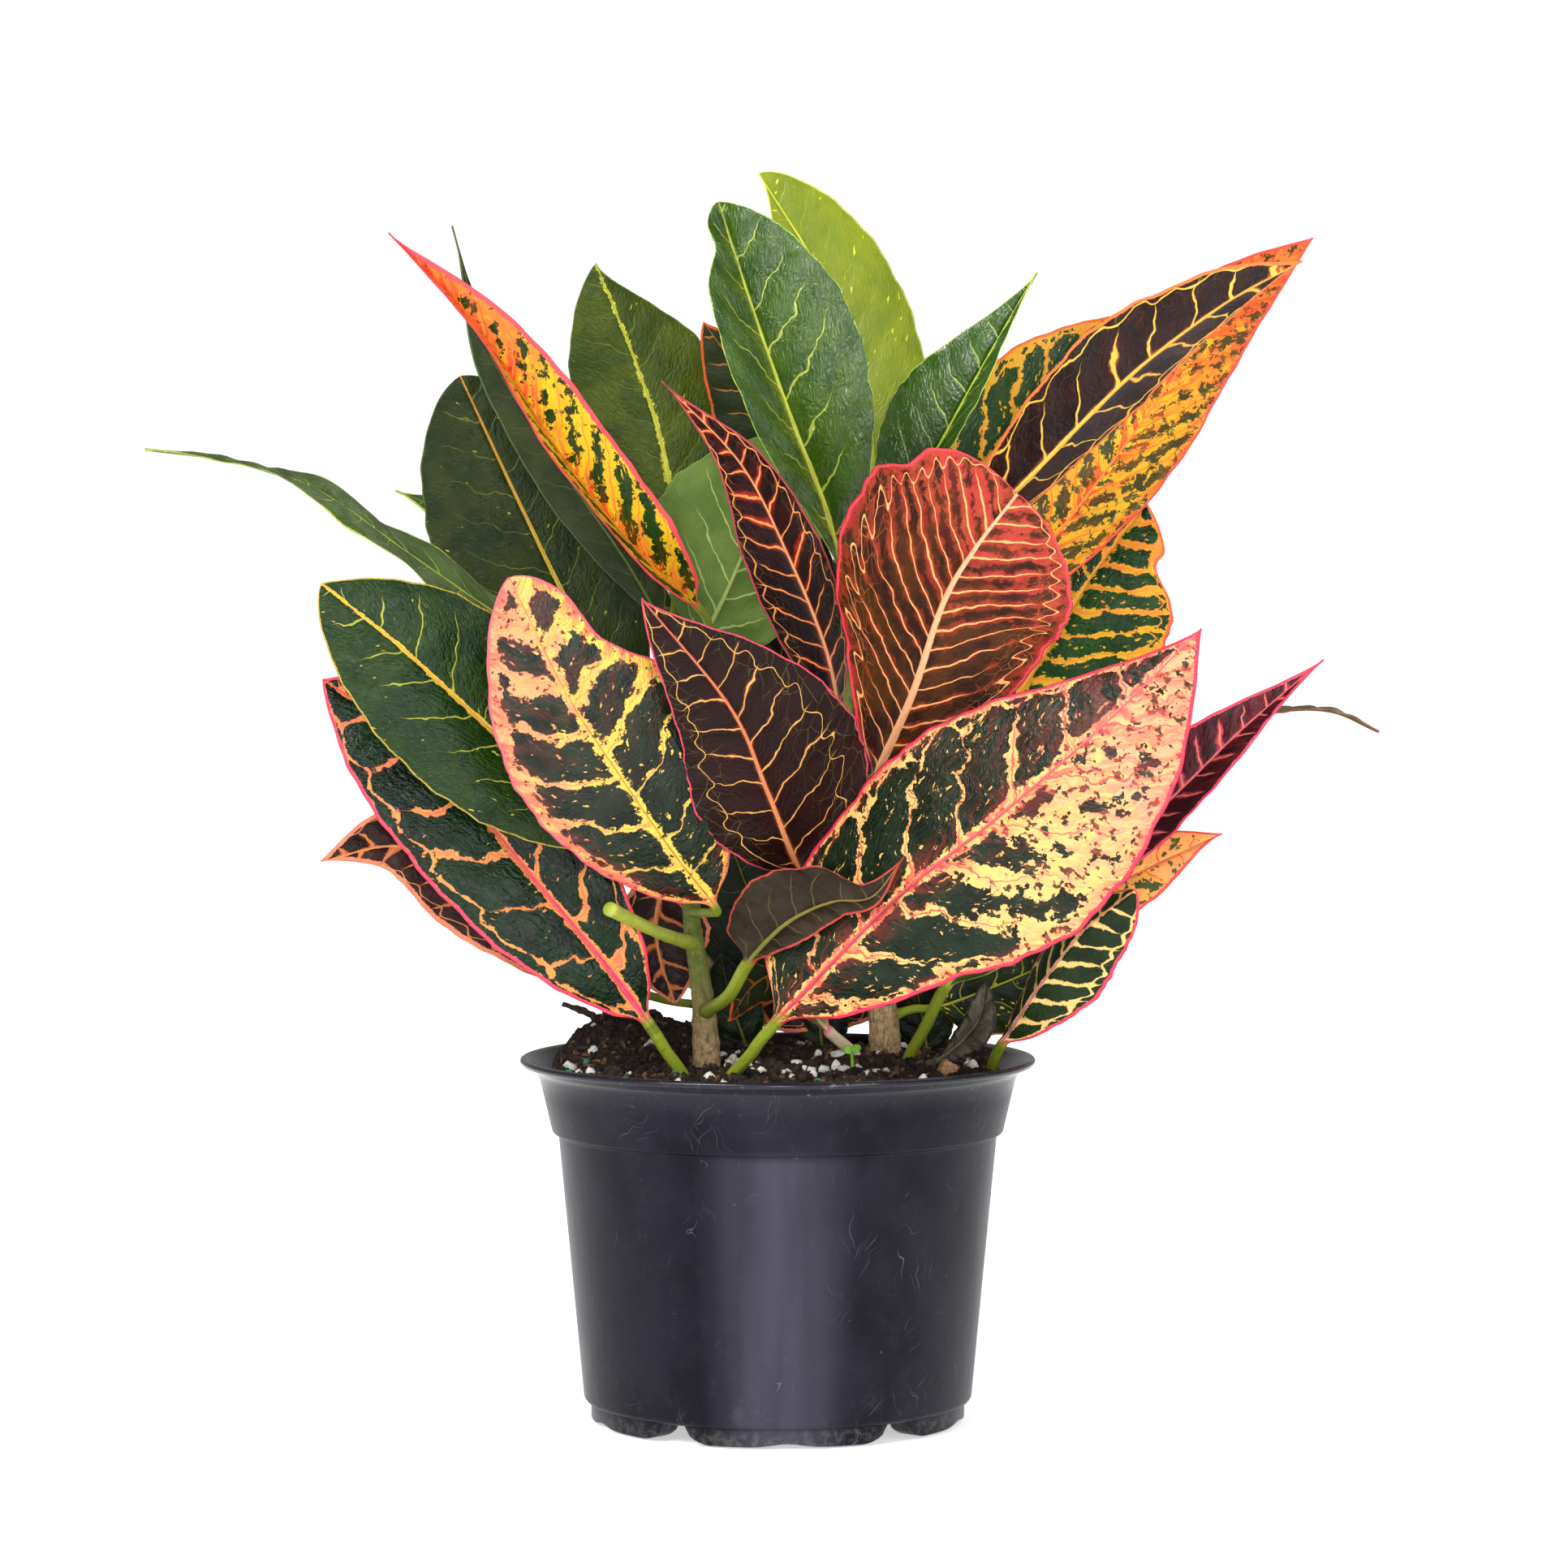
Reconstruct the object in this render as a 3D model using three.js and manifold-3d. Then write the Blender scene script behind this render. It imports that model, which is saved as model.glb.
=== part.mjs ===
// Potted croton: a bushy variegated house plant in a round nursery pot.
// Millimetres, +Z up, +X to the right and +Y away from whoever looks at the front.
// The origin lies on the pot's axis, on the surface that its feet stand on.

import * as THREE from "three";
import Module from "manifold-3d";

const wasm = await Module();
wasm.setup();

// Sizes.
const GAP = 0.3; // left between pieces that touch
const POT = {
  sides: 40,
  height: 112.5,
  footHeight: 5.6,
  lipRadius: 80,
  collarTopRadius: 73.5,
  collarFootRadius: 70.2,
  collarFootZ: 90.2,
  bodyTopRadius: 68,
  bodyFootRadius: 60.2,
  wall: 1.6,
  floorTop: 7.6,
  footRingRadius: 58,
  footRingWidth: 9,
  feet: 5,
  footTurn: 3,
  footAngle: 64,
  footSteps: 12,
  footNotch: 0.2,
  drainRadius: 5,
  drainRing: 44,
};
const SOIL = { level: 109, rings: 9, crumb: 0.55, grains: 14, seed: 11 };

// Stems: points of the middle line and the radius at each.
const STEMS = {
  a: {
    points: [[-22, -10, 62], [-22, -10, 110], [-23.5, -9.5, 135], [-26.5, -9, 157], [-27, -8, 200],
      [-19, -5, 244]],
    radii: [5, 4.4, 3.2, 2.7, 2.6, 2.4],
  },
  b: {
    points: [[34, 24, 62], [34, 23, 110], [31, 18, 140], [25, 11, 185], [20, 7, 225], [18, 7, 258]],
    radii: [5.6, 5.0, 4.2, 3.6, 3.0, 2.4],
  },
  c: {
    points: [[-23, 46, 62], [-23, 46, 112], [-21, 47, 142], [-12, 50, 182], [-4, 52, 218], [0, 54, 252]],
    radii: [5.0, 4.4, 4.0, 3.5, 3.0, 2.4],
  },
};

// Leaves. stem and z say where the stalk grows; path runs from just outside the stem
// to the tip, and its point number base is where the blade starts. left and right are
// the two half blades at the widest place, seen on the upper face with the tip up.
// ends says how fast the left half narrows to its base and tip, then the right half:
// 0.5 is round, 1 is a plain arc and 2 is drawn out. A leaf with a root of its own comes
// out of the soil beside its stem, and stalk is the radius of a stalk that isn't slender.
const LEAVES = [
  // front, low to high
  {
    name: "leaf_peach_front_right", root: [-18, -28, 103], base: 3, stalk: 2, colour: 0xc98a4a,
    path: [[-14, -35, 110], [-8, -43, 117.5], [-1, -50, 127], [34, -78, 166], [63, -96, 191],
      [93, -106, 218], [123, -100, 247]],
    left: [-21.5, 21, 23.5], right: [27, -6, -29], widest: 0.48, ends: [0.42, 1.4, 0.95, 1.1],
    wave: [1.2, 2.5, 0.1], cup: 1.5,
  },
  {
    name: "leaf_small_curled_front", stem: "a", z: 127, base: 2, stalk: 2.2, colour: 0x5a5536,
    path: [[-15, -32, 134], [-9, -44, 145], [0, -58, 156], [8, -66, 162], [17, -74, 166],
      [28, -82, 168], [37, -90, 180]],
    left: [3, 2, -7], right: [-14, 4, 10], widest: 0.36, ends: [1, 1.4, 0.4, 1.5],
    wave: [0.8, 1.5, 0.4], cup: 1,
  },
  {
    name: "leaf_cream_front_left", stem: "a", z: 158, base: 2, colour: 0xcdb163,
    path: [[-20, -40, 160], [-19, -54, 163], [-31, -72, 180], [-47, -92, 205], [-61, -106, 228],
      [-77, -118, 262]],
    left: [-24, 5, -14], right: [25, 7, 16.5], widest: 0.55, ends: [1.1, 0.7, 1, 0.6],
    wave: [1, 2, 0.3], cup: 1.5, bite: [1, 0.85, 0.27, 0.08],
  },
  {
    name: "leaf_brown_centre", stem: "b", z: 163, base: 2, colour: 0x4a2f22,
    path: [[16, -24, 170], [7, -48, 173], [-3, -72, 198], [-14, -92, 224], [-39, -120, 256]],
    left: [30, 4, 11], right: [-19, 2, -12], widest: 0.42, ends: [0.38, 1.4, 1, 0.9],
    wave: [1, 2, 0.6], cup: 1.2,
  },
  {
    name: "leaf_rose_round", stem: "b", z: 188, base: 2, colour: 0x8f3f3c,
    path: [[27, -18, 193], [29, -40, 200], [40, -58, 226], [49, -72, 254], [58, -82, 270],
      [70, -90, 286]],
    left: [31, -8, -16], right: [-28, 10, 27], widest: 0.6, ends: [0.8, 0.6, 1, 0.45],
    wave: [1.2, 2.5, 0.2], cup: 1.5, bite: [1, 0.8, 0.12, 0.05],
  },
  {
    name: "leaf_burgundy_narrow", stem: "b", z: 205, base: 2, colour: 0x4c1f20,
    path: [[20, -12, 211], [19, -28, 219], [14, -48, 241], [3, -64, 268], [-11, -77, 295],
      [-34, -90, 319]],
    left: [9, 11, 6], right: [-12, 11, -6], widest: 0.45, ends: [0.9, 1.6, 0.8, 1.6],
    wave: [1, 3, 0], cup: 0.8,
  },
  // the crown of stem b
  {
    name: "leaf_glossy_green_top", stem: "b", z: 248, base: 2, colour: 0x1f5a24,
    path: [[19, -4, 253], [20, -11, 260], [14, -20, 283], [4, -28, 309], [-7, -34, 340],
      [-18, -38, 374]],
    left: [-12, -20, -3], right: [27, -8, 9], widest: 0.64, ends: [1.6, 0.6, 1.7, 0.7],
    wave: [0.8, 2, 0.2], cup: 2, bite: [-1, 0.9, 0.35, 0.04],
  },
  {
    name: "leaf_pale_green_tall", stem: "b", z: 254, base: 2, colour: 0x6f9a3a,
    path: [[24, 22, 264], [30, 38, 279], [28, 46, 315], [15, 54, 354], [-6, 58, 389]],
    left: [-20, 4, -8], right: [20, 4, 10], widest: 0.5, ends: [0.8, 1.8, 0.6, 0.65],
    wave: [0.8, 1.5, 0.5], cup: 2,
  },
  {
    name: "leaf_green_folded_right", stem: "b", z: 251, base: 2, colour: 0x3b7a2d,
    path: [[28, 4, 262], [36, 2, 278], [49, -4, 300], [62, -10, 324], [79, -18, 354]],
    left: [-18, 4, 9], right: [4, -15, 0], widest: 0.42, ends: [0.8, 1.6, 1, 1.4],
    wave: [0.6, 2, 0.1], cup: 1,
  },
  {
    name: "leaf_dark_behind_top", stem: "b", z: 243, base: 2, colour: 0x24391f,
    path: [[14, 14, 262], [10, 16, 274], [3, 16, 294], [-8, 14, 318], [-23, 10, 340]],
    left: [-14, 4, -8], right: [15, 4, 8], widest: 0.5, ends: [1, 0.8, 1, 1.2],
    wave: [0.8, 2, 0.6], cup: 1,
  },
  {
    name: "leaf_orange_net_right", stem: "b", z: 238, base: 2, colour: 0x2e4a22,
    path: [[34, 22, 258], [46, 32, 274], [67, 36, 299], [95, 38, 325], [124, 36, 347]],
    left: [-14, 4, 16], right: [16, 10, -16], widest: 0.42, ends: [0.8, 1.4, 1, 1],
    wave: [1.6, 4, 0.3], cup: 1,
  },
  {
    name: "leaf_yellow_flame_right", stem: "b", z: 214, base: 2, colour: 0xc9952f,
    path: [[40, 4, 224], [54, -1, 235], [86, -1, 274], [109, 2, 304], [136, 5, 340], [166, 10, 366]],
    left: [-17, 10, 12], right: [15, 12, -9], widest: 0.48, ends: [0.9, 1, 1, 1.1],
    wave: [1, 3, 0.4], cup: 1.5,
  },
  {
    name: "leaf_brown_ladder_right", stem: "b", z: 232, base: 2, colour: 0x3a221a,
    path: [[36, -4, 250], [50, -14, 266], [73, -26, 288], [95, -34, 311], [112, -39, 327],
      [135, -44, 344], [157, -46, 356]],
    left: [7, 14, -6], right: [-12, -3, 14], widest: 0.45, ends: [1, 1.2, 1, 1.1],
    wave: [0.8, 3, 0.2], cup: 0.6,
  },
  {
    name: "leaf_dark_net_right", stem: "b", z: 196, base: 2, colour: 0x2c4a21,
    path: [[46, 18, 204], [66, 20, 212], [83, 20, 236], [98, 19, 261], [115, 18, 284]],
    left: [-24, 8, 16], right: [27, -2, -16], widest: 0.55, ends: [0.8, 1, 0.8, 0.8],
    wave: [1.2, 3, 0.2], cup: 1.2, bite: [1, 0.84, 0.3, 0.05],
  },
  // the crown of stem a
  {
    name: "leaf_dull_green_left", stem: "a", z: 214, base: 2, colour: 0x3f5a25,
    path: [[-33, 2, 234], [-31, 11, 266], [-35, 18, 297], [-43, 24, 324], [-57, 28, 359]],
    left: [-22, 8, -9], right: [22, 6, 8], widest: 0.6, ends: [0.8, 0.8, 0.8, 1.6],
    wave: [1.4, 2.5, 0.1], cup: 1.2,
  },
  {
    name: "leaf_dark_green_left", stem: "a", z: 198, base: 2, colour: 0x223f22,
    path: [[-34, -2, 204], [-45, 2, 216], [-64, 4, 251], [-80, 4, 284], [-98, 2, 323]],
    left: [-28, 4, -14], right: [26, 8, 12], widest: 0.58, ends: [0.8, 0.6, 0.8, 0.7],
    wave: [1, 2, 0.2], cup: 1.5,
  },
  {
    name: "leaf_twisted_left", stem: "a", z: 228, base: 2, colour: 0x2b3b22,
    path: [[-29, -10, 236], [-35, -14, 246], [-47, -20, 267], [-67, -22, 296], [-88, -22, 330],
      [-99, -20, 368]],
    left: [-8, 5, -5], right: [9, 6, 7], widest: 0.4, ends: [1, 1.8, 1, 1.8],
    wave: [1, 3, 0.5], cup: 0.5, twist: 60,
  },
  {
    name: "leaf_flame_left", stem: "a", z: 240, base: 2, colour: 0xcf7f2e,
    path: [[-21, -18, 246], [-24, -32, 252], [-41, -46, 268], [-65, -54, 298], [-88, -57, 334],
      [-116, -54, 364]],
    left: [-2, -13, -1], right: [13, -4, 9], widest: 0.45, ends: [0.8, 1.3, 0.9, 1.4],
    wave: [0.8, 3, 0.1], cup: 0.8,
  },
  {
    name: "leaf_pale_underside", stem: "a", z: 232, base: 2, colour: 0x7fa05a,
    path: [[-26, -2, 235], [-24, -1, 240], [-15, -3, 258], [-6, -7, 280], [4, -12, 306]],
    left: [21, 5, -11], right: [-27, 6, 14], widest: 0.53, ends: [0.55, 1, 1, 1],
    wave: [0.8, 2, 0.3], cup: 1.2,
  },
  // the left side
  {
    name: "leaf_long_twisted_far_left", stem: "a", z: 206, base: 2, colour: 0x3d6a2c,
    path: [[-34, -34, 214], [-48, -52, 221], [-68, -66, 240], [-88, -72, 254], [-111, -72, 270],
      [-136, -64, 287], [-162, -52, 296], [-191, -36, 300]],
    left: [3, -8, -8], right: [-3, 8, 8], widest: 0.4, ends: [1, 0.9, 1, 0.9],
    wave: [1.6, 4, 0.2], cup: 0.4, twist: 40,
  },
  {
    name: "leaf_dark_green_mid_left", stem: "a", z: 172, base: 2, colour: 0x1f4423,
    path: [[-32, -34, 176], [-47, -52, 181], [-66, -66, 198], [-86, -78, 218], [-110, -87, 241],
      [-133, -92, 260]],
    left: [-17, -3, -18], right: [19, 5, 19], widest: 0.55, ends: [0.9, 0.7, 1, 0.9],
    wave: [1.2, 2.5, 0.3], cup: 1.5,
  },
  {
    name: "leaf_pink_rib_low_left", root: [-26, -25, 103], base: 3, stalk: 2.1, colour: 0x27481f,
    path: [[-29, -30, 110], [-34, -34, 117.5], [-39, -38, 126], [-53, -46, 146], [-73, -53, 171],
      [-95, -57, 198], [-117, -57, 218], [-136, -55, 231]],
    left: [-18, -5, -17], right: [19, 2, 16], widest: 0.55, ends: [1, 0.9, 1, 1],
    wave: [1, 2.5, 0.4], cup: 1.5,
  },
  {
    name: "leaf_dusk_low_left", stem: "c", z: 124, base: 2, colour: 0x4a3320,
    path: [[-36, 24, 128], [-50, 4, 135], [-68, -12, 148], [-90, -22, 164], [-114, -28, 179],
      [-139, -32, 175]],
    left: [-8, -3, -12], right: [9, 6, 14], widest: 0.5, ends: [0.8, 1.6, 1, 1],
    wave: [1.4, 3, 0.2], cup: 1,
  },
  {
    name: "leaf_green_tip_left", stem: "c", z: 236, base: 2, colour: 0x3c5e2a,
    path: [[-14, 40, 242], [-28, 34, 248], [-66, 36, 264], [-92, 38, 276], [-121, 40, 288]],
    left: [-5, -12, -13], right: [6, 12, 13], widest: 0.45, ends: [1, 1.6, 1, 1.6],
    wave: [0.8, 2, 0.5], cup: 1,
  },
  // the lower middle
  {
    name: "leaf_dark_drooping_centre", stem: "c", z: 138, base: 2, colour: 0x33281c,
    path: [[-30, 36, 150], [-34, 27, 165], [-38, 20, 155], [-37, 18, 142], [-32, 17, 127]],
    left: [-12, -2, 2], right: [17, -2, 2], widest: 0.5, ends: [0.8, 0.9, 0.8, 0.9],
    wave: [0.8, 2, 0.3], cup: 0.8,
  },
  {
    name: "leaf_arched_low_centre", stem: "b", z: 133, base: 2, colour: 0x2e2f20,
    path: [[20, 8, 140], [12, 3, 141], [2, -2, 140], [-8, -9, 135], [-15, -19, 125]],
    left: [4, 7, -8], right: [-2, -5, 9], widest: 0.5, ends: [1, 1, 1, 1],
    wave: [0.5, 2, 0.3], cup: 0.5,
  },
  {
    name: "leaf_pale_fold_low_centre", root: [28, 11, 103], base: 2, stalk: 2, colour: 0xb98f80,
    path: [[24, 8, 112], [16, 0, 120], [10, -10, 129], [8, -20, 142], [10, -30, 156]],
    left: [-4, 4, -3], right: [5, 5, 2], widest: 0.5, ends: [1, 1, 1, 1],
    wave: [0.5, 2, 0.3], cup: 0.5,
  },
  {
    name: "leaf_yellow_edge_low_right", root: [38, 8, 103], base: 3, stalk: 2, colour: 0x8fa045,
    path: [[41, 5, 112], [46, 0, 122], [52, -8, 135], [63, -15, 147], [76, -19, 163], [88, -21, 182]],
    left: [-7, 4, 5], right: [7, 6, -6], widest: 0.45, ends: [1, 1, 1, 1],
    wave: [0.6, 2, 0.3], cup: 0.5,
  },
  {
    name: "leaf_dark_spotted_low_right", stem: "b", z: 122, base: 2, colour: 0x263a1f,
    path: [[42, 22, 125], [50, 19, 126], [66, 16, 132], [86, 13, 141], [105, 10, 152]],
    left: [-8, 4, 12], right: [7, -2, -15], widest: 0.5, ends: [0.9, 1, 0.7, 0.8],
    wave: [1, 2, 0.3], cup: 1,
  },
  {
    name: "leaf_cream_ladder_low_right", root: [64, -3, 102], base: 2, stalk: 1.8, colour: 0x7d8d4a,
    path: [[66, -5, 109], [69, -10, 117], [80, -22, 136], [93, -32, 154], [108, -40, 167]],
    left: [-3, 15, 3], right: [13, 2, -10], widest: 0.5, ends: [1, 0.7, 1, 0.6],
    wave: [1, 2.5, 0.2], cup: 1,
  },
  // inside the bush, behind the front leaves
  {
    name: "leaf_inner_upper_centre", stem: "c", z: 186, base: 2, colour: 0x1d2f18,
    path: [[-9, 42, 194], [-6, 36, 204], [-1, 31, 226], [4, 29, 252], [9, 27, 284]],
    left: [-18, 0, 3.5], right: [18, 0, -3.5], widest: 0.5, ends: [0.7, 0.9, 0.7, 0.9],
    wave: [1, 2, 0.2], cup: 1.2,
  },
  {
    name: "leaf_inner_upper_right", stem: "b", z: 172, base: 2, colour: 0x223a1c,
    path: [[30, 22, 181], [33, 27, 190], [37, 32, 210], [39, 35, 232], [38, 38, 257]],
    left: [-18, 2, 1], right: [17, 2, 0], widest: 0.45, ends: [0.6, 1, 0.7, 1],
    wave: [1, 2, 0.4], cup: 1.2,
  },
  {
    name: "leaf_inner_lower_centre", stem: "b", z: 126, base: 2, colour: 0x1c2c18,
    path: [[22, 25, 131], [11, 29, 135], [-4, 34, 151], [-13, 37, 171], [-22, 40, 198]],
    left: [-18, 0, -11], right: [19, 0, 10], widest: 0.45, ends: [0.6, 1, 0.7, 1],
    wave: [1, 2, 0.1], cup: 1.2,
  },
  {
    name: "leaf_inner_low_behind", stem: "c", z: 116, base: 2, colour: 0x2c2417,
    path: [[-15, 41, 120], [-10, 38, 123], [8, 38, 130], [32, 43, 134], [60, 46, 135]],
    left: [0, 2, 15], right: [1, -2, -15], widest: 0.5, ends: [0.7, 0.9, 0.7, 0.9],
    wave: [0.8, 2, 0.3], cup: 1,
  },
  // the right side
  {
    name: "leaf_wine_folded_right", stem: "b", z: 143, base: 2, colour: 0x5c2430,
    path: [[52, 8, 150], [76, -2, 157], [98, -8, 173], [120, -12, 192], [142, -15, 214], [167, -18, 236]],
    left: [-9, 4, 12], right: [5, -12, -5], widest: 0.42, ends: [1, 1.4, 1, 1.4],
    wave: [0.8, 3, 0.2], cup: 0.6,
  },
  {
    name: "leaf_thin_far_right", stem: "b", z: 166, base: 2, colour: 0x6d7a3a,
    path: [[58, 34, 182], [92, 40, 195], [124, 48, 209], [154, 54, 217], [176, 58, 218], [193, 60, 211]],
    left: [-1, 11, 0], right: [1, -11, 0], widest: 0.42, ends: [1, 1, 1, 1],
    wave: [0.3, 2, 0.2], cup: 0.5,
  },
  {
    name: "leaf_apricot_right", stem: "b", z: 131, base: 2, colour: 0xcf7d4a,
    path: [[46, 20, 138], [64, 22, 146], [88, 24, 155], [114, 26, 168], [140, 28, 180]],
    left: [-8, 8, 13], right: [6, -2, -10], widest: 0.5, ends: [1, 1.1, 1, 1.7],
    wave: [1.4, 3, 0.1], cup: 1,
  },
];

// Leaves of the back, all on stem c: height of the root, direction in degrees, how far the
// leaf reaches and rises, how much its tip sags, and half its width.
const BACK_LEAVES = [
  { name: "leaf_back_01", z: 250, turn: 85, reach: 58, rise: 92, sag: 10, half: 20, colour: 0x2f6128 },
  { name: "leaf_back_02", z: 244, turn: 130, reach: 66, rise: 78, sag: 12, half: 19, colour: 0x41582a },
  { name: "leaf_back_03", z: 238, turn: 38, reach: 84, rise: 66, sag: 12, half: 19, colour: 0x6b4a2a },
  { name: "leaf_back_04", z: 226, turn: 155, reach: 104, rise: 62, sag: 14, half: 21, colour: 0xa8802f },
  { name: "leaf_back_05", z: 214, turn: 88, reach: 69, rise: 58, sag: 14, half: 22, colour: 0x2c4a24 },
  { name: "leaf_back_06", z: 204, turn: 22, reach: 100, rise: 52, sag: 14, half: 21, colour: 0xb5612f },
  { name: "leaf_back_07", z: 192, turn: 118, reach: 76, rise: 46, sag: 16, half: 22, colour: 0x9c4436 },
  { name: "leaf_back_08", z: 180, turn: 60, reach: 78, rise: 40, sag: 16, half: 22, colour: 0x35552a },
  { name: "leaf_back_09", z: 170, turn: 165, reach: 96, rise: 40, sag: 16, half: 22, colour: 0x2a4523 },
  { name: "leaf_back_10", z: 158, turn: 12, reach: 110, rise: 36, sag: 16, half: 22, colour: 0xc79a4c },
  { name: "leaf_back_11", z: 148, turn: 96, reach: 70, rise: 28, sag: 18, half: 21, colour: 0x5a2c2a },
  { name: "leaf_back_12", z: 138, turn: 48, reach: 88, rise: 22, sag: 16, half: 21, colour: 0x2f4c24 },
  { name: "leaf_back_13", z: 129, turn: 140, reach: 84, rise: 18, sag: 14, half: 20, colour: 0x4d6a2c },
];

// Helpers.
const vec = (p) => new THREE.Vector3(p[0], p[1], p[2]);
const lerp = (a, b, t) => a + (b - a) * t;

/** Seeded random numbers between 0 and 1. */
function randomFrom(seed) {
  let state = seed;
  return () => {
    state = (state * 1103515245 + 12345) % 2147483648;
    return state / 2147483648;
  };
}

/** Triangles with shared corners, ready for cutting and joining. */
function solidFrom(points, triangles) {
  return new wasm.Manifold(new wasm.Mesh({
    numProp: 3,
    vertProperties: new Float32Array(points.flatMap((p) => [p.x, p.y, p.z])),
    triVerts: new Uint32Array(triangles.flat()),
  }));
}

/**
 * A closed skin over rings of equally many points; the end may be one point. In a thin
 * blade the second half of a ring lies under the first, and both are split alike.
 */
function loftSolid(rings, endPoint = null, blade = false) {
  const sides = rings[0].length;
  const points = rings.flat();
  const triangles = [];
  for (let r = 0; r + 1 < rings.length; r++) {
    for (let i = 0; i < sides; i++) {
      const j = (i + 1) % sides;
      const a = r * sides + i;
      const b = r * sides + j;
      if (blade && i >= sides / 2) {
        triangles.push([a, b, a + sides], [b, b + sides, a + sides]);
      } else {
        triangles.push([a, b, b + sides], [a, b + sides, a + sides]);
      }
    }
  }
  const middle = (ring) => ring.reduce((sum, p) => sum.add(p), new THREE.Vector3()).divideScalar(sides);
  const start = points.push(middle(rings[0])) - 1;
  const end = points.push(endPoint ?? middle(rings[rings.length - 1])) - 1;
  const last = (rings.length - 1) * sides;
  for (let i = 0; i < sides; i++) {
    const j = (i + 1) % sides;
    triangles.push([start, j, i], [end, last + i, last + j]);
  }
  return solidFrom(points, triangles);
}

/** A solid of revolution about Z: profile holds [radius, z] pairs from axis to axis. */
function lathe(profile) {
  const geometry = new THREE.LatheGeometry(
    profile.map(([r, z]) => new THREE.Vector2(r, z)), POT.sides);
  geometry.rotateX(Math.PI / 2);
  return solidOf(geometry);
}

/** A three.js geometry as a solid: corners merged, empty triangles dropped. */
function solidOf(geometry) {
  const position = geometry.getAttribute("position");
  const index = geometry.index ? [...geometry.index.array] : [...Array(position.count).keys()];
  const points = [];
  const found = new Map();
  const corner = (i) => {
    const p = new THREE.Vector3().fromBufferAttribute(position, i);
    const key = p.toArray().map((v) => Math.round(v * 2000)).join();
    if (!found.has(key)) {
      found.set(key, points.push(p) - 1);
    }
    return found.get(key);
  };
  const triangles = [];
  for (let i = 0; i < index.length; i += 3) {
    const [a, b, c] = [corner(index[i]), corner(index[i + 1]), corner(index[i + 2])];
    if (a !== b && b !== c && c !== a) {
      triangles.push([a, b, c]);
    }
  }
  return solidFrom(points, triangles);
}

/** A rod of the given radii along a smooth line through points. */
function rod(points, radii, { sides = 10, steps = 12, grow = 0, bump = () => 1 } = {}) {
  const line = new THREE.CatmullRomCurve3(points.map(vec), false, "catmullrom", 0.5);
  const rings = [];
  for (let s = 0; s <= steps; s++) {
    const t = s / steps;
    const place = t * (radii.length - 1);
    const k = Math.min(Math.floor(place), radii.length - 2);
    const radius = lerp(radii[k], radii[k + 1], place - k) * bump(t) + grow;
    const centre = line.getPoint(t);
    const along = line.getTangent(t);
    const across = new THREE.Vector3(1, 0.2, 0).cross(along).normalize();
    const other = along.clone().cross(across);
    rings.push([...Array(sides).keys()].map((i) => {
      const angle = (2 * Math.PI * i) / sides;
      return centre.clone()
        .addScaledVector(across, radius * Math.cos(angle))
        .addScaledVector(other, radius * Math.sin(angle));
    }));
  }
  return loftSolid(rings);
}

/** The finished mesh of a node. */
function mesh(name, solid, colour, roughness = 0.5, metalness = 0) {
  const { numProp, vertProperties, triVerts } = solid.getMesh();
  const positions = [];
  for (let i = 0; i < vertProperties.length; i += numProp) {
    positions.push(vertProperties[i], vertProperties[i + 1], vertProperties[i + 2]);
  }
  const geometry = new THREE.BufferGeometry();
  geometry.setAttribute("position", new THREE.Float32BufferAttribute(positions, 3));
  geometry.setIndex([...triVerts]);
  geometry.computeVertexNormals();
  const node = new THREE.Mesh(
    geometry, new THREE.MeshStandardMaterial({ color: colour, roughness, metalness }));
  node.name = name;
  return node;
}

// The pot.

/** Radius of the pot's outer wall below the collar at height z. */
const bodyRadius = (z) => lerp(POT.bodyFootRadius, POT.bodyTopRadius,
  (z - POT.footHeight) / (POT.collarFootZ - 1.4 - POT.footHeight));

/** The inside of the wall, from the floor's middle up to the mouth, moved in by inset. */
function insideProfile(inset) {
  const { wall, floorTop, collarFootZ, height } = POT;
  return [
    [0, floorTop + inset],
    [bodyRadius(floorTop) - wall - 2 - inset, floorTop + inset],
    [bodyRadius(floorTop + 2) - wall - inset, floorTop + 2 + inset],
    [POT.bodyTopRadius - wall - inset, collarFootZ - 1.6],
    [POT.collarFootRadius - wall - inset, collarFootZ + 0.6],
    [POT.collarTopRadius - wall - inset, height - 6],
  ];
}

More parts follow.
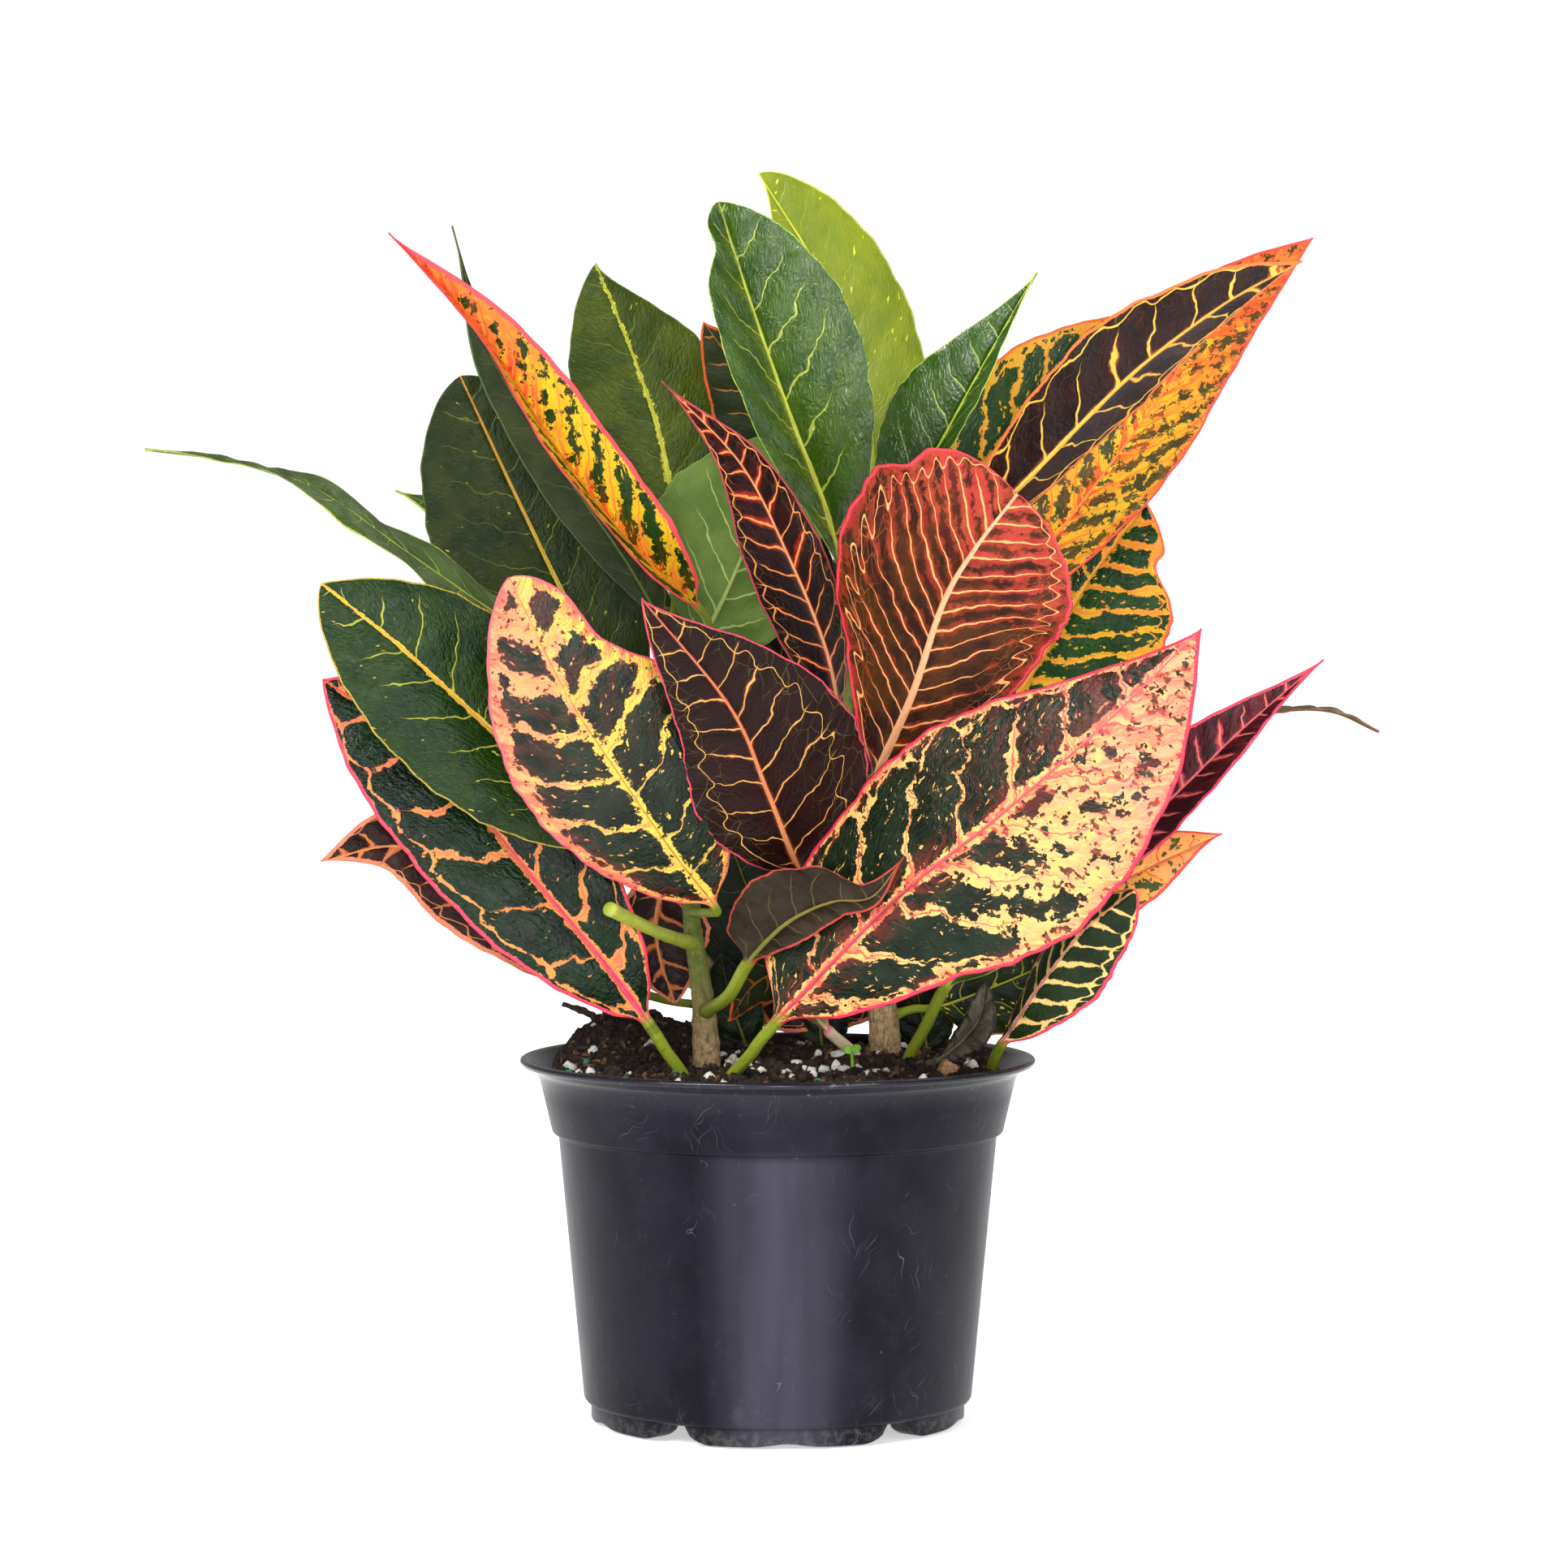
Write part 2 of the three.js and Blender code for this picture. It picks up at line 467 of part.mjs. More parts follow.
function potSolid() {
  const { height, footHeight, lipRadius, collarTopRadius, collarFootRadius, collarFootZ } = POT;
  const outside = [
    [0, footHeight],
    [POT.bodyFootRadius - 1.2, footHeight],
    [POT.bodyFootRadius, footHeight + 1],
    [POT.bodyTopRadius, collarFootZ - 1.4],
    [collarFootRadius - 0.4, collarFootZ - 0.4],
    [collarFootRadius, collarFootZ + 0.6],
    [collarTopRadius, height - 7],
    [collarTopRadius + 1, height - 4.6],
    [collarTopRadius + 3.4, height - 2.6],
    [lipRadius - 0.6, height - 1.9],
    [lipRadius, height - 1],
    [lipRadius - 0.5, height - 0.2],
    [lipRadius - 1.6, height],
    [lipRadius - 3.2, height - 0.6],
    [collarTopRadius + 1, height - 2.8],
  ];
  let pot = lathe([...outside, ...insideProfile(0).reverse()]);
  for (let i = 0; i < POT.feet; i++) {
    pot = pot.add(footSolid(POT.footTurn + (i * 360) / POT.feet));
  }
  for (let i = 0; i < POT.feet; i++) {
    const hole = new THREE.CylinderGeometry(POT.drainRadius, POT.drainRadius, 12, 12);
    hole.rotateX(Math.PI / 2);
    hole.translate(0, -POT.drainRing, POT.footHeight + 1);
    hole.rotateZ(THREE.MathUtils.degToRad(POT.footTurn + ((i + 0.5) * 360) / POT.feet));
    pot = pot.subtract(solidOf(hole));
  }
  return pot;
}

/** One foot: a curved bar under the rim of the floor, round at its ends, low in its middle. */
function footSolid(turn) {
  const { footRingRadius, footRingWidth, footHeight, footAngle, footSteps, footNotch } = POT;
  const rings = [];
  for (let i = 0; i <= footSteps; i++) {
    const u = (2 * i) / footSteps - 1;
    const angle = THREE.MathUtils.degToRad(turn - 90 + (u * footAngle) / 2);
    const rounded = Math.min(1, 1.12 * Math.sqrt(Math.max(0, 1 - u ** 6)));
    const notch = 1 - footNotch * Math.exp(-((u / 0.2) ** 2));
    const low = footHeight * (1 - rounded * (Math.abs(u) < 0.3 ? notch : 1));
    rings.push([[footRingWidth, low], [footRingWidth, footHeight + 1], [0, footHeight + 1], [0, low]]
      .map(([inward, z]) => new THREE.Vector3(
        (footRingRadius - inward) * Math.cos(angle), (footRingRadius - inward) * Math.sin(angle), z)));
  }
  return loftSolid(rings);
}

// The stems: each one's middle line.
const stemLine = Object.fromEntries(Object.entries(STEMS).map(([key, stem]) => [
  key, new THREE.CatmullRomCurve3(stem.points.map(vec), false, "catmullrom", 0.5)]));

/** The point of a stem's middle line at height z. */
function stemPoint(key, z) {
  const line = stemLine[key];
  let low = 0;
  let high = 1;
  for (let i = 0; i < 30; i++) {
    const t = (low + high) / 2;
    if (line.getPoint(t).z < z) {
      low = t;
    } else {
      high = t;
    }
  }
  return line.getPoint((low + high) / 2);
}

/** A woody stem with the swollen rings of old leaf scars. */
function stemSolid(key, grow = 0) {
  const { points, radii } = STEMS[key];
  const bump = (t) => 1 + 0.07 * Math.max(0, Math.sin(t * 60));
  return rod(points, radii, { sides: 8, steps: 18, grow, bump });
}

// The leaves: rings along a blade and a stalk, and the stalk's radius.
const BLADE_STEPS = 10;
const STALK_STEPS = 3;
const STALK_RADIUS = 1.5; // of a slender stalk

/** Share of the full half width at s (0 base, 1 tip), for the left (-1) or right (1) half. */
function bladeShare(leaf, s, side) {
  const wide = leaf.widest;
  const toTip = s > wide;
  const away = toTip ? (s - wide) / (1 - wide) : (wide - s) / wide;
  const [biteSide, at, depth, span] = leaf.bite ?? [0, 0, 0, 1];
  const bite = biteSide === side ? depth * Math.exp(-(((s - at) / span) ** 2)) : 0;
  return (1 - away * away) ** leaf.ends[(side > 0 ? 2 : 0) + (toTip ? 1 : 0)] * (1 - bite);
}

/** Where the blade is at s: its middle line, its two edges and its upper direction. */
function bladeFrame(leaf, line, s) {
  const t0 = leaf.base / leaf.path.length;
  const tWide = lerp(t0, 1, leaf.widest);
  const t = lerp(t0, 1, s);
  const centre = line.getPoint(t);
  const along = line.getTangent(t);
  const turn = new THREE.Quaternion().setFromUnitVectors(line.getTangent(tWide), along);
  const twist = new THREE.Quaternion().setFromAxisAngle(
    along, THREE.MathUtils.degToRad((leaf.twist ?? 0) * (s - leaf.widest)));
  const left = vec(leaf.left).applyQuaternion(turn).applyQuaternion(twist);
  const right = vec(leaf.right).applyQuaternion(turn).applyQuaternion(twist);
  const up = right.clone().sub(left).cross(along).normalize();
  return { centre, along, left, right, up };
}

/** The eight points of a leaf's section: left edge, upper side, right edge, lower side. */
function section(centre, left, right, up, half, rib, inner, lift) {
  const at = (side, share, height) => centre.clone()
    .addScaledVector(side, share)
    .addScaledVector(up, height);
  return [
    at(left, 1, lift[0]),
    at(left, inner, half + lift[2]),
    at(left, 0, rib),
    at(right, inner, half + lift[2]),
    at(right, 1, lift[1]),
    at(right, inner, -half + lift[2]),
    at(right, 0, -rib * 1.3),
    at(left, inner, -half + lift[2]),
  ];
}

/** A whole leaf, stalk and blade in one skin, before it is cut back from its stem. */
function leafSolid(leaf) {
  const root = leaf.root ? vec(leaf.root) : stemPoint(leaf.stem, leaf.z);
  const line = new THREE.CatmullRomCurve3([root, ...leaf.path.map(vec)], false, "catmullrom", 0.5);
  const t0 = leaf.base / leaf.path.length;
  const [waveSize, waves, phase] = leaf.wave;
  const stalk = leaf.stalk ?? STALK_RADIUS;
  const rings = [];
  const first = bladeFrame(leaf, line, 0);
  for (let i = 0; i < STALK_STEPS; i++) {
    const t = (t0 * i) / STALK_STEPS;
    const along = line.getTangent(t);
    const across = first.right.clone().sub(first.left);
    across.addScaledVector(along, -across.dot(along)).normalize().multiplyScalar(stalk);
    const up = across.clone().cross(along).normalize();
    rings.push(section(line.getPoint(t), across.clone().negate(), across, up,
      stalk * 0.7, stalk, 0.7, [0, 0, 0]));
  }
  for (let i = 0; i < BLADE_STEPS; i++) {
    const s = i / BLADE_STEPS;
    const { centre, left, right, up } = bladeFrame(leaf, line, s);
    const least = s < 0.5 ? lerp(stalk, 0.6, s * 2) : 0.6;
    const spread = (side, sign) => side.clone().normalize()
      .multiplyScalar(Math.max(side.length() * bladeShare(leaf, s, sign), least));
    const open = Math.min(1, s / 0.16);
    const share = Math.sin(Math.PI * s);
    const wave = (shift) => waveSize * share * Math.sin(2 * Math.PI * (waves * s + phase + shift));
    const half = lerp(stalk * 0.7, 0.35, open);
    const rib = lerp(stalk, lerp(0.75, 0.45, s), open);
    rings.push(section(centre, spread(left, -1), spread(right, 1), up, half, rib,
      lerp(0.7, 0.5, open), [wave(0), wave(0.4), leaf.cup * share]));
  }
  return loftSolid(rings, line.getPoint(1), true);
}

/** A leaf of the back, on stem c: it rises, reaches out and sags at its tip. */
function backLeaf({ name, z, turn, reach, rise, sag, half, colour }) {
  const root = stemPoint("c", z);
  const out = new THREE.Vector3(Math.cos(THREE.MathUtils.degToRad(turn)),
    Math.sin(THREE.MathUtils.degToRad(turn)), 0);
  const at = (share) => root.clone()
    .addScaledVector(out, reach * share)
    .add(new THREE.Vector3(0, 0, rise * share - sag * share * share * share)).toArray();
  return {
    name, stem: "c", z, base: 2, colour, widest: 0.5, ends: [1, 1.1, 1, 1.1], cup: 1.5,
    path: [at(0.12), at(0.24), at(0.45), at(0.65), at(0.83), at(1)],
    left: [-out.y * half, out.x * half, 4],
    right: [out.y * half, -out.x * half, 4],
    wave: [1.2, 2.5, z / 100],
  };
}

const leaves = [...LEAVES, ...BACK_LEAVES.map(backLeaf)];

// The soil.

/** Height of the potting soil: a mound at the back left, a fall to the wall, crumbs. */
function soilHeight(x, y) {
  const mound = 14 * Math.exp(-(((x + 50) / 27) ** 2 + ((y - 36) / 30) ** 2));
  const around = 3 * Math.exp(-(((x - 10) / 34) ** 2 + ((y - 14) / 34) ** 2));
  const lumps = 0.7 * Math.sin(x * 0.31 + 1) * Math.sin(y * 0.27 + 2);
  const edge = 2.5 * Math.max(0, (Math.hypot(x, y) - 62) / 10);
  return SOIL.level + mound + around + lumps - edge;
}

function soilSolid() {
  const random = randomFrom(SOIL.seed);
  const wall = insideProfile(GAP).slice(1);
  const rings = [];
  const ringOf = (radius, height) => [...Array(POT.sides).keys()].map((i) => {
    const angle = (2 * Math.PI * i) / POT.sides;
    const x = radius * Math.sin(angle);
    const y = -radius * Math.cos(angle);
    return new THREE.Vector3(x, y, height(x, y));
  });
  for (const [radius, z] of wall.slice(0, -1)) {
    rings.push(ringOf(radius, () => z));
  }
  const mouth = lerp(wall[wall.length - 2][0], wall[wall.length - 1][0], 0.6);
  for (let i = 0; i < SOIL.rings; i++) {
    const radius = mouth * (1 - i / SOIL.rings);
    const crumb = i === 0 ? 0 : SOIL.crumb;
    rings.push(ringOf(radius, (x, y) => soilHeight(x, y) + crumb * (2 * random() - 1)));
  }
  let soil = loftSolid(rings, new THREE.Vector3(0, 0, soilHeight(0, 0)));
  for (let i = 0; i < SOIL.grains; i++) {
    const angle = 2 * Math.PI * random();
    const far = 60 * Math.sqrt(random());
    const x = far * Math.cos(angle);
    const y = far * Math.sin(angle);
    const size = 1.6 + 1.4 * random();
    const grain = new THREE.IcosahedronGeometry(size, 0);
    grain.scale(1, 0.85 + 0.3 * random(), 0.8);
    grain.rotateZ(6 * random());
    grain.translate(x, y, soilHeight(x, y) + size * 0.1);
    soil = soil.add(solidOf(grain));
  }
  return soil;
}

// The small pieces on the soil and the stem; grow makes the hole that each stands in.

/** The stump of a cut leaf stalk on stem a. */
const stubPath = (grow) => rod(
  [stemPoint("a", 148).toArray(), [-36, -40, 154], [-50, -66, 163]], [2.4, 2, 2.1],
  { sides: 8, steps: 5, grow });

/** A dark twig whose lower end is stuck in the soil. */
const twig = (grow) => rod([[-52, 34, 112], [-58, 33, 121.5], [-68, 31, 126]], [1.3, 1.1, 0.8],
  { sides: 6, steps: 5, grow });

/** A pale chip of wood lying half in the soil at the right. */
function woodChip(grow) {
  const chip = new THREE.BoxGeometry(5.5 + 2 * grow, 4 + 2 * grow, 5 + 2 * grow);
  chip.rotateY(0.5);
  chip.rotateZ(0.3);
  chip.translate(52, -21, 110.5);
  return solidOf(chip);
}

/** A seedling with two round seed leaves. */
function seedling(grow) {
  let plant = rod([[23, -20, 104], [23, -20, 110], [22.6, -20, 115.5]], [0.7, 0.6, 0.6],
    { sides: 6, steps: 3, grow });
  for (const [x, z, tilt] of [[21.3, 116, 0.35], [24.2, 116.6, -0.3]]) {
    const blade = new THREE.CylinderGeometry(2.1 + grow, 2.1 + grow, 0.7 + 2 * grow, 10);
    blade.rotateX(0.9);
    blade.rotateY(tilt);
    blade.translate(x, -20, z);
    plant = plant.add(solidOf(blade));
  }
  return plant;
}

/** A dead leaf, dry and curled, stuck in the soil at the right. */
const dryLeaf = {
  name: "leaf_dry_curled_right", root: [47, -12, 104], base: 2, colour: 0x5b544b,
  path: [[46, -12, 110], [49, -13, 112.5], [56, -15, 118], [62, -17, 126], [64, -18, 137]],
  left: [-3, -3, 4], right: [4, -4, -4], widest: 0.55, ends: [1, 0.8, 1, 0.8],
  wave: [1.2, 3, 0.3], cup: 1,
};

// All pieces together: each stands in a hole of its own, a little wider than itself.
const stems = Object.fromEntries(Object.keys(STEMS).map((key) => [key, stemSolid(key)]));
const stemClearance = Object.fromEntries(Object.keys(STEMS).map((key) => [key, stemSolid(key, GAP)]));
const small = { cut_stalk: stubPath, twig_in_soil: twig, wood_chip: woodChip, seedling };

let soil = soilSolid();
for (const key of Object.keys(STEMS)) {
  soil = soil.subtract(stemClearance[key]);
}
for (const name of ["twig_in_soil", "wood_chip", "seedling"]) {
  soil = soil.subtract(small[name](GAP));
}
for (const leaf of [dryLeaf, ...leaves.filter((one) => one.root)]) {
  const radius = 1.45 * (leaf.stalk ?? STALK_RADIUS);
  soil = soil.subtract(rod([leaf.root, ...leaf.path.slice(0, 2)], [radius, radius],
    { sides: 6, steps: 4, grow: GAP }));
}

const croton = new THREE.Group();
croton.name = "potted_croton";
croton.add(mesh("pot", potSolid(), 0x2c2b31, 0.42));
croton.add(mesh("soil", soil, 0x2a1d17, 0.95));
for (const key of Object.keys(STEMS)) {
  croton.add(mesh(`stem_${key}`, stems[key], 0x8a7658, 0.8));
}
croton.add(mesh("cut_stalk", stubPath(0).subtract(stemClearance.a), 0x7f9a3e, 0.5));
croton.add(mesh("twig_in_soil", twig(0), 0x3a2a20, 0.9));
croton.add(mesh("wood_chip", woodChip(0), 0xb98a5e, 0.8));
croton.add(mesh("seedling", seedling(0), 0x7fbf3a, 0.5));
for (const leaf of leaves) {
  const whole = leafSolid(leaf);
  const held = leaf.root ? whole : whole.subtract(stemClearance[leaf.stem]);
  croton.add(mesh(leaf.name, held, leaf.colour, 0.4));
}

croton.add(mesh(dryLeaf.name, leafSolid(dryLeaf), dryLeaf.colour, 0.8));

export default croton;
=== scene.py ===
"""Looks of the potted croton: leaves, stems, soil and pot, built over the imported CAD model.

Sizes are in millimetres in the tables and in metres in the finished meshes. +Z is up, +X is
to the right and +Y is away from whoever looks at the front, as in the part's own source.
"""

import logging
import math
from collections.abc import Callable, Sequence
from dataclasses import dataclass, field, fields
from enum import Enum
from itertools import product

import bmesh
import bpy
import numpy as np
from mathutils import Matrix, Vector


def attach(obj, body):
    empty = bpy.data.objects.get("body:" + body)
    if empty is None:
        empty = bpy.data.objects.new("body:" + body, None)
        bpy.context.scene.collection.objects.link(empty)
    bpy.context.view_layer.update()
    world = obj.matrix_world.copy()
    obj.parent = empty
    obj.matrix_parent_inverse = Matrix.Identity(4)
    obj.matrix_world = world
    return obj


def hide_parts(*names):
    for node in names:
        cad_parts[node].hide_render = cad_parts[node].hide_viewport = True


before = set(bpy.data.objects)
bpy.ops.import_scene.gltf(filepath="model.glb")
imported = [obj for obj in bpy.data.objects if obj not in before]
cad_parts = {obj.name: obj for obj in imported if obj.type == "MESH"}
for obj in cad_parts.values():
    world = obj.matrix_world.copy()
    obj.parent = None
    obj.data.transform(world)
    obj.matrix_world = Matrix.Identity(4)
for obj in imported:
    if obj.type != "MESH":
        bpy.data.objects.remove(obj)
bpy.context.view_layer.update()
MM = 0.001
BODY = "root"
# Steps of this share of a whole come back to the same place only after many leaves.
GOLDEN_SHARE = 0.618
Point = tuple[float, float, float]
log = logging.getLogger("croton")


class Slot(Enum):
    """The material slots of the part's record."""

    POT = "pot_plastic"
    SOIL = "potting_soil"
    STEM = "stem_bark"
    STALK = "leaf_stalk"
    DEAD_WOOD = "dead_wood"
    PALE_WOOD = "pale_wood"
    SEEDLING = "seedling_green"
    GREEN = "leaf_light_green"
    DARK = "leaf_dark_green"
    FLAME = "leaf_flame"
    CREAM = "leaf_cream"
    BROWN = "leaf_brown"
    ROSE = "leaf_rose"
    PALE = "leaf_pale"
    DRY = "leaf_dry"


# Colours and node graphs.


def linear(word: str) -> np.ndarray:
    """Linear red, green and blue of a hex colour."""
    values = np.array([int(word[i : i + 2], 16) / 255 for i in (1, 3, 5)])
    return np.where(values <= 0.04045, values / 12.92, ((values + 0.055) / 1.055) ** 2.4)


def tone(word: str, share: float = 0.88, sheen: float = 0.006) -> tuple[float, float, float, float]:
    """The pigment under a colour seen in white surroundings.

    Args:
        word: Colour as it looks, as a hex word.
        share: How much of it is pigment rather than light.
        sheen: White reflection that lies on a glossy surface, taken off again.

    Returns:
        Linear colour with alpha.
    """
    values = np.clip(linear(word) * share - sheen, 0.0015, 1)
    return (*map(float, values), 1.0)


def reckon(operation: str, swapped: bool = False) -> Callable[["Signal", object], "Signal"]:
    """An operator between a signal and something else, written as a node of the operation."""

    def apply(signal: "Signal", other: object) -> "Signal":
        pair = (other, signal) if swapped else (signal, other)
        return signal.graph.math(operation, *pair)

    return apply


@dataclass(frozen=True)
class Signal:
    """A socket of a graph that adds and multiplies like a number."""

    graph: "Graph"
    socket: bpy.types.NodeSocket

    __add__ = reckon("ADD")
    __radd__ = reckon("ADD", swapped=True)
    __sub__ = reckon("SUBTRACT")
    __mul__ = reckon("MULTIPLY")
    __rmul__ = reckon("MULTIPLY", swapped=True)
    __rtruediv__ = reckon("DIVIDE", swapped=True)

    def __abs__(self) -> "Signal":
        """The size without its sign."""
        return self.graph.math("ABSOLUTE", self)


class Graph:
    """A node tree in the making, with short calls for the nodes that the finishes use."""

    def __init__(self, tree: bpy.types.NodeTree) -> None:
        """Start on an empty tree."""
        self.tree = tree
        tree.nodes.clear()

    def put(self, socket: bpy.types.NodeSocket, value: object) -> None:
        """Link a signal to an input, or set the input to a plain value."""
        if isinstance(value, Signal):
            self.tree.links.new(value.socket, socket)
        elif value is not None:
            socket.default_value = value

    def node(self, kind: str, inputs: dict | None = None, **settings: object) -> bpy.types.Node:
        """Add a node.

        Args:
            kind: Blender's name of the node type.
            inputs: Value or signal for inputs, by name or number.
            settings: Properties of the node.

        Returns:
            The new node.
        """
        node = self.tree.nodes.new(kind)
        for key, value in settings.items():
            setattr(node, key, value)
        for key, value in (inputs or {}).items():
            self.put(node.inputs[key], value)
        return node

    def out(self, kind: str, inputs: dict | None = None, output: int | str = 0,
            **settings: object) -> Signal:
        """Add a node and take one of its outputs, by name or number."""
        return Signal(self, self.node(kind, inputs, **settings).outputs[output])

    def given(self) -> dict[str, Signal]:
        """The inputs of a group, by name."""
        return {item.name: Signal(self, item) for item in self.node("NodeGroupInput").outputs}

    def math(self, operation: str, a: object, b: object = None, clamp: bool = False,
             third: object = None) -> Signal:
        """A sum of one, two or three numbers."""
        return self.out("ShaderNodeMath", {0: a, 1: b, 2: third}, operation=operation, use_clamp=clamp)

    def most(self, first: object, *others: object) -> Signal:
        """The largest of all the values."""
        for other in others:
            first = self.math("MAXIMUM", first, other)
        return first

    def spread(self, value: object, low: float, high: float, to_low: float = 0, to_high: float = 1,
               smooth: bool = True) -> Signal:
        """Take a value from one range to another, and hold it there."""
        kind = "SMOOTHSTEP" if smooth else "LINEAR"
        return self.out("ShaderNodeMapRange", {0: value, 1: low, 2: high, 3: to_low, 4: to_high},
                        interpolation_type=kind)

    def inside(self, width: object, distance: object, soft: float = 0.16) -> Signal:
        """1 where distance is well below width, 0 where it isn't."""
        return self.math("DIVIDE", self.math("SUBTRACT", width, distance), soft, clamp=True)

    def mix(self, share: object, a: object, b: object) -> Signal:
        """Lay colour b over colour a."""
        return self.out("ShaderNodeMix", {0: share, 6: a, 7: b}, 2, data_type="RGBA", clamp_factor=True)

    def noise(self, vector: object, scale: object, detail: float = 2, roughness: float = 0.5) -> Signal:
        """Cloudy noise between 0 and 1."""
        return self.out("ShaderNodeTexNoise", {
            "Vector": vector, "Scale": scale, "Detail": detail, "Roughness": roughness})

    def cells(self, vector: object, scale: object) -> tuple[Signal, Signal]:
        """A field of cells: the distance to the nearest middle, and three chance numbers for each cell."""
        node = self.node("ShaderNodeTexVoronoi", {"Vector": vector, "Scale": scale})
        return Signal(self, node.outputs["Distance"]), Signal(self, node.outputs["Color"])

    def edges(self, vector: object, scale: object) -> Signal:
        """The distance to the nearest edge in a field of cells."""
        return self.out("ShaderNodeTexVoronoi", {"Vector": vector, "Scale": scale}, "Distance",
                        feature="DISTANCE_TO_EDGE")

    def parts(self, vector: object) -> list[Signal]:
        """The three numbers of a vector."""
        return [Signal(self, item) for item in self.node("ShaderNodeSeparateXYZ", {0: vector}).outputs]

    def vector(self, x: object, y: object, z: object) -> Signal:
        """Three numbers as a vector."""
        return self.out("ShaderNodeCombineXYZ", {0: x, 1: y, 2: z})

    def attribute(self, name: str) -> Signal:
        """A vector attribute of the mesh."""
        return self.out("ShaderNodeAttribute", output="Vector", attribute_name=name)

    def place(self) -> Signal:
        """Object coordinates, in millimetres."""
        where = self.out("ShaderNodeTexCoord", output="Object")
        return self.out("ShaderNodeMapping", {"Vector": where, "Scale": (1 / MM,) * 3})

    def bump(self, height: object, depth: float) -> Signal:
        """A relief in the shading, depth in metres."""
        return self.out("ShaderNodeBump", {"Strength": 1, "Distance": depth, "Height": height})

    def surface(self, **inputs: object) -> None:
        """The main shader and the output of a material; an input's blanks are written _."""
        named = {key.replace("_", " "): value for key, value in inputs.items()}
        self.node("ShaderNodeOutputMaterial", {0: self.out("ShaderNodeBsdfPrincipled", named)})


def fresh_material(name: str) -> tuple[bpy.types.Material, Graph]:
    """A new material and the graph that it is drawn with."""
    material = bpy.data.materials.new(name)
    material.use_nodes = True
    return material, Graph(material.node_tree)


# Leaf finishes.


@dataclass(frozen=True)
class BladePaint:
    """One side of a leaf. Colours are as they look; widths and sizes are in millimetres.

    Coloured bands run along the rib, the side veins, the loops that join them and the margin.
    Where the flood is high they grow together and leave dark islands between the veins.
    """

    ground: str
    ground_2: str
    band: str = "#d8b13a"
    band_2: str = "#ee8434"
    net: str = "#a9ad3f"
    vein: str = "#b7c35f"
    rib: str = "#d2cf4c"
    rib_tip: str = "#d2cf4c"
    margin: str = "#8fae3c"
    blush: str = "#d8404a"
    freckle: str = "#2c3a20"
    stalk: str = "#87942f"
    rib_width: float = 1.6
    rib_band: float = 0
    vein_width: float = 0.6
    vein_band: float = 0
    vein_reach: float = 0.9
    loop_at: float = 0.8
    loop_width: float = 0
    loop_band: float = 0
    net_width: float = 0
    net_cell: float = 5
    net_from: float = 0.4
    flood: float = 0
    flood_tip: float = 0
    flood_side: float = 0
    flood_edge: float = 0
    warm: float = 0
    warm_tip: float = 0.6
    warm_side: float = 0
    speck: float = 0
    speck_size: float = 0.6
    freckles: float = 0
    margin_width: float = 0.5
    margin_band: float = 0
    blush_edge: float = 0
    blush_tip: float = 0
    blush_rib: float = 0
    jag: float = 0.8
    halo: float = 0.16
    raised: float = -1
    quilt: float = 1
    roughness: float = field(default=0.34, metadata={"own": True})
    coat: float = field(default=0, metadata={"own": True})
    gloss: float = field(default=0.16, metadata={"own": True})


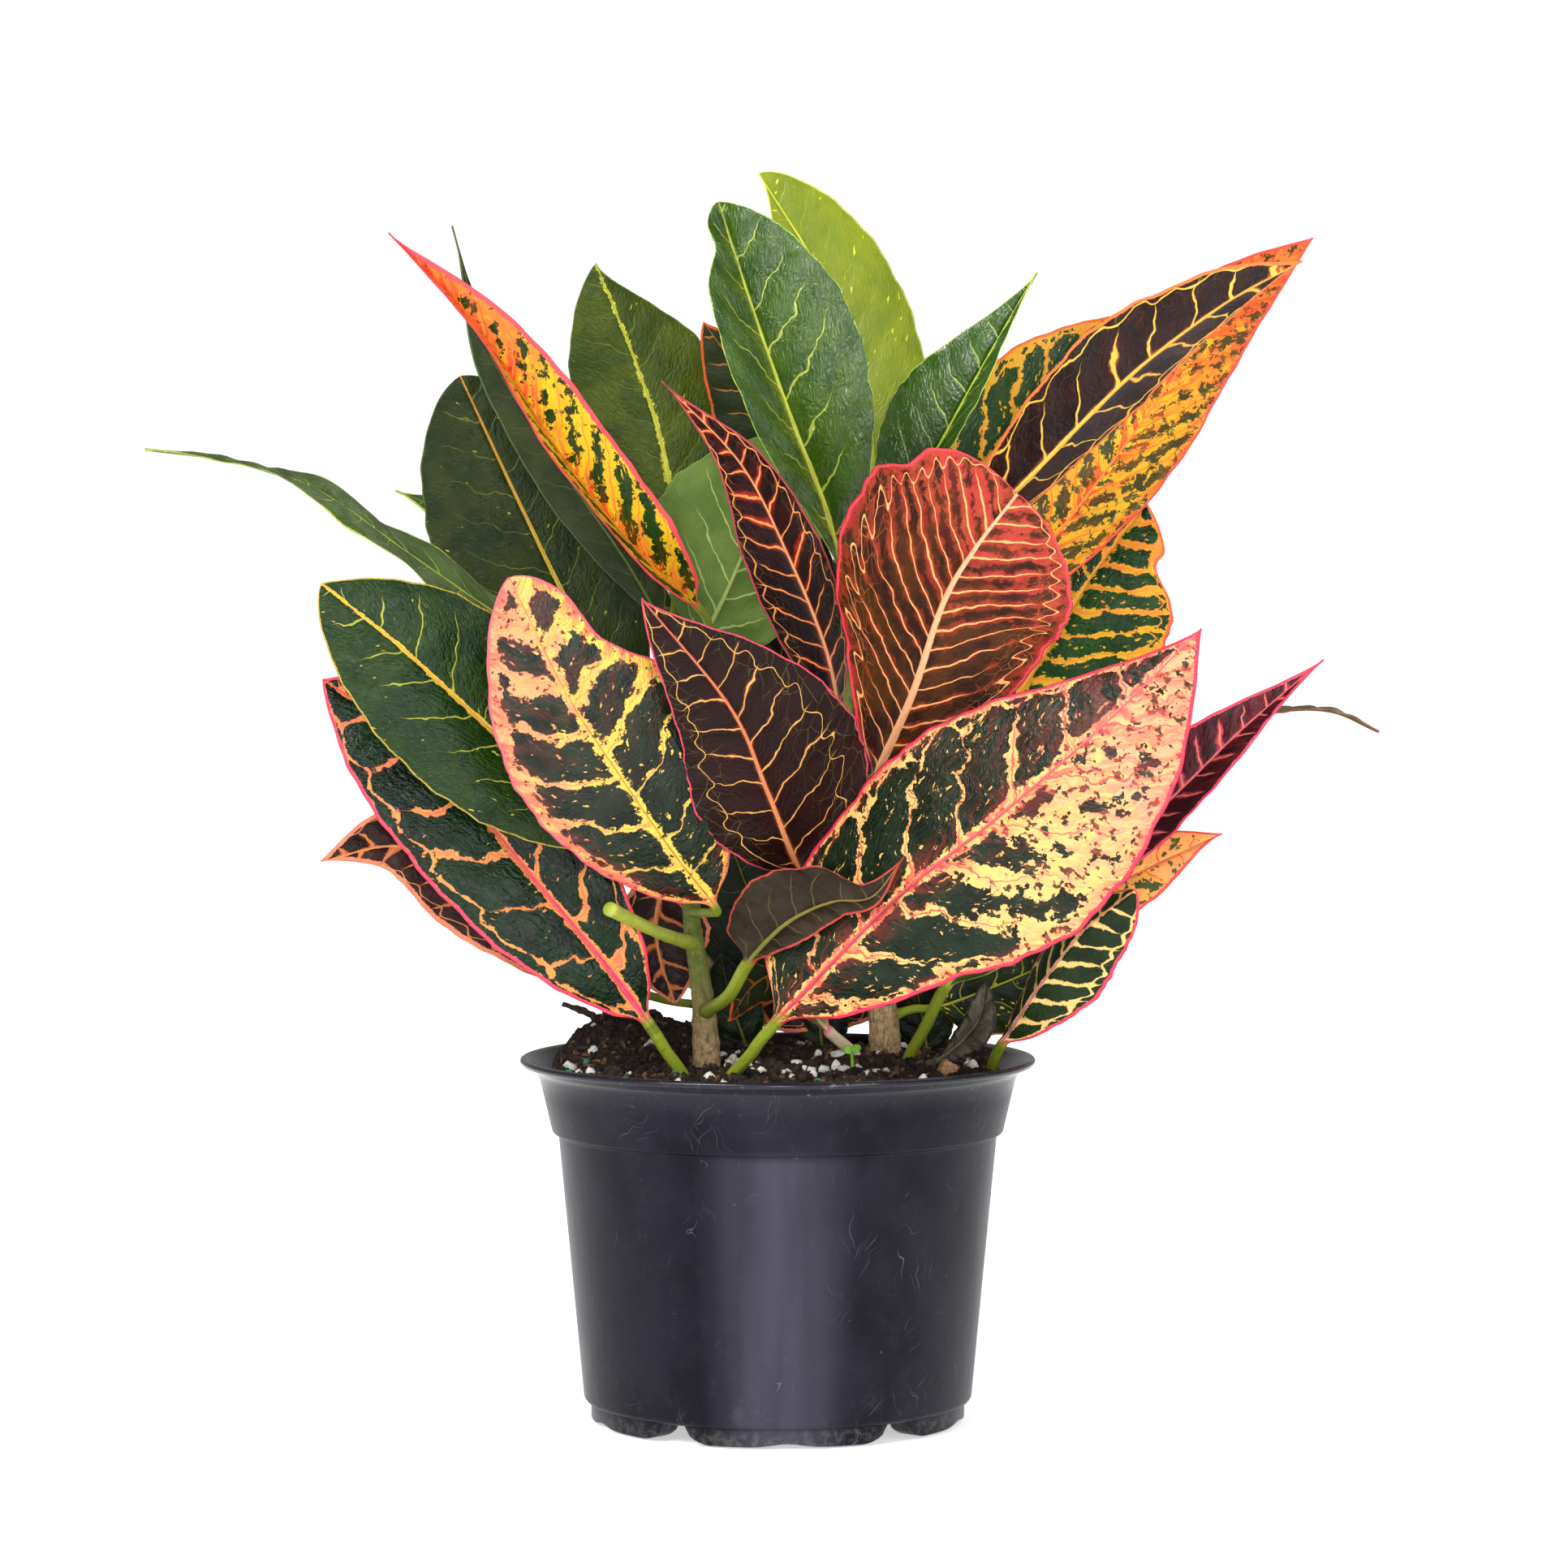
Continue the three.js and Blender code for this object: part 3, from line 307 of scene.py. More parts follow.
class BladeDrawing:
    """The veins, bands, islands, specks and margin of a croton blade, drawn into a shader group.

    Lengths are in millimetres. share runs from the rib to the edge and s from the base to the
    tip, both from 0 to 1. phase counts the side veins, and run is the same as a length.
    """

    SOFT = 0.14
    SOFT_RIB = 0.2
    RAISED_SOFT = 0.9

    def __init__(self, group: bpy.types.ShaderNodeTree) -> None:
        """Read the leaf's measures, and lay out the noises and the lines that the rest follows."""
        self.g = g = Graph(group)
        self.of = of = g.given()
        self.along, self.across, self.seed = g.parts(g.attribute("leaf_flow"))
        phase, self.share, self.s = g.parts(g.attribute("leaf_vein"))
        self.rim, self.half, self.spacing = g.parts(g.attribute("leaf_edge"))
        self.place = g.vector(self.along, self.across, self.seed)
        self.side = g.math("SIGN", self.across)
        self.wander = g.noise(self.place, 0.11, 2) - 0.5
        sway = g.noise(g.vector(self.along, self.across, self.seed + 91), 0.13, 2) - 0.5
        phase = phase + self.wander * 0.7
        self.run = phase * self.spacing
        self.laid = g.vector(self.run, self.across, self.seed)
        self.fine = (g.noise(self.place, 0.75, 3, 0.65) - 0.5) * 2
        self.grit = (g.noise(self.place, 1.9, 3, 0.7) - 0.5) * 2
        self.broad = (g.noise(self.place, 0.27, 2) - 0.5) * 2
        self.gently = 1 + self.fine * 0.45
        self.off_rib = abs(self.across)
        self.slim = g.spread(self.s, 0.0, 1.0, 1, 0.3, smooth=False)
        nearest = g.math("ROUND", phase)
        luck = g.out("ShaderNodeTexWhiteNoise", {"W": nearest * 3.1 + self.side * 57 + self.seed}, "Color",
                     noise_dimensions="1D")
        luck_reach, self.luck, _ = g.parts(luck)
        self.off_vein = abs(phase - nearest) * self.spacing * 0.85
        reach = of["vein_reach"] * (0.76 + luck_reach * 0.36)
        fade = g.spread(self.share + sway * 0.12 - reach, -0.3, 0.0, 1, 0)
        self.taper = fade * (1.1 + self.share * -0.5)
        loop = of["loop_at"] - g.math("COSINE", phase * (2 * math.pi)) * 0.06 + sway * 0.14
        self.off_loop = abs(self.share - loop) * self.half

    def flood(self) -> Signal:
        """How far the bands have grown together: more at the tip, the edge or on one side."""
        g, of = self.g, self.of
        level = of["flood"] + of["flood_tip"] * g.spread(self.s, 0.3, 1, smooth=False)
        level = level + of["flood_edge"] * g.spread(self.share, 0.45, 1)
        one_side = self.side * g.spread(self.share, 0, 0.35) * g.spread(self.s, 0.2, 0.65)
        return g.most(0, level + of["flood_side"] * one_side)

    def clear_of(self, distance: Signal, width: Signal, grow: object) -> Signal:
        """How far a place lies outside a band; far off where the band has no width and isn't grown."""
        reach = width + grow
        return distance - reach + self.g.math("LESS_THAN", reach, 0.05) * 9

    def bands(self) -> Signal:
        """The pale bands along all lines, with torn edges, and the specks between them."""
        g, of = self.g, self.of
        level = self.flood()
        clouds = g.noise(g.vector(self.along, self.across, self.seed + 33), 0.2, 3, 0.6)
        grow = level * self.spacing * g.spread(clouds, 0.3, 0.7, smooth=False)
        width = of["vein_band"] * 0.5 * self.taper * (0.5 + self.luck)
        outside = self.clear_of(self.off_vein, width, grow)
        for distance, width, grown in (
                (self.off_rib, of["rib_band"] * 0.5 * self.slim, grow * 0.5),
                (self.rim, of["margin_band"], grow * 0.5),
                (self.off_loop, of["loop_band"] * 0.5, 0)):
            outside = g.math("SMOOTH_MIN", outside, self.clear_of(distance, width, grown), third=1.6)
        torn = of["jag"] * (1 + level * 1.1)
        wobble = torn * (self.fine * 1.1 + self.grit * 0.8 + self.broad * 1.5)
        bands = g.math("DIVIDE", (outside + wobble) * -1, of["halo"], clamp=True)
        return g.most(bands, self.specks())

    def specks(self) -> Signal:
        """Small pale specks, of which the paint says how many and how large."""
        g, of = self.g, self.of
        off_dot, chance = g.cells(g.vector(self.run, self.across * 0.7, self.seed), 0.75)
        luck, size, _ = g.parts(chance)
        width = of["speck_size"] * (0.1 + size * 0.9) * (1 + self.grit * 1.6)
        return g.inside(g.math("LESS_THAN", luck, of["speck"]) * width, off_dot * 1.7)

    def freckles(self) -> Signal:
        """Dark blots inside the bands."""
        g, of = self.g, self.of
        blots = g.noise(g.vector(self.along * 1.15, self.across, self.seed + 7), 0.34, 5, 0.62)
        some = g.math("GREATER_THAN", of["freckles"], 0.01)
        return g.inside(blots - 0.655, of["freckles"] * -0.15, 0.012) * some

    def blush(self) -> Signal:
        """Red blotches near the edge, the tip or the rib."""
        g, of = self.g, self.of
        edge, rib = (g.math("DIVIDE", of[name] - off, of[name] + 0.1, clamp=True)
                     for name, off in (("blush_edge", self.rim), ("blush_rib", self.off_rib)))
        tip = of["blush_tip"] * g.spread(self.s, 0.3, 1)
        strewn = g.noise(g.vector(self.run, self.across * 0.45, self.seed), 0.3, 3, 0.6)
        return g.most(edge, tip, rib) * g.spread(strewn + self.grit * 0.12, 0.42, 0.58)

    def net(self) -> Signal:
        """The fine net between the side veins, towards the edge."""
        g, of = self.g, self.of
        off_net = g.edges(self.laid, 1 / of["net_cell"]) * of["net_cell"]
        lines = g.inside(of["net_width"] * 0.5 * self.gently, off_net, self.SOFT)
        return lines * g.spread(self.share - of["net_from"], -0.15, 0.2)

    def colour(self, bands: Signal) -> Signal:
        """The colour of the blade, from the ground up."""
        g, of, place = self.g, self.of, self.place
        ground = g.mix(g.spread(g.noise(place, 0.09, 3, 0.6), 0.35, 0.65), of["ground"], of["ground_2"])
        ground = g.mix(g.spread(g.noise(place, 1.6, 3, 0.6), 0.4, 0.8) * 0.4, ground, of["ground_2"])
        colour = g.mix(self.net() * 0.85, ground, of["net"])
        lean = of["warm_tip"] * g.spread(self.s, 0.35, 1) + of["warm_side"] * self.side * self.share
        warm = of["warm"] + (g.noise(place, 0.2, 3, 0.6) - 0.5) * 2.2 + lean
        colour = g.mix(bands, colour, g.mix(g.spread(warm, 0, 0.7), of["band"], of["band_2"]))
        colour = g.mix(self.freckles() * bands, colour, of["freckle"])
        colour = g.mix(self.blush() * (0.2 + bands * 0.7), colour, of["blush"])
        return self.lined(colour)

    def lined(self, colour: Signal) -> Signal:
        """The side veins, their loops, the rib, the margin and the stalk over the colour below."""
        g, of = self.g, self.of
        width = of["vein_width"] * 0.5 * self.taper * self.gently * (0.75 + self.luck * 0.5)
        veins = g.inside(width, self.off_vein, self.SOFT)
        loops = g.inside(of["loop_width"] * 0.5 * self.gently, self.off_loop, self.SOFT)
        width = of["rib_width"] * 0.5 * self.slim * (1 + self.fine * 0.2)
        rib = g.inside(width, self.off_rib, self.SOFT_RIB)
        margin = g.inside(of["margin_width"] * self.gently, self.rim, self.SOFT_RIB)
        stalk = g.spread(self.s + self.wander * 0.03, 0.0, 0.05, 1, 0) * g.inside(4, self.off_rib, 2)
        colour = g.mix(g.most(veins, loops) * 0.92, colour, of["vein"])
        colour = g.mix(rib, colour, g.mix(self.s, of["rib"], of["rib_tip"]))
        colour = g.mix(margin, colour, of["margin"])
        return g.mix(stalk, colour, of["stalk"])

    def height(self) -> Signal:
        """Relief: raised lines, a fine grain and the quilting between the veins."""
        g, of = self.g, self.of
        veins = g.inside(of["vein_width"] * 1.1 * self.taper, self.off_vein, self.RAISED_SOFT)
        rib = g.inside(of["rib_width"] * 0.7, self.off_rib, self.RAISED_SOFT)
        lines = g.most(veins * 0.7, rib)
        cloth = g.spread(g.edges(self.laid, 0.5), 0, 0.3) * 0.3 + g.noise(self.laid, 0.5, 3, 0.6) * 1.6
        return lines * of["raised"] + g.noise(self.place, 3.5, 3) * 0.25 + of["quilt"] * cloth

    def draw(self) -> None:
        """Draw everything and join it to the group's outputs."""
        bands = self.bands()
        dull = (self.g.noise(self.place, 0.35, 3) - 0.5) * 0.2 + bands * 0.05
        self.g.node("NodeGroupOutput", {
            "Color": self.colour(bands), "Height": self.height(), "Gloss": dull})


class BladeMaterials:
    """The leaf materials: one shared node group, and one material for each paint in use."""

    def __init__(self) -> None:
        """Draw the shared group."""
        self.made: dict[str, bpy.types.Material] = {}
        self.group = bpy.data.node_groups.new("croton_blade", "ShaderNodeTree")
        self.draw()

    @staticmethod
    def shared_fields() -> list[str]:
        """The fields of a paint that are inputs of the shared group."""
        return [item.name for item in fields(BladePaint) if not item.metadata.get("own")]

    def draw(self) -> None:
        """Name the group's inputs and outputs, and draw what lies between them."""
        face = self.group.interface
        for name in self.shared_fields():
            kind = "Color" if BladePaint.__annotations__[name] is str else "Float"
            face.new_socket(name=name, in_out="INPUT", socket_type="NodeSocket" + kind)
        for name, kind in (("Color", "Color"), ("Height", "Float"), ("Gloss", "Float")):
            face.new_socket(name=name, in_out="OUTPUT", socket_type="NodeSocket" + kind)
        BladeDrawing(self.group).draw()

    def material(self, name: str, paint: BladePaint) -> bpy.types.Material:
        """The material of a paint, made when it is first asked for.

        Args:
            name: Name of the paint.
            paint: Its colours and widths.

        Returns:
            The material.
        """
        if name not in self.made:
            material, g = fresh_material(f"leaf_{name}")
            group = g.node("ShaderNodeGroup", node_tree=self.group)
            for key in self.shared_fields():
                value = getattr(paint, key)
                g.put(group.inputs[key], tone(value) if isinstance(value, str) else value)
            colour, height, dull = (Signal(g, item) for item in group.outputs)
            relief = g.bump(height, 0.00022)
            g.surface(
                Base_Color=colour,
                Roughness=g.math("ADD", dull, paint.roughness, clamp=True),
                Specular_IOR_Level=paint.gloss,
                Coat_Weight=paint.coat,
                Coat_Roughness=0.1,
                Normal=relief,
                Coat_Normal=relief,
            )
            self.made[name] = material
        return self.made[name]


# Paints: how each kind of leaf looks on its upper or lower side.

PAINTS = {
    "glossy_green": BladePaint(
        "#2e4a04", "#405c06", vein="#a9b648", rib="#e8e468", rib_tip="#c8d850", margin="#a4c440",
        rib_width=2.4, vein_width=0.8, vein_reach=0.84, quilt=2.0, roughness=0.24, coat=1.0, gloss=0.12),
    "light_green": BladePaint(
        "#88942a", "#76862a", band="#d9d944", band_2="#d9d944", vein="#98a43c", rib="#b9c84f",
        rib_tip="#dce04e", margin="#d9de4c", rib_width=1.8, vein_width=0.4, speck=0.09, speck_size=0.7,
        roughness=0.36),
    "folded_green": BladePaint(
        "#2a4c12", "#3c5a18", vein="#a0b845", rib="#c9d94a", rib_tip="#c9d94a", margin="#b9d044",
        vein_width=0.55, roughness=0.24, coat=0.9),
    "dull_green": BladePaint(
        "#36430f", "#495618", band="#b9b53c", band_2="#c9c440", vein="#5f6c24", rib="#d9d34a",
        rib_tip="#a9ad3c", margin="#66742c", rib_width=2.0, rib_band=2.4, vein_width=0.45, speck=0.06,
        speck_size=0.5, jag=1.2, quilt=1.8, roughness=0.42),
    "grey_green": BladePaint(
        "#202c14", "#30391a", band="#a9a93c", band_2="#b9b444", vein="#676a32", rib="#bdb944",
        rib_tip="#d8903a", margin="#5a6a30", rib_width=2.2, vein_width=0.4, speck=0.12, speck_size=0.5,
        quilt=1.6, roughness=0.36),
    "flame": BladePaint(
        "#1a3016", "#264018", band="#dcb022", band_2="#f07a35", vein="#f0803c", rib="#dfa834",
        rib_tip="#f0703a", margin="#ee5058", blush="#d83428", freckle="#36451e", rib_width=0.8,
        rib_band=1.6, vein_width=0.9, vein_band=2.0, vein_reach=1.1, flood=0.2, flood_tip=0.85, warm=-0.35,
        warm_tip=1.7, speck=0.5, speck_size=0.7, freckles=0.36, margin_width=1.8, margin_band=0.8,
        blush_edge=1.5, blush_tip=0.3, blush_rib=7, jag=1.9, roughness=0.36),
    "pale_under": BladePaint(
        "#6d8440", "#5a7434", vein="#a9bd70", rib="#b4c274", rib_tip="#a0b466", margin="#7c9048",
        rib_width=1.7, vein_width=0.8, raised=0.6, roughness=0.42),
    "burgundy_under": BladePaint(
        "#200c06", "#200d0d", band="#98241a", band_2="#a02c1c", net="#9a6a34", vein="#f09c58",
        rib="#f3ad80", rib_tip="#ec985f", margin="#b84a52", rib_width=1.8, rib_band=4.0, vein_width=0.95,
        vein_band=3.0, vein_reach=0.98, loop_width=0.6, net_width=0.2, net_cell=4.5, net_from=0.5,
        margin_width=0.9, blush_tip=0.3, jag=0.4, halo=1.3, raised=0.6, roughness=0.4),
    "shadow_green": BladePaint(
        "#232b1a", "#2d3520", vein="#a06a30", rib="#bd7a34", rib_tip="#a9602c", margin="#c9572f",
        rib_width=1.4, margin_width=1.1, roughness=0.42),
    # Near-black green: painted shade for leaves inside the bush and behind the stems.
    "painted_shade_green": BladePaint(
        "#141d10", "#1e2816", vein="#3c4722", rib="#6f642a", rib_tip="#565a28", margin="#465024",
        rib_width=1.2, vein_width=0.4, roughness=0.45),
    "orange_net": BladePaint(
        "#1c3316", "#2a4218", band="#d29f2a", band_2="#e88a2c", vein="#e3952f", rib="#e8953a",
        rib_tip="#e0a03c", margin="#dd6a2f", rib_width=1.7, rib_band=2.2, vein_width=0.7, vein_band=1.3,
        loop_width=0.5, loop_band=1.1, flood=0.1, flood_edge=0.15, speck=0.5, speck_size=0.8,
        margin_width=1.0, margin_band=0.8, jag=1.1, roughness=0.36),
    "brown_under": BladePaint(
        "#20110d", "#301b11", band="#a8602a", band_2="#b9602c", net="#a5822f", vein="#e3b548",
        rib="#ecc250", rib_tip="#e8a63f", margin="#e2733c", rib_width=2.4, rib_band=3.4, vein_width=1.2,
        vein_band=2.0, vein_reach=1.0, loop_at=0.86, loop_width=0.7, net_width=0.1, net_cell=4,
        net_from=0.5, margin_width=1.1, jag=0.4, halo=0.9, raised=0.7, roughness=0.42),
    "yellow_flame": BladePaint(
        "#2c3312", "#4c4418", band="#dda524", band_2="#e8702f", vein="#e2602f", rib="#ef8a3a",
        rib_tip="#f07444", margin="#ee5048", blush="#c82c20", freckle="#3c5222", rib_width=1.3,
        rib_band=2.2, vein_band=1.6, vein_reach=1.05, flood=0.35, flood_tip=0.3, warm=-0.25, warm_tip=1.2,
        speck=0.5, speck_size=0.7, freckles=0.6, margin_width=1.1, margin_band=1.0, blush_edge=6,
        blush_tip=0.6, blush_rib=12, jag=1.9, roughness=0.36),
    "dark_net": BladePaint(
        "#143014", "#204018", band="#d6a426", band_2="#ee8a30", vein="#e0862f", rib="#eda03c",
        rib_tip="#e8a03c", margin="#f0603e", rib_width=1.8, rib_band=2.4, vein_width=0.8, vein_band=1.4,
        vein_reach=1.0, loop_at=0.82, loop_width=0.6, loop_band=1.4, flood=0.1, flood_edge=0.22, speck=0.5,
        speck_size=0.7, margin_width=1.3, margin_band=1.4, jag=0.9, roughness=0.32),
    "rose_under": BladePaint(
        "#2c1a10", "#4a2c12", band="#7c2e1c", band_2="#a84430", net="#c4703c", vein="#f3ac6c",
        rib="#e8a474", rib_tip="#f5b48c", margin="#d9434e", blush="#b83038", rib_width=3.0, vein_width=0.7,
        vein_band=2.4, vein_reach=0.88, loop_at=0.82, loop_width=0.7, loop_band=1.6, net_width=0.22,
        net_cell=3.5, net_from=0.62, flood_tip=0.5, flood_edge=0.3, margin_width=1.3, margin_band=2.2,
        blush_edge=4.0, blush_tip=0.6, jag=1.2, halo=1.1, raised=0.7, roughness=0.36),
    "peach": BladePaint(
        "#141f14", "#202c1e", band="#f3b96c", band_2="#f9a074", vein="#e0524e", rib="#d84858",
        rib_tip="#e8746a", margin="#e23f56", blush="#dc3f48", freckle="#2f3a26", rib_width=1.9,
        rib_band=4.6, vein_width=0.7, vein_band=2.8, vein_reach=0.95, loop_at=0.88, loop_band=1.6,
        flood_tip=0.5, flood_side=0.48, warm=-0.05, warm_tip=0.8, warm_side=0.2, speck=0.32, speck_size=0.7,
        freckles=0.6, margin_width=1.4, margin_band=2.4, blush_edge=6, blush_tip=0.7, blush_rib=10,
        jag=1.05, quilt=1.6, roughness=0.28, coat=0.12),
    "purple_under": BladePaint(
        "#22140a", "#2a1812", band="#7c3c26", band_2="#8c4a28", net="#80702f", vein="#e2ac5c",
        rib="#d9905c", rib_tip="#d9705c", margin="#c9485c", rib_width=1.9, rib_band=3.4, vein_band=1.2,
        loop_at=0.7, loop_width=0.45, net_width=0.18, net_cell=6.0, margin_width=0.7, jag=0.4, halo=0.9,
        raised=0.6, roughness=0.42),
    "cream": BladePaint(
        "#151f14", "#242f22", band="#efc552", band_2="#f39a68", vein="#e99a50", rib="#c9983e",
        rib_tip="#d9743c", margin="#e0606a", blush="#dc4650", freckle="#334226", rib_width=0.6,
        rib_band=4.2, vein_width=0.7, vein_band=2.0, vein_reach=0.98, loop_at=0.86, loop_band=1.4,
        flood=-0.07, flood_tip=0.34, flood_edge=0.1, warm=-0.15, warm_tip=0.8, warm_side=-0.7, speck=0.3,
        speck_size=0.7, freckles=0.45, margin_width=1.0, margin_band=3.0, blush_edge=9, blush_tip=0.35,
        jag=1.1, quilt=1.6, roughness=0.26, coat=0.2),
    "dark_green": BladePaint(
        "#1a2f0e", "#273b14", band="#c9b93c", band_2="#d9b040", vein="#a9a83a", rib="#f09a3c",
        rib_tip="#e8b84c", margin="#b9a23c", rib_width=2.0, rib_band=2.8, vein_reach=0.82, speck=0.1,
        speck_size=0.5, margin_width=0.6, jag=0.5, quilt=1.6, roughness=0.26, coat=0.12),
    "far_green": BladePaint(
        "#36481c", "#4c6030", vein="#89a03c", rib="#a9b048", rib_tip="#98a445", margin="#a3ad48",
        rib_width=1.4, vein_width=0.5, margin_width=0.7),
    "pink_rib": BladePaint(
        "#0c1d10", "#152a16", band="#d98e4a", band_2="#ec7c56", vein="#e2704c", rib="#d8486a",
        rib_tip="#e8764c", margin="#e2455c", rib_width=2.3, rib_band=3.8, vein_width=0.7, vein_band=2.1,
        loop_at=0.82, loop_band=1.0, speck=0.12, margin_width=1.3, margin_band=1.0, jag=0.75, quilt=1.6,
        roughness=0.26, coat=0.12),
    # Dark red-brown with red veins: the leaf's own red tone, on a ground darkened further as painted shade
    # for low leaves in the bush.
    "dusk": BladePaint(
        "#251817", "#35221e", band="#a8582f", band_2="#c06a40", vein="#cf7a48", rib="#d98a5c",
        rib_tip="#e0945c", margin="#dc7f62", rib_width=1.7, rib_band=2.4, vein_width=0.8, vein_band=1.4,
        loop_width=0.5, margin_width=1.5, margin_band=1.0, jag=0.5, roughness=0.4),
    "wine": BladePaint(
        "#2c0f18", "#441a24", band="#a83850", band_2="#b83c4a", vein="#dc7a68", rib="#e08a7c",
        rib_tip="#d9606c", margin="#dc4660", rib_band=2.6, vein_width=0.75, vein_band=2.2, margin_width=1.2,
        blush_edge=2.5, blush_tip=0.5, jag=0.5, halo=0.8, raised=0.5, roughness=0.36),
    "apricot": BladePaint(
        "#3c4a22", "#4c5628", band="#f0a44c", band_2="#f79a5c", vein="#e0602f", rib="#e8605a",
        rib_tip="#e8704c", margin="#e8504a", freckle="#4c5828", rib_width=1.5, rib_band=2.2, vein_width=0.7,
        vein_band=1.2, flood=0.35, flood_tip=0.3, speck=0.4, freckles=0.35, margin_width=1.1,
        roughness=0.36),
    "cream_ladder": BladePaint(
        "#1c2a18", "#26361e", band="#f0c872", band_2="#f2b868", vein="#f3cd80", rib="#e0889a",
        rib_tip="#e89078", margin="#e2465c", rib_width=1.7, rib_band=2.4, vein_width=1.0, vein_band=1.6,
        vein_reach=0.95, loop_at=0.82, loop_width=0.7, loop_band=1.0, margin_width=1.2, jag=0.6),
    "night_spotted": BladePaint(
        "#161d10", "#222c16", band="#c9b93c", band_2="#d9c344", vein="#8c8c34", rib="#a89c3c",
        rib_tip="#8c8c34", margin="#b98a34", rib_width=1.1, vein_width=0.5, speck=0.3, speck_size=0.7,
        margin_width=0.6, roughness=0.4),
    "twist_grey": BladePaint(
        "#26301a", "#343d20", vein="#45502f", rib="#5c6838", rib_tip="#5c6838", margin="#55603a",
        rib_width=1.2, vein_width=0.4, roughness=0.42),
    "russet": BladePaint(
        "#4c4024", "#66502c", vein="#9c8840", rib="#b0a04c", rib_tip="#a08a40", margin="#985038",
        rib_width=1.2, vein_width=0.4, margin_width=0.6, roughness=0.4),
    "green_under": BladePaint(
        "#5f7338", "#506834", vein="#93a855", rib="#bcc663", rib_tip="#adba5c", margin="#9dab48",
        rib_width=1.9, vein_width=0.7, raised=0.7, roughness=0.45),
    "red_under": BladePaint(
        "#40221b", "#52301f", band="#a05a34", band_2="#b06434", vein="#d9985a", rib="#dca468",
        rib_tip="#d98a5c", margin="#cf5a50", rib_width=2.2, rib_band=2.6, vein_width=0.8, vein_band=1.4,
        loop_width=0.5, margin_width=0.9, jag=0.5, halo=0.8, raised=0.7, roughness=0.45),
    "small_under": BladePaint(
        "#2c251d", "#3a3026", vein="#5c5a34", rib="#7d8040", rib_tip="#8a6a44", margin="#b0453c",
        rib_width=1.7, vein_width=0.5, margin_width=0.8, raised=0.6, roughness=0.45),
    "pale_pink": BladePaint(
        "#98a060", "#7f8c4e", vein="#bcbc80", rib="#d9cc94", rib_tip="#d9c094", margin="#e0708a",
        stalk="#d9c9a4", margin_width=1.2, roughness=0.4),
    "dry": BladePaint(
        "#4c463d", "#60584c", band="#322d27", band_2="#403a31", vein="#3c3730", rib="#7c7264",
        rib_tip="#60584c", margin="#36312b", stalk="#5c5346", rib_width=1.4, vein_width=0.5, speck=0.2,
        margin_band=1.2, roughness=0.7, gloss=0.2),
}


# Leaf shapes.


class Curve:
    """A smooth line through points, a uniform Catmull-Rom spline of tension 0.5."""

    def __init__(self, points: Sequence[Point]) -> None:
        """Keep the points, with one more drawn out beyond each end."""
        inner = np.array(points, float)
        first = 2 * inner[0] - inner[1]
        last = 2 * inner[-1] - inner[-2]
        self.points = np.vstack([first, inner, last])
        self.spans = len(inner) - 1

    def point(self, t: np.ndarray | float) -> np.ndarray:
        """Points of the line.

        Args:
            t: Shares of the line's parameter, 0 at its start and 1 at its end.

        Returns:
            One row of coordinates for each share.
        """
        place = np.clip(np.atleast_1d(np.asarray(t, float)), 0, 1) * self.spans
        k = np.minimum(place.astype(int), self.spans - 1)
        u = (place - k)[:, None]
        before, start, end, after = (self.points[k + i] for i in range(4))
        leave = 0.5 * (end - before)
        arrive = 0.5 * (after - start)
        square = -3 * start + 3 * end - 2 * leave - arrive
        cube = 2 * start - 2 * end + leave + arrive
        return start + leave * u + square * u**2 + cube * u**3

    def tangent(self, t: np.ndarray | float) -> np.ndarray:
        """Unit directions of the line at the shares t."""
        t = np.atleast_1d(np.asarray(t, float))
        step = self.point(np.minimum(t + 1e-4, 1)) - self.point(np.maximum(t - 1e-4, 0))
        return unit(step)


def unit(vectors: np.ndarray) -> np.ndarray:
    """Vectors of length one."""
    return vectors / np.maximum(np.linalg.norm(vectors, axis=-1, keepdims=True), 1e-12)


def lerp(a: float | np.ndarray, b: float | np.ndarray, t: float | np.ndarray) -> np.ndarray:
    """Go from a to b by the share t."""
    return a + (b - a) * t


def ease(value: np.ndarray | float, low: float, high: float) -> np.ndarray:
    """Rise smoothly from 0 at low to 1 at high."""
    t = np.clip((value - low) / (high - low), 0, 1)
    return t * t * (3 - 2 * t)


def run_along(points: np.ndarray) -> np.ndarray:
    """How far each point lies along the line through all of them."""
    return np.concatenate([[0], np.cumsum(np.linalg.norm(np.diff(points, axis=0), axis=1))])


def turns(count: int) -> np.ndarray:
    """Even angles round a circle, in radians."""
    return 2 * np.pi * np.arange(count) / count


def spin(vectors: np.ndarray, axes: np.ndarray, angles: np.ndarray) -> np.ndarray:
    """Turn each vector about its unit axis by its angle, in radians."""
    c = np.cos(angles)[:, None]
    s = np.sin(angles)[:, None]
    dot = np.sum(axes * vectors, axis=1, keepdims=True)
    return vectors * c + np.cross(axes, vectors) * s + axes * dot * (1 - c)


def carry(vector: np.ndarray, start: np.ndarray, ends: np.ndarray) -> np.ndarray:
    """Turn a vector as the shortest turn takes the direction start to each of the ends.

    Args:
        vector: The vector to turn.
        start: Unit direction it belongs to.
        ends: Unit directions to take it to, one a row.

    Returns:
        One turned vector a row.
    """
    starts = np.repeat(start[None], len(ends), 0)
    axes = np.cross(starts, ends)
    sine = np.linalg.norm(axes, axis=1)
    angles = np.arctan2(sine, np.sum(starts * ends, axis=1))
    axes = axes / np.maximum(sine, 1e-9)[:, None]
    return spin(np.repeat(vector[None], len(ends), 0), axes, angles)


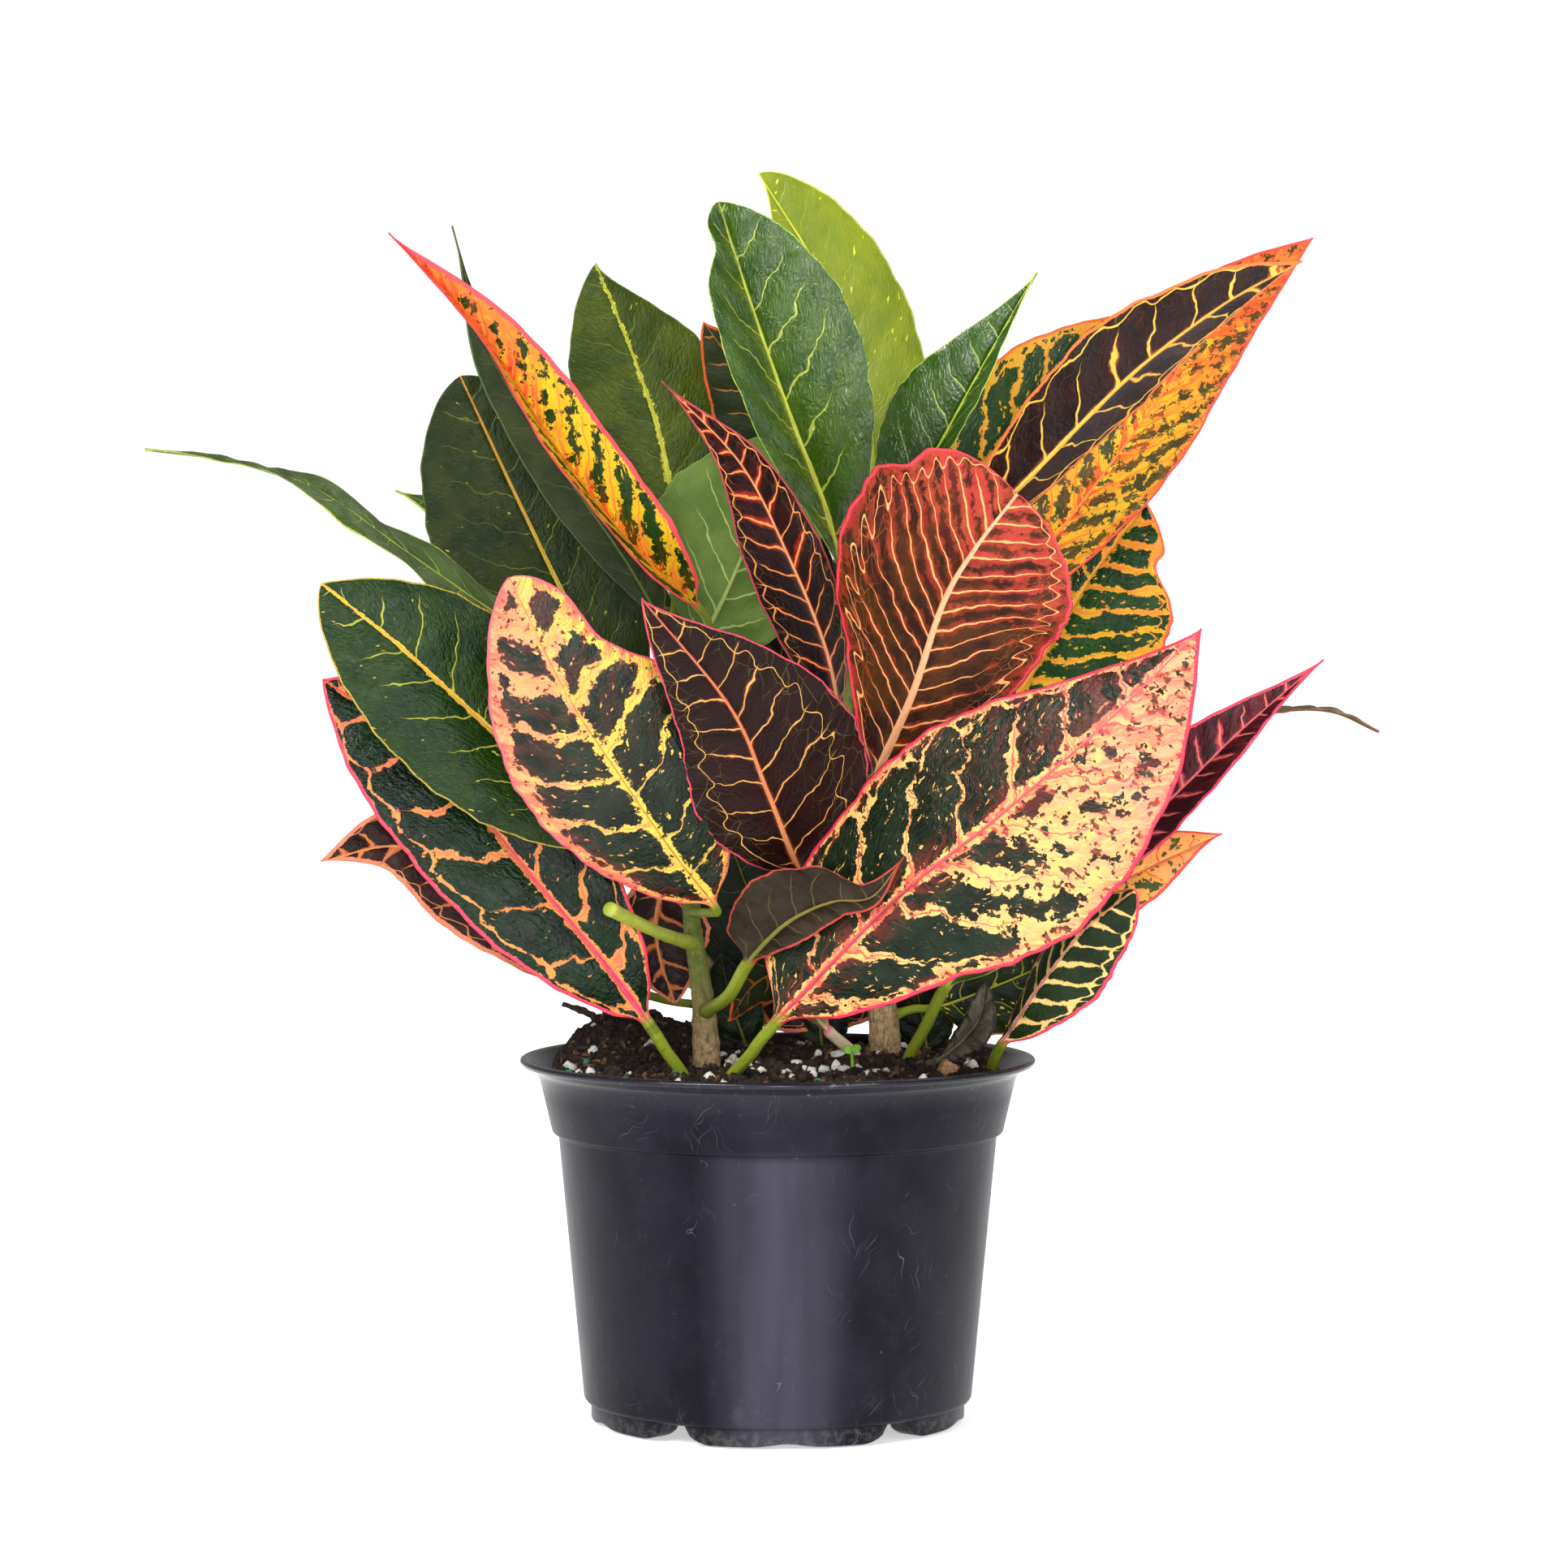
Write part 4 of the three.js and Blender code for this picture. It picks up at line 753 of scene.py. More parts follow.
@dataclass(frozen=True)
class StemForm:
    """A stem: the points of its middle line and the radius at each, in millimetres."""

    points: tuple[Point, ...]
    radii: tuple[float, ...]
    bark_top: float

    @property
    def line(self) -> Curve:
        """The middle line."""
        return Curve(self.points)

    def at_height(self, z: float) -> np.ndarray:
        """The point of the middle line at height z."""
        line = self.line
        low, high = 0.0, 1.0
        for _ in range(30):
            middle = (low + high) / 2
            if line.point(middle)[0, 2] < z:
                low = middle
            else:
                high = middle
        return line.point((low + high) / 2)[0]

    def radius(self, t: np.ndarray) -> np.ndarray:
        """Radius at the shares t of the line."""
        return np.interp(t, np.linspace(0, 1, len(self.radii)), self.radii)


STEMS = {
    "a": StemForm(
        ((-22, -10, 62), (-22, -10, 110), (-23.5, -9.5, 135), (-26.5, -9, 157), (-27, -8, 200),
         (-19, -5, 244)),
        (5, 4.4, 3.2, 2.7, 2.6, 2.4), bark_top=130),
    "b": StemForm(
        ((34, 24, 62), (34, 23, 110), (31, 18, 140), (25, 11, 185), (20, 7, 225), (18, 7, 258)),
        (5.6, 5.0, 4.2, 3.6, 3.0, 2.4), bark_top=150),
    "c": StemForm(
        ((-23, 46, 62), (-23, 46, 112), (-21, 47, 142), (-12, 50, 182), (-4, 52, 218), (0, 54, 252)),
        (5.0, 4.4, 4.0, 3.5, 3.0, 2.4), bark_top=160),
}


@dataclass(frozen=True)
class LeafLook:
    """How a leaf is dressed: its paints, the spacing and slope of its side veins, its quilting."""

    slot: Slot
    upper: str
    lower: str
    spacing: float = 11
    slope: float = 58
    bow: float = 0.25
    quilt: float = 0.35
    ruffle: float = 0.3


@dataclass(frozen=True)
class LeafForm:
    """The shape and the look of a leaf, in millimetres, as in the part's source.

    The stalk grows from a stem at height z. The path runs from just outside the stem to the
    tip, and its point number base is where the blade starts. left and right are the two half
    blades at the widest place, seen on the upper side with the tip up. ends says how fast the
    left half narrows to its base and tip, then the right half: 0.5 is round, 2 is drawn out.
    A leaf that comes up out of the soil names its root there, and no stem.
    """

    name: str
    stem: str
    z: float
    base: int
    path: tuple[Point, ...]
    left: Point
    right: Point
    widest: float
    ends: tuple[float, float, float, float]
    wave: tuple[float, float, float]
    cup: float
    look: LeafLook
    twist: float = 0
    bite: tuple[float, float, float, float] = (0, 0, 0, 1)
    root: Point | None = None
    stalk: float = 1.35


LEAVES = (
    LeafForm(
        "leaf_peach_front_right", "", 0, 3, root=(-18, -28, 103), stalk=1.85,
        path=((-14, -35, 110), (-8, -43, 117.5), (-1, -50, 127), (34, -78, 166), (63, -96, 191),
         (93, -106, 218), (123, -100, 247)), left=(-21.5, 21, 23.5), right=(27, -6, -29), widest=0.48,
        ends=(0.42, 1.4, 0.95, 1.1), wave=(1.2, 2.5, 0.1), cup=1.5,
        look=LeafLook(Slot.FLAME, "peach", "red_under", 22, 52)),
    LeafForm(
        "leaf_small_curled_front", "a", 127, 2, stalk=2.0,
        path=((-15, -32, 134), (-9, -44, 145), (0, -58, 156), (8, -66, 162), (17, -74, 166),
         (28, -82, 168), (37, -90, 180)), left=(3, 2, -7), right=(-14, 4, 10), widest=0.36,
        ends=(1, 1.4, 0.4, 1.5), wave=(0.8, 1.5, 0.4), cup=1,
        look=LeafLook(Slot.BROWN, "shadow_green", "small_under", 9)),
    LeafForm(
        "leaf_cream_front_left", "a", 158, 2,
        path=((-20, -40, 160), (-19, -54, 163), (-31, -72, 180), (-47, -92, 205), (-61, -106, 228),
         (-77, -118, 262)), left=(-24, 5, -14), right=(25, 7, 16.5), widest=0.55, ends=(1.1, 0.7, 1, 0.6),
        wave=(1, 2, 0.3), cup=1.5, bite=(1, 0.85, 0.27, 0.08),
        look=LeafLook(Slot.CREAM, "cream", "red_under", 19, 60)),
    LeafForm(
        "leaf_brown_centre", "b", 163, 2,
        path=((16, -24, 170), (7, -48, 173), (-3, -72, 198), (-14, -92, 224), (-39, -120, 256)),
        left=(30, 4, 11), right=(-19, 2, -12), widest=0.42, ends=(0.38, 1.4, 1, 0.9), wave=(1, 2, 0.6),
        cup=1.2, look=LeafLook(Slot.BROWN, "dark_green", "purple_under", 11.5, 58)),
    LeafForm(
        "leaf_rose_round", "b", 188, 2,
        path=((27, -18, 193), (29, -40, 200), (40, -58, 226), (49, -72, 254), (58, -82, 270),
         (70, -90, 286)), left=(31, -8, -16), right=(-28, 10, 27), widest=0.6, ends=(0.8, 0.6, 1, 0.45),
        wave=(1.2, 2.5, 0.2), cup=1.5, bite=(1, 0.8, 0.12, 0.05),
        look=LeafLook(Slot.ROSE, "pink_rib", "rose_under", 6.8, 60)),
    LeafForm(
        "leaf_burgundy_narrow", "b", 205, 2,
        path=((20, -12, 211), (19, -28, 219), (14, -48, 241), (3, -64, 268), (-11, -77, 295),
         (-34, -90, 319)), left=(9, 11, 6), right=(-12, 11, -6), widest=0.45, ends=(0.9, 1.6, 0.8, 1.6),
        wave=(1, 3, 0), cup=0.8, look=LeafLook(Slot.ROSE, "dark_net", "burgundy_under", 9, 60)),
    LeafForm(
        "leaf_glossy_green_top", "b", 248, 2,
        path=((19, -4, 253), (20, -11, 260), (14, -20, 283), (4, -28, 309), (-7, -34, 340),
         (-18, -38, 374)), left=(-12, -20, -3), right=(27, -8, 9), widest=0.64, ends=(1.6, 0.6, 1.7, 0.7),
        wave=(0.8, 2, 0.2), cup=2, bite=(-1, 0.9, 0.35, 0.04),
        look=LeafLook(Slot.DARK, "glossy_green", "green_under", 15, 50, quilt=1.2)),
    LeafForm(
        "leaf_pale_green_tall", "b", 254, 2,
        path=((24, 22, 264), (30, 38, 279), (28, 46, 315), (15, 54, 354), (-6, 58, 389)), left=(-20, 4, -8),
        right=(20, 4, 10), widest=0.5, ends=(0.8, 1.8, 0.6, 0.65), wave=(0.8, 1.5, 0.5), cup=2,
        look=LeafLook(Slot.GREEN, "light_green", "green_under", 13, 55)),
    LeafForm(
        "leaf_green_folded_right", "b", 251, 2,
        path=((28, 4, 262), (36, 2, 278), (49, -4, 300), (62, -10, 324), (79, -18, 354)), left=(-18, 4, 9),
        right=(4, -15, 0), widest=0.42, ends=(0.8, 1.6, 1, 1.4), wave=(0.6, 2, 0.1), cup=1,
        look=LeafLook(Slot.GREEN, "folded_green", "green_under", 10, 52)),
    LeafForm(
        "leaf_dark_behind_top", "b", 243, 2,
        path=((14, 14, 262), (10, 16, 274), (3, 16, 294), (-8, 14, 318), (-23, 10, 340)), left=(-14, 4, -8),
        right=(15, 4, 8), widest=0.5, ends=(1, 0.8, 1, 1.2), wave=(0.8, 2, 0.6), cup=1,
        look=LeafLook(Slot.DARK, "shadow_green", "red_under", 10)),
    LeafForm(
        "leaf_orange_net_right", "b", 238, 2,
        path=((34, 22, 258), (46, 32, 274), (67, 36, 299), (95, 38, 325), (124, 36, 347)),
        left=(-14, 4, 16), right=(16, 10, -16), widest=0.42, ends=(0.8, 1.4, 1, 1), wave=(1.6, 4, 0.3),
        cup=1, look=LeafLook(Slot.DARK, "orange_net", "red_under", 13, 50)),
    LeafForm(
        "leaf_yellow_flame_right", "b", 214, 2,
        path=((40, 4, 224), (54, -1, 235), (86, -1, 274), (109, 2, 304), (136, 5, 340), (166, 10, 366)),
        left=(-17, 10, 12), right=(15, 12, -9), widest=0.48, ends=(0.9, 1, 1, 1.1), wave=(1, 3, 0.4),
        cup=1.5, look=LeafLook(Slot.FLAME, "yellow_flame", "red_under", 12, 42)),
    LeafForm(
        "leaf_brown_ladder_right", "b", 232, 2,
        path=((36, -4, 250), (50, -14, 266), (73, -26, 288), (95, -34, 311), (112, -39, 327),
         (135, -44, 344), (157, -46, 356)), left=(7, 14, -6), right=(-12, -3, 14), widest=0.45,
        ends=(1, 1.2, 1, 1.1), wave=(0.8, 3, 0.2), cup=0.6,
        look=LeafLook(Slot.BROWN, "dark_green", "brown_under", 15, 56)),
    LeafForm(
        "leaf_dark_net_right", "b", 196, 2,
        path=((46, 18, 204), (66, 20, 212), (83, 20, 236), (98, 19, 261), (115, 18, 284)),
        left=(-24, 8, 16), right=(27, -2, -16), widest=0.55, ends=(0.8, 1, 0.8, 0.8), wave=(1.2, 3, 0.2),
        cup=1.2, bite=(1, 0.84, 0.3, 0.05), look=LeafLook(Slot.DARK, "dark_net", "red_under", 8.5, 66)),
    LeafForm(
        "leaf_dull_green_left", "a", 214, 2,
        path=((-33, 2, 234), (-31, 11, 266), (-35, 18, 297), (-43, 24, 324), (-57, 28, 359)),
        left=(-22, 8, -9), right=(22, 6, 8), widest=0.6, ends=(0.8, 0.8, 0.8, 1.6), wave=(1.4, 2.5, 0.1),
        cup=1.2, look=LeafLook(Slot.DARK, "dull_green", "green_under", 12, 55)),
    LeafForm(
        "leaf_dark_green_left", "a", 198, 2,
        path=((-34, -2, 204), (-45, 2, 216), (-64, 4, 251), (-80, 4, 284), (-98, 2, 323)),
        left=(-28, 4, -14), right=(26, 8, 12), widest=0.58, ends=(0.8, 0.6, 0.8, 0.7), wave=(1, 2, 0.2),
        cup=1.5, look=LeafLook(Slot.DARK, "grey_green", "green_under", 13, 55)),
    LeafForm(
        "leaf_twisted_left", "a", 228, 2,
        path=((-29, -10, 236), (-35, -14, 246), (-47, -20, 267), (-67, -22, 296), (-88, -22, 330),
         (-99, -20, 368)), left=(-8, 5, -5), right=(9, 6, 7), widest=0.4, ends=(1, 1.8, 1, 1.8),
        wave=(1, 3, 0.5), cup=0.5, twist=60, look=LeafLook(Slot.DARK, "twist_grey", "russet", 11)),
    LeafForm(
        "leaf_flame_left", "a", 240, 2,
        path=((-21, -18, 246), (-24, -32, 252), (-41, -46, 268), (-65, -54, 298), (-88, -57, 334),
         (-116, -54, 364)), left=(-2, -13, -1), right=(13, -4, 9), widest=0.45, ends=(0.8, 1.3, 0.9, 1.4),
        wave=(0.8, 3, 0.1), cup=0.8, look=LeafLook(Slot.FLAME, "flame", "red_under", 14, 32)),
    LeafForm(
        "leaf_pale_underside", "a", 232, 2,
        path=((-26, -2, 235), (-24, -1, 240), (-15, -3, 258), (-6, -7, 280), (4, -12, 306)),
        left=(21, 5, -11), right=(-27, 6, 14), widest=0.53, ends=(0.55, 1, 1, 1), wave=(0.8, 2, 0.3),
        cup=1.2, look=LeafLook(Slot.PALE, "folded_green", "pale_under", 10, 55, quilt=0.6)),
    LeafForm(
        "leaf_long_twisted_far_left", "a", 206, 2,
        path=((-34, -34, 214), (-48, -52, 221), (-68, -66, 240), (-88, -72, 254), (-111, -72, 270),
         (-136, -64, 287), (-162, -52, 296), (-191, -36, 300)), left=(3, -8, -8), right=(-3, 8, 8),
        widest=0.4, ends=(1, 0.9, 1, 0.9), wave=(1.6, 4, 0.2), cup=0.4, twist=40,
        look=LeafLook(Slot.GREEN, "far_green", "green_under", 12)),
    LeafForm(
        "leaf_dark_green_mid_left", "a", 172, 2,
        path=((-32, -34, 176), (-47, -52, 181), (-66, -66, 198), (-86, -78, 218), (-110, -87, 241),
         (-133, -92, 260)), left=(-17, -3, -18), right=(19, 5, 19), widest=0.55, ends=(0.9, 0.7, 1, 0.9),
        wave=(1.2, 2.5, 0.3), cup=1.5, look=LeafLook(Slot.DARK, "dark_green", "green_under", 14, 52)),
    LeafForm(
        "leaf_pink_rib_low_left", "", 0, 3, root=(-26, -25, 103), stalk=1.9,
        path=((-29, -30, 110), (-34, -34, 117.5), (-39, -38, 126), (-53, -46, 146), (-73, -53, 171),
         (-95, -57, 198), (-117, -57, 218), (-136, -55, 231)), left=(-18, -5, -17), right=(19, 2, 16),
        widest=0.55, ends=(1, 0.9, 1, 1), wave=(1, 2.5, 0.4), cup=1.5,
        look=LeafLook(Slot.DARK, "pink_rib", "red_under", 20, 55)),
    LeafForm(
        "leaf_dusk_low_left", "c", 124, 2,
        path=((-36, 24, 128), (-50, 4, 135), (-68, -12, 148), (-90, -22, 164), (-114, -28, 179),
         (-139, -32, 175)), left=(-8, -3, -12), right=(9, 6, 14), widest=0.5, ends=(0.8, 1.6, 1, 1),
        wave=(1.4, 3, 0.2), cup=1, look=LeafLook(Slot.BROWN, "dusk", "red_under", 10)),
    LeafForm(
        "leaf_green_tip_left", "c", 236, 2,
        path=((-14, 40, 242), (-28, 34, 248), (-66, 36, 264), (-92, 38, 276), (-121, 40, 288)),
        left=(-5, -12, -13), right=(6, 12, 13), widest=0.45, ends=(1, 1.6, 1, 1.6), wave=(0.8, 2, 0.5),
        cup=1, look=LeafLook(Slot.GREEN, "far_green", "green_under", 10)),
    LeafForm(
        "leaf_dark_drooping_centre", "c", 138, 2,
        path=((-30, 36, 150), (-34, 27, 165), (-38, 20, 155), (-37, 18, 142), (-32, 17, 127)),
        left=(-12, -2, 2), right=(17, -2, 2), widest=0.5, ends=(0.8, 0.9, 0.8, 0.9), wave=(0.8, 2, 0.3),
        cup=0.8, look=LeafLook(Slot.BROWN, "dusk", "dusk", 8)),
    LeafForm(
        "leaf_arched_low_centre", "b", 133, 2,
        path=((20, 8, 140), (12, 3, 141), (2, -2, 140), (-8, -9, 135), (-15, -19, 125)), left=(4, 7, -8),
        right=(-2, -5, 9), widest=0.5, ends=(1, 1, 1, 1), wave=(0.5, 2, 0.3), cup=0.5,
        look=LeafLook(Slot.BROWN, "shadow_green", "dusk", 8)),
    LeafForm(
        "leaf_pale_fold_low_centre", "", 0, 2, root=(28, 11, 103), stalk=1.85,
        path=((24, 8, 112), (16, 0, 120), (10, -10, 129), (8, -20, 142), (10, -30, 156)), left=(-4, 4, -3),
        right=(5, 5, 2), widest=0.5, ends=(1, 1, 1, 1), wave=(0.5, 2, 0.3), cup=0.5,
        look=LeafLook(Slot.PALE, "pale_pink", "pale_pink", 9)),
    LeafForm(
        "leaf_yellow_edge_low_right", "", 0, 3, root=(38, 8, 103), stalk=1.85,
        path=((41, 5, 112), (46, 0, 122), (52, -8, 135), (63, -15, 147), (76, -19, 163), (88, -21, 182)),
        left=(-7, 4, 5), right=(7, 6, -6), widest=0.45, ends=(1, 1, 1, 1), wave=(0.6, 2, 0.3), cup=0.5,
        look=LeafLook(Slot.GREEN, "far_green", "green_under", 9)),
    LeafForm(
        "leaf_dark_spotted_low_right", "b", 122, 2,
        path=((42, 22, 125), (50, 19, 126), (66, 16, 132), (86, 13, 141), (105, 10, 152)), left=(-8, 4, 12),
        right=(7, -2, -15), widest=0.5, ends=(0.9, 1, 0.7, 0.8), wave=(1, 2, 0.3), cup=1,
        look=LeafLook(Slot.DARK, "night_spotted", "red_under", 10)),
    LeafForm(
        "leaf_cream_ladder_low_right", "", 0, 2, root=(64, -3, 102), stalk=1.65,
        path=((66, -5, 109), (69, -10, 117), (80, -22, 136), (93, -32, 154), (108, -40, 167)),
        left=(-3, 15, 3), right=(13, 2, -10), widest=0.5, ends=(1, 0.7, 1, 0.6), wave=(1, 2.5, 0.2), cup=1,
        look=LeafLook(Slot.CREAM, "cream_ladder", "red_under", 8.5, 60)),
    LeafForm(
        "leaf_inner_upper_centre", "c", 186, 2,
        path=((-9, 42, 194), (-6, 36, 204), (-1, 31, 226), (4, 29, 252), (9, 27, 284)), left=(-18, 0, 3.5),
        right=(18, 0, -3.5), widest=0.5, ends=(0.7, 0.9, 0.7, 0.9), wave=(1, 2, 0.2), cup=1.2,
        look=LeafLook(Slot.DARK, "painted_shade_green", "painted_shade_green", 11)),
    LeafForm(
        "leaf_inner_upper_right", "b", 172, 2,
        path=((30, 22, 181), (33, 27, 190), (37, 32, 210), (39, 35, 232), (38, 38, 257)), left=(-18, 2, 1),
        right=(17, 2, 0), widest=0.45, ends=(0.6, 1, 0.7, 1), wave=(1, 2, 0.4), cup=1.2,
        look=LeafLook(Slot.DARK, "painted_shade_green", "painted_shade_green", 10)),
    LeafForm(
        "leaf_inner_lower_centre", "b", 126, 2,
        path=((22, 25, 131), (11, 29, 135), (-4, 34, 151), (-13, 37, 171), (-22, 40, 198)),
        left=(-18, 0, -11), right=(19, 0, 10), widest=0.45, ends=(0.6, 1, 0.7, 1), wave=(1, 2, 0.1),
        cup=1.2, look=LeafLook(Slot.DARK, "painted_shade_green", "painted_shade_green", 11)),
    LeafForm(
        "leaf_inner_low_behind", "c", 116, 2,
        path=((-15, 41, 120), (-10, 38, 123), (8, 38, 130), (32, 43, 134), (60, 46, 135)), left=(0, 2, 15),
        right=(1, -2, -15), widest=0.5, ends=(0.7, 0.9, 0.7, 0.9), wave=(0.8, 2, 0.3), cup=1,
        look=LeafLook(Slot.BROWN, "dusk", "dusk", 10)),
    LeafForm(
        "leaf_wine_folded_right", "b", 143, 2,
        path=((52, 8, 150), (76, -2, 157), (98, -8, 173), (120, -12, 192), (142, -15, 214),
         (167, -18, 236)), left=(-9, 4, 12), right=(5, -12, -5), widest=0.42, ends=(1, 1.4, 1, 1.4),
        wave=(0.8, 3, 0.2), cup=0.6, look=LeafLook(Slot.ROSE, "wine", "wine", 9)),
    LeafForm(
        "leaf_thin_far_right", "b", 166, 2,
        path=((58, 34, 182), (92, 40, 195), (124, 48, 209), (154, 54, 217), (176, 58, 218), (193, 60, 211)),
        left=(-1, 11, 0), right=(1, -11, 0), widest=0.42, ends=(1, 1, 1, 1), wave=(0.3, 2, 0.2), cup=0.5,
        look=LeafLook(Slot.BROWN, "russet", "russet", 10)),
    LeafForm(
        "leaf_apricot_right", "b", 131, 2,
        path=((46, 20, 138), (64, 22, 146), (88, 24, 155), (114, 26, 168), (140, 28, 180)),
        left=(-8, 8, 13), right=(6, -2, -10), widest=0.5, ends=(1, 1.1, 1, 1.7), wave=(1.4, 3, 0.1), cup=1,
        look=LeafLook(Slot.FLAME, "apricot", "red_under", 12)),
)

DRY_LEAF = LeafForm(
    "leaf_dry_curled_right", "", 0, 2, root=(47, -12, 104),
    path=((46, -12, 110), (49, -13, 112.5), (56, -15, 118), (62, -17, 126), (64, -18, 137)),
    left=(-3, -3, 4), right=(4, -4, -4), widest=0.55, ends=(1, 0.8, 1, 0.8), wave=(1.2, 3, 0.3), cup=1,
    look=LeafLook(Slot.DRY, "dry", "dry", 7, quilt=0.8, ruffle=0.9))

# Young leaves that stand in the soil behind the stems, in the dark of the bush; their near-black paint is
# painted shade.
YOUNG_LEAVES = (
    LeafForm(
        "young_leaf_behind_a", "", 0, 2, root=(-8, 30, 104),
        path=((-9, 29, 109), (-10, 28, 113), (-13, 27, 122), (-16, 28, 132), (-18, 30, 142)),
        left=(-9, 1, -2), right=(9, 1, 2), widest=0.45, ends=(0.5, 1, 0.5, 1), wave=(0.8, 2, 0.1), cup=0.8,
        look=LeafLook(Slot.DARK, "painted_shade_green", "painted_shade_green", 8)),
    LeafForm(
        "young_leaf_behind_b", "", 0, 2, root=(47, 30, 104),
        path=((47, 29, 109), (47, 28, 112), (46, 28, 120), (44, 29, 130), (41, 31, 141)), left=(-9, 1, -1),
        right=(10, 1, 1), widest=0.45, ends=(0.5, 1, 0.5, 1), wave=(0.8, 2, 0.5), cup=0.8,
        look=LeafLook(Slot.DARK, "painted_shade_green", "painted_shade_green", 8)),
    LeafForm(
        "young_leaf_between", "", 0, 2, root=(14, 38, 105),
        path=((14, 37, 109), (14, 36, 112), (13, 36, 121), (10, 37, 131), (6, 39, 142)), left=(-10, 1, -1),
        right=(10, 1, 1), widest=0.45, ends=(0.5, 1, 0.5, 1), wave=(0.8, 2, 0.3), cup=0.8,
        look=LeafLook(Slot.DARK, "painted_shade_green", "painted_shade_green", 8)),
)

# Leaves of the back, all on stem c: height of the root, direction in degrees, how far the
# leaf reaches and rises, how much its tip sags, half its width, and its look.
BACK_LEAVES = (
    ("leaf_back_01", 250, 85, 58, 92, 10, 20, LeafLook(Slot.GREEN, "light_green", "green_under")),
    ("leaf_back_02", 244, 130, 66, 78, 12, 19, LeafLook(Slot.DARK, "dark_green", "green_under")),
    ("leaf_back_03", 238, 38, 84, 66, 12, 19, LeafLook(Slot.BROWN, "dusk", "brown_under")),
    ("leaf_back_04", 226, 155, 104, 62, 14, 21, LeafLook(Slot.FLAME, "yellow_flame", "red_under")),
    ("leaf_back_05", 214, 88, 69, 58, 14, 22, LeafLook(Slot.DARK, "glossy_green", "green_under", 14)),
    ("leaf_back_06", 204, 22, 100, 52, 14, 21, LeafLook(Slot.FLAME, "peach", "red_under", 14)),
    ("leaf_back_07", 192, 118, 76, 46, 16, 22, LeafLook(Slot.ROSE, "wine", "rose_under", 8)),
    ("leaf_back_08", 180, 60, 78, 40, 16, 22, LeafLook(Slot.DARK, "pink_rib", "red_under", 13)),
    ("leaf_back_09", 170, 165, 96, 40, 16, 22, LeafLook(Slot.DARK, "orange_net", "red_under")),
    ("leaf_back_10", 158, 12, 110, 36, 16, 22, LeafLook(Slot.CREAM, "cream", "red_under", 13)),
    ("leaf_back_11", 148, 96, 70, 28, 18, 21, LeafLook(Slot.ROSE, "wine", "burgundy_under", 8)),
    ("leaf_back_12", 138, 48, 88, 22, 16, 21, LeafLook(Slot.DARK, "dark_net", "red_under")),
    ("leaf_back_13", 129, 140, 84, 18, 14, 20, LeafLook(Slot.GREEN, "far_green", "green_under")),
)


def back_leaf(name: str, z: float, turn: float, reach: float, rise: float, sag: float, half: float,
              look: LeafLook) -> LeafForm:
    """A leaf of the back: it rises from stem c, reaches out and sags at its tip.

    Args:
        name: Name of the leaf's node.
        z: Height of its root.
        turn: Direction it points in, in degrees.
        reach: How far it reaches.
        rise: How far it rises.
        sag: How far its tip sags.
        half: Half its width.
        look: How it is dressed.

    Returns:
        Its form.
    """
    root = STEMS["c"].at_height(z)
    x, y = math.cos(math.radians(turn)), math.sin(math.radians(turn))
    path = []
    for share in (0.12, 0.24, 0.45, 0.65, 0.83, 1):
        up = rise * share - sag * share**3
        path.append((root[0] + x * reach * share, root[1] + y * reach * share, root[2] + up))
    return LeafForm(
        name, "c", z, 2, tuple(path), left=(-y * half, x * half, 4), right=(y * half, -x * half, 4),
        widest=0.5, ends=(1, 1.1, 1, 1.1), wave=(1.2, 2.5, z / 100), cup=1.5, look=look)


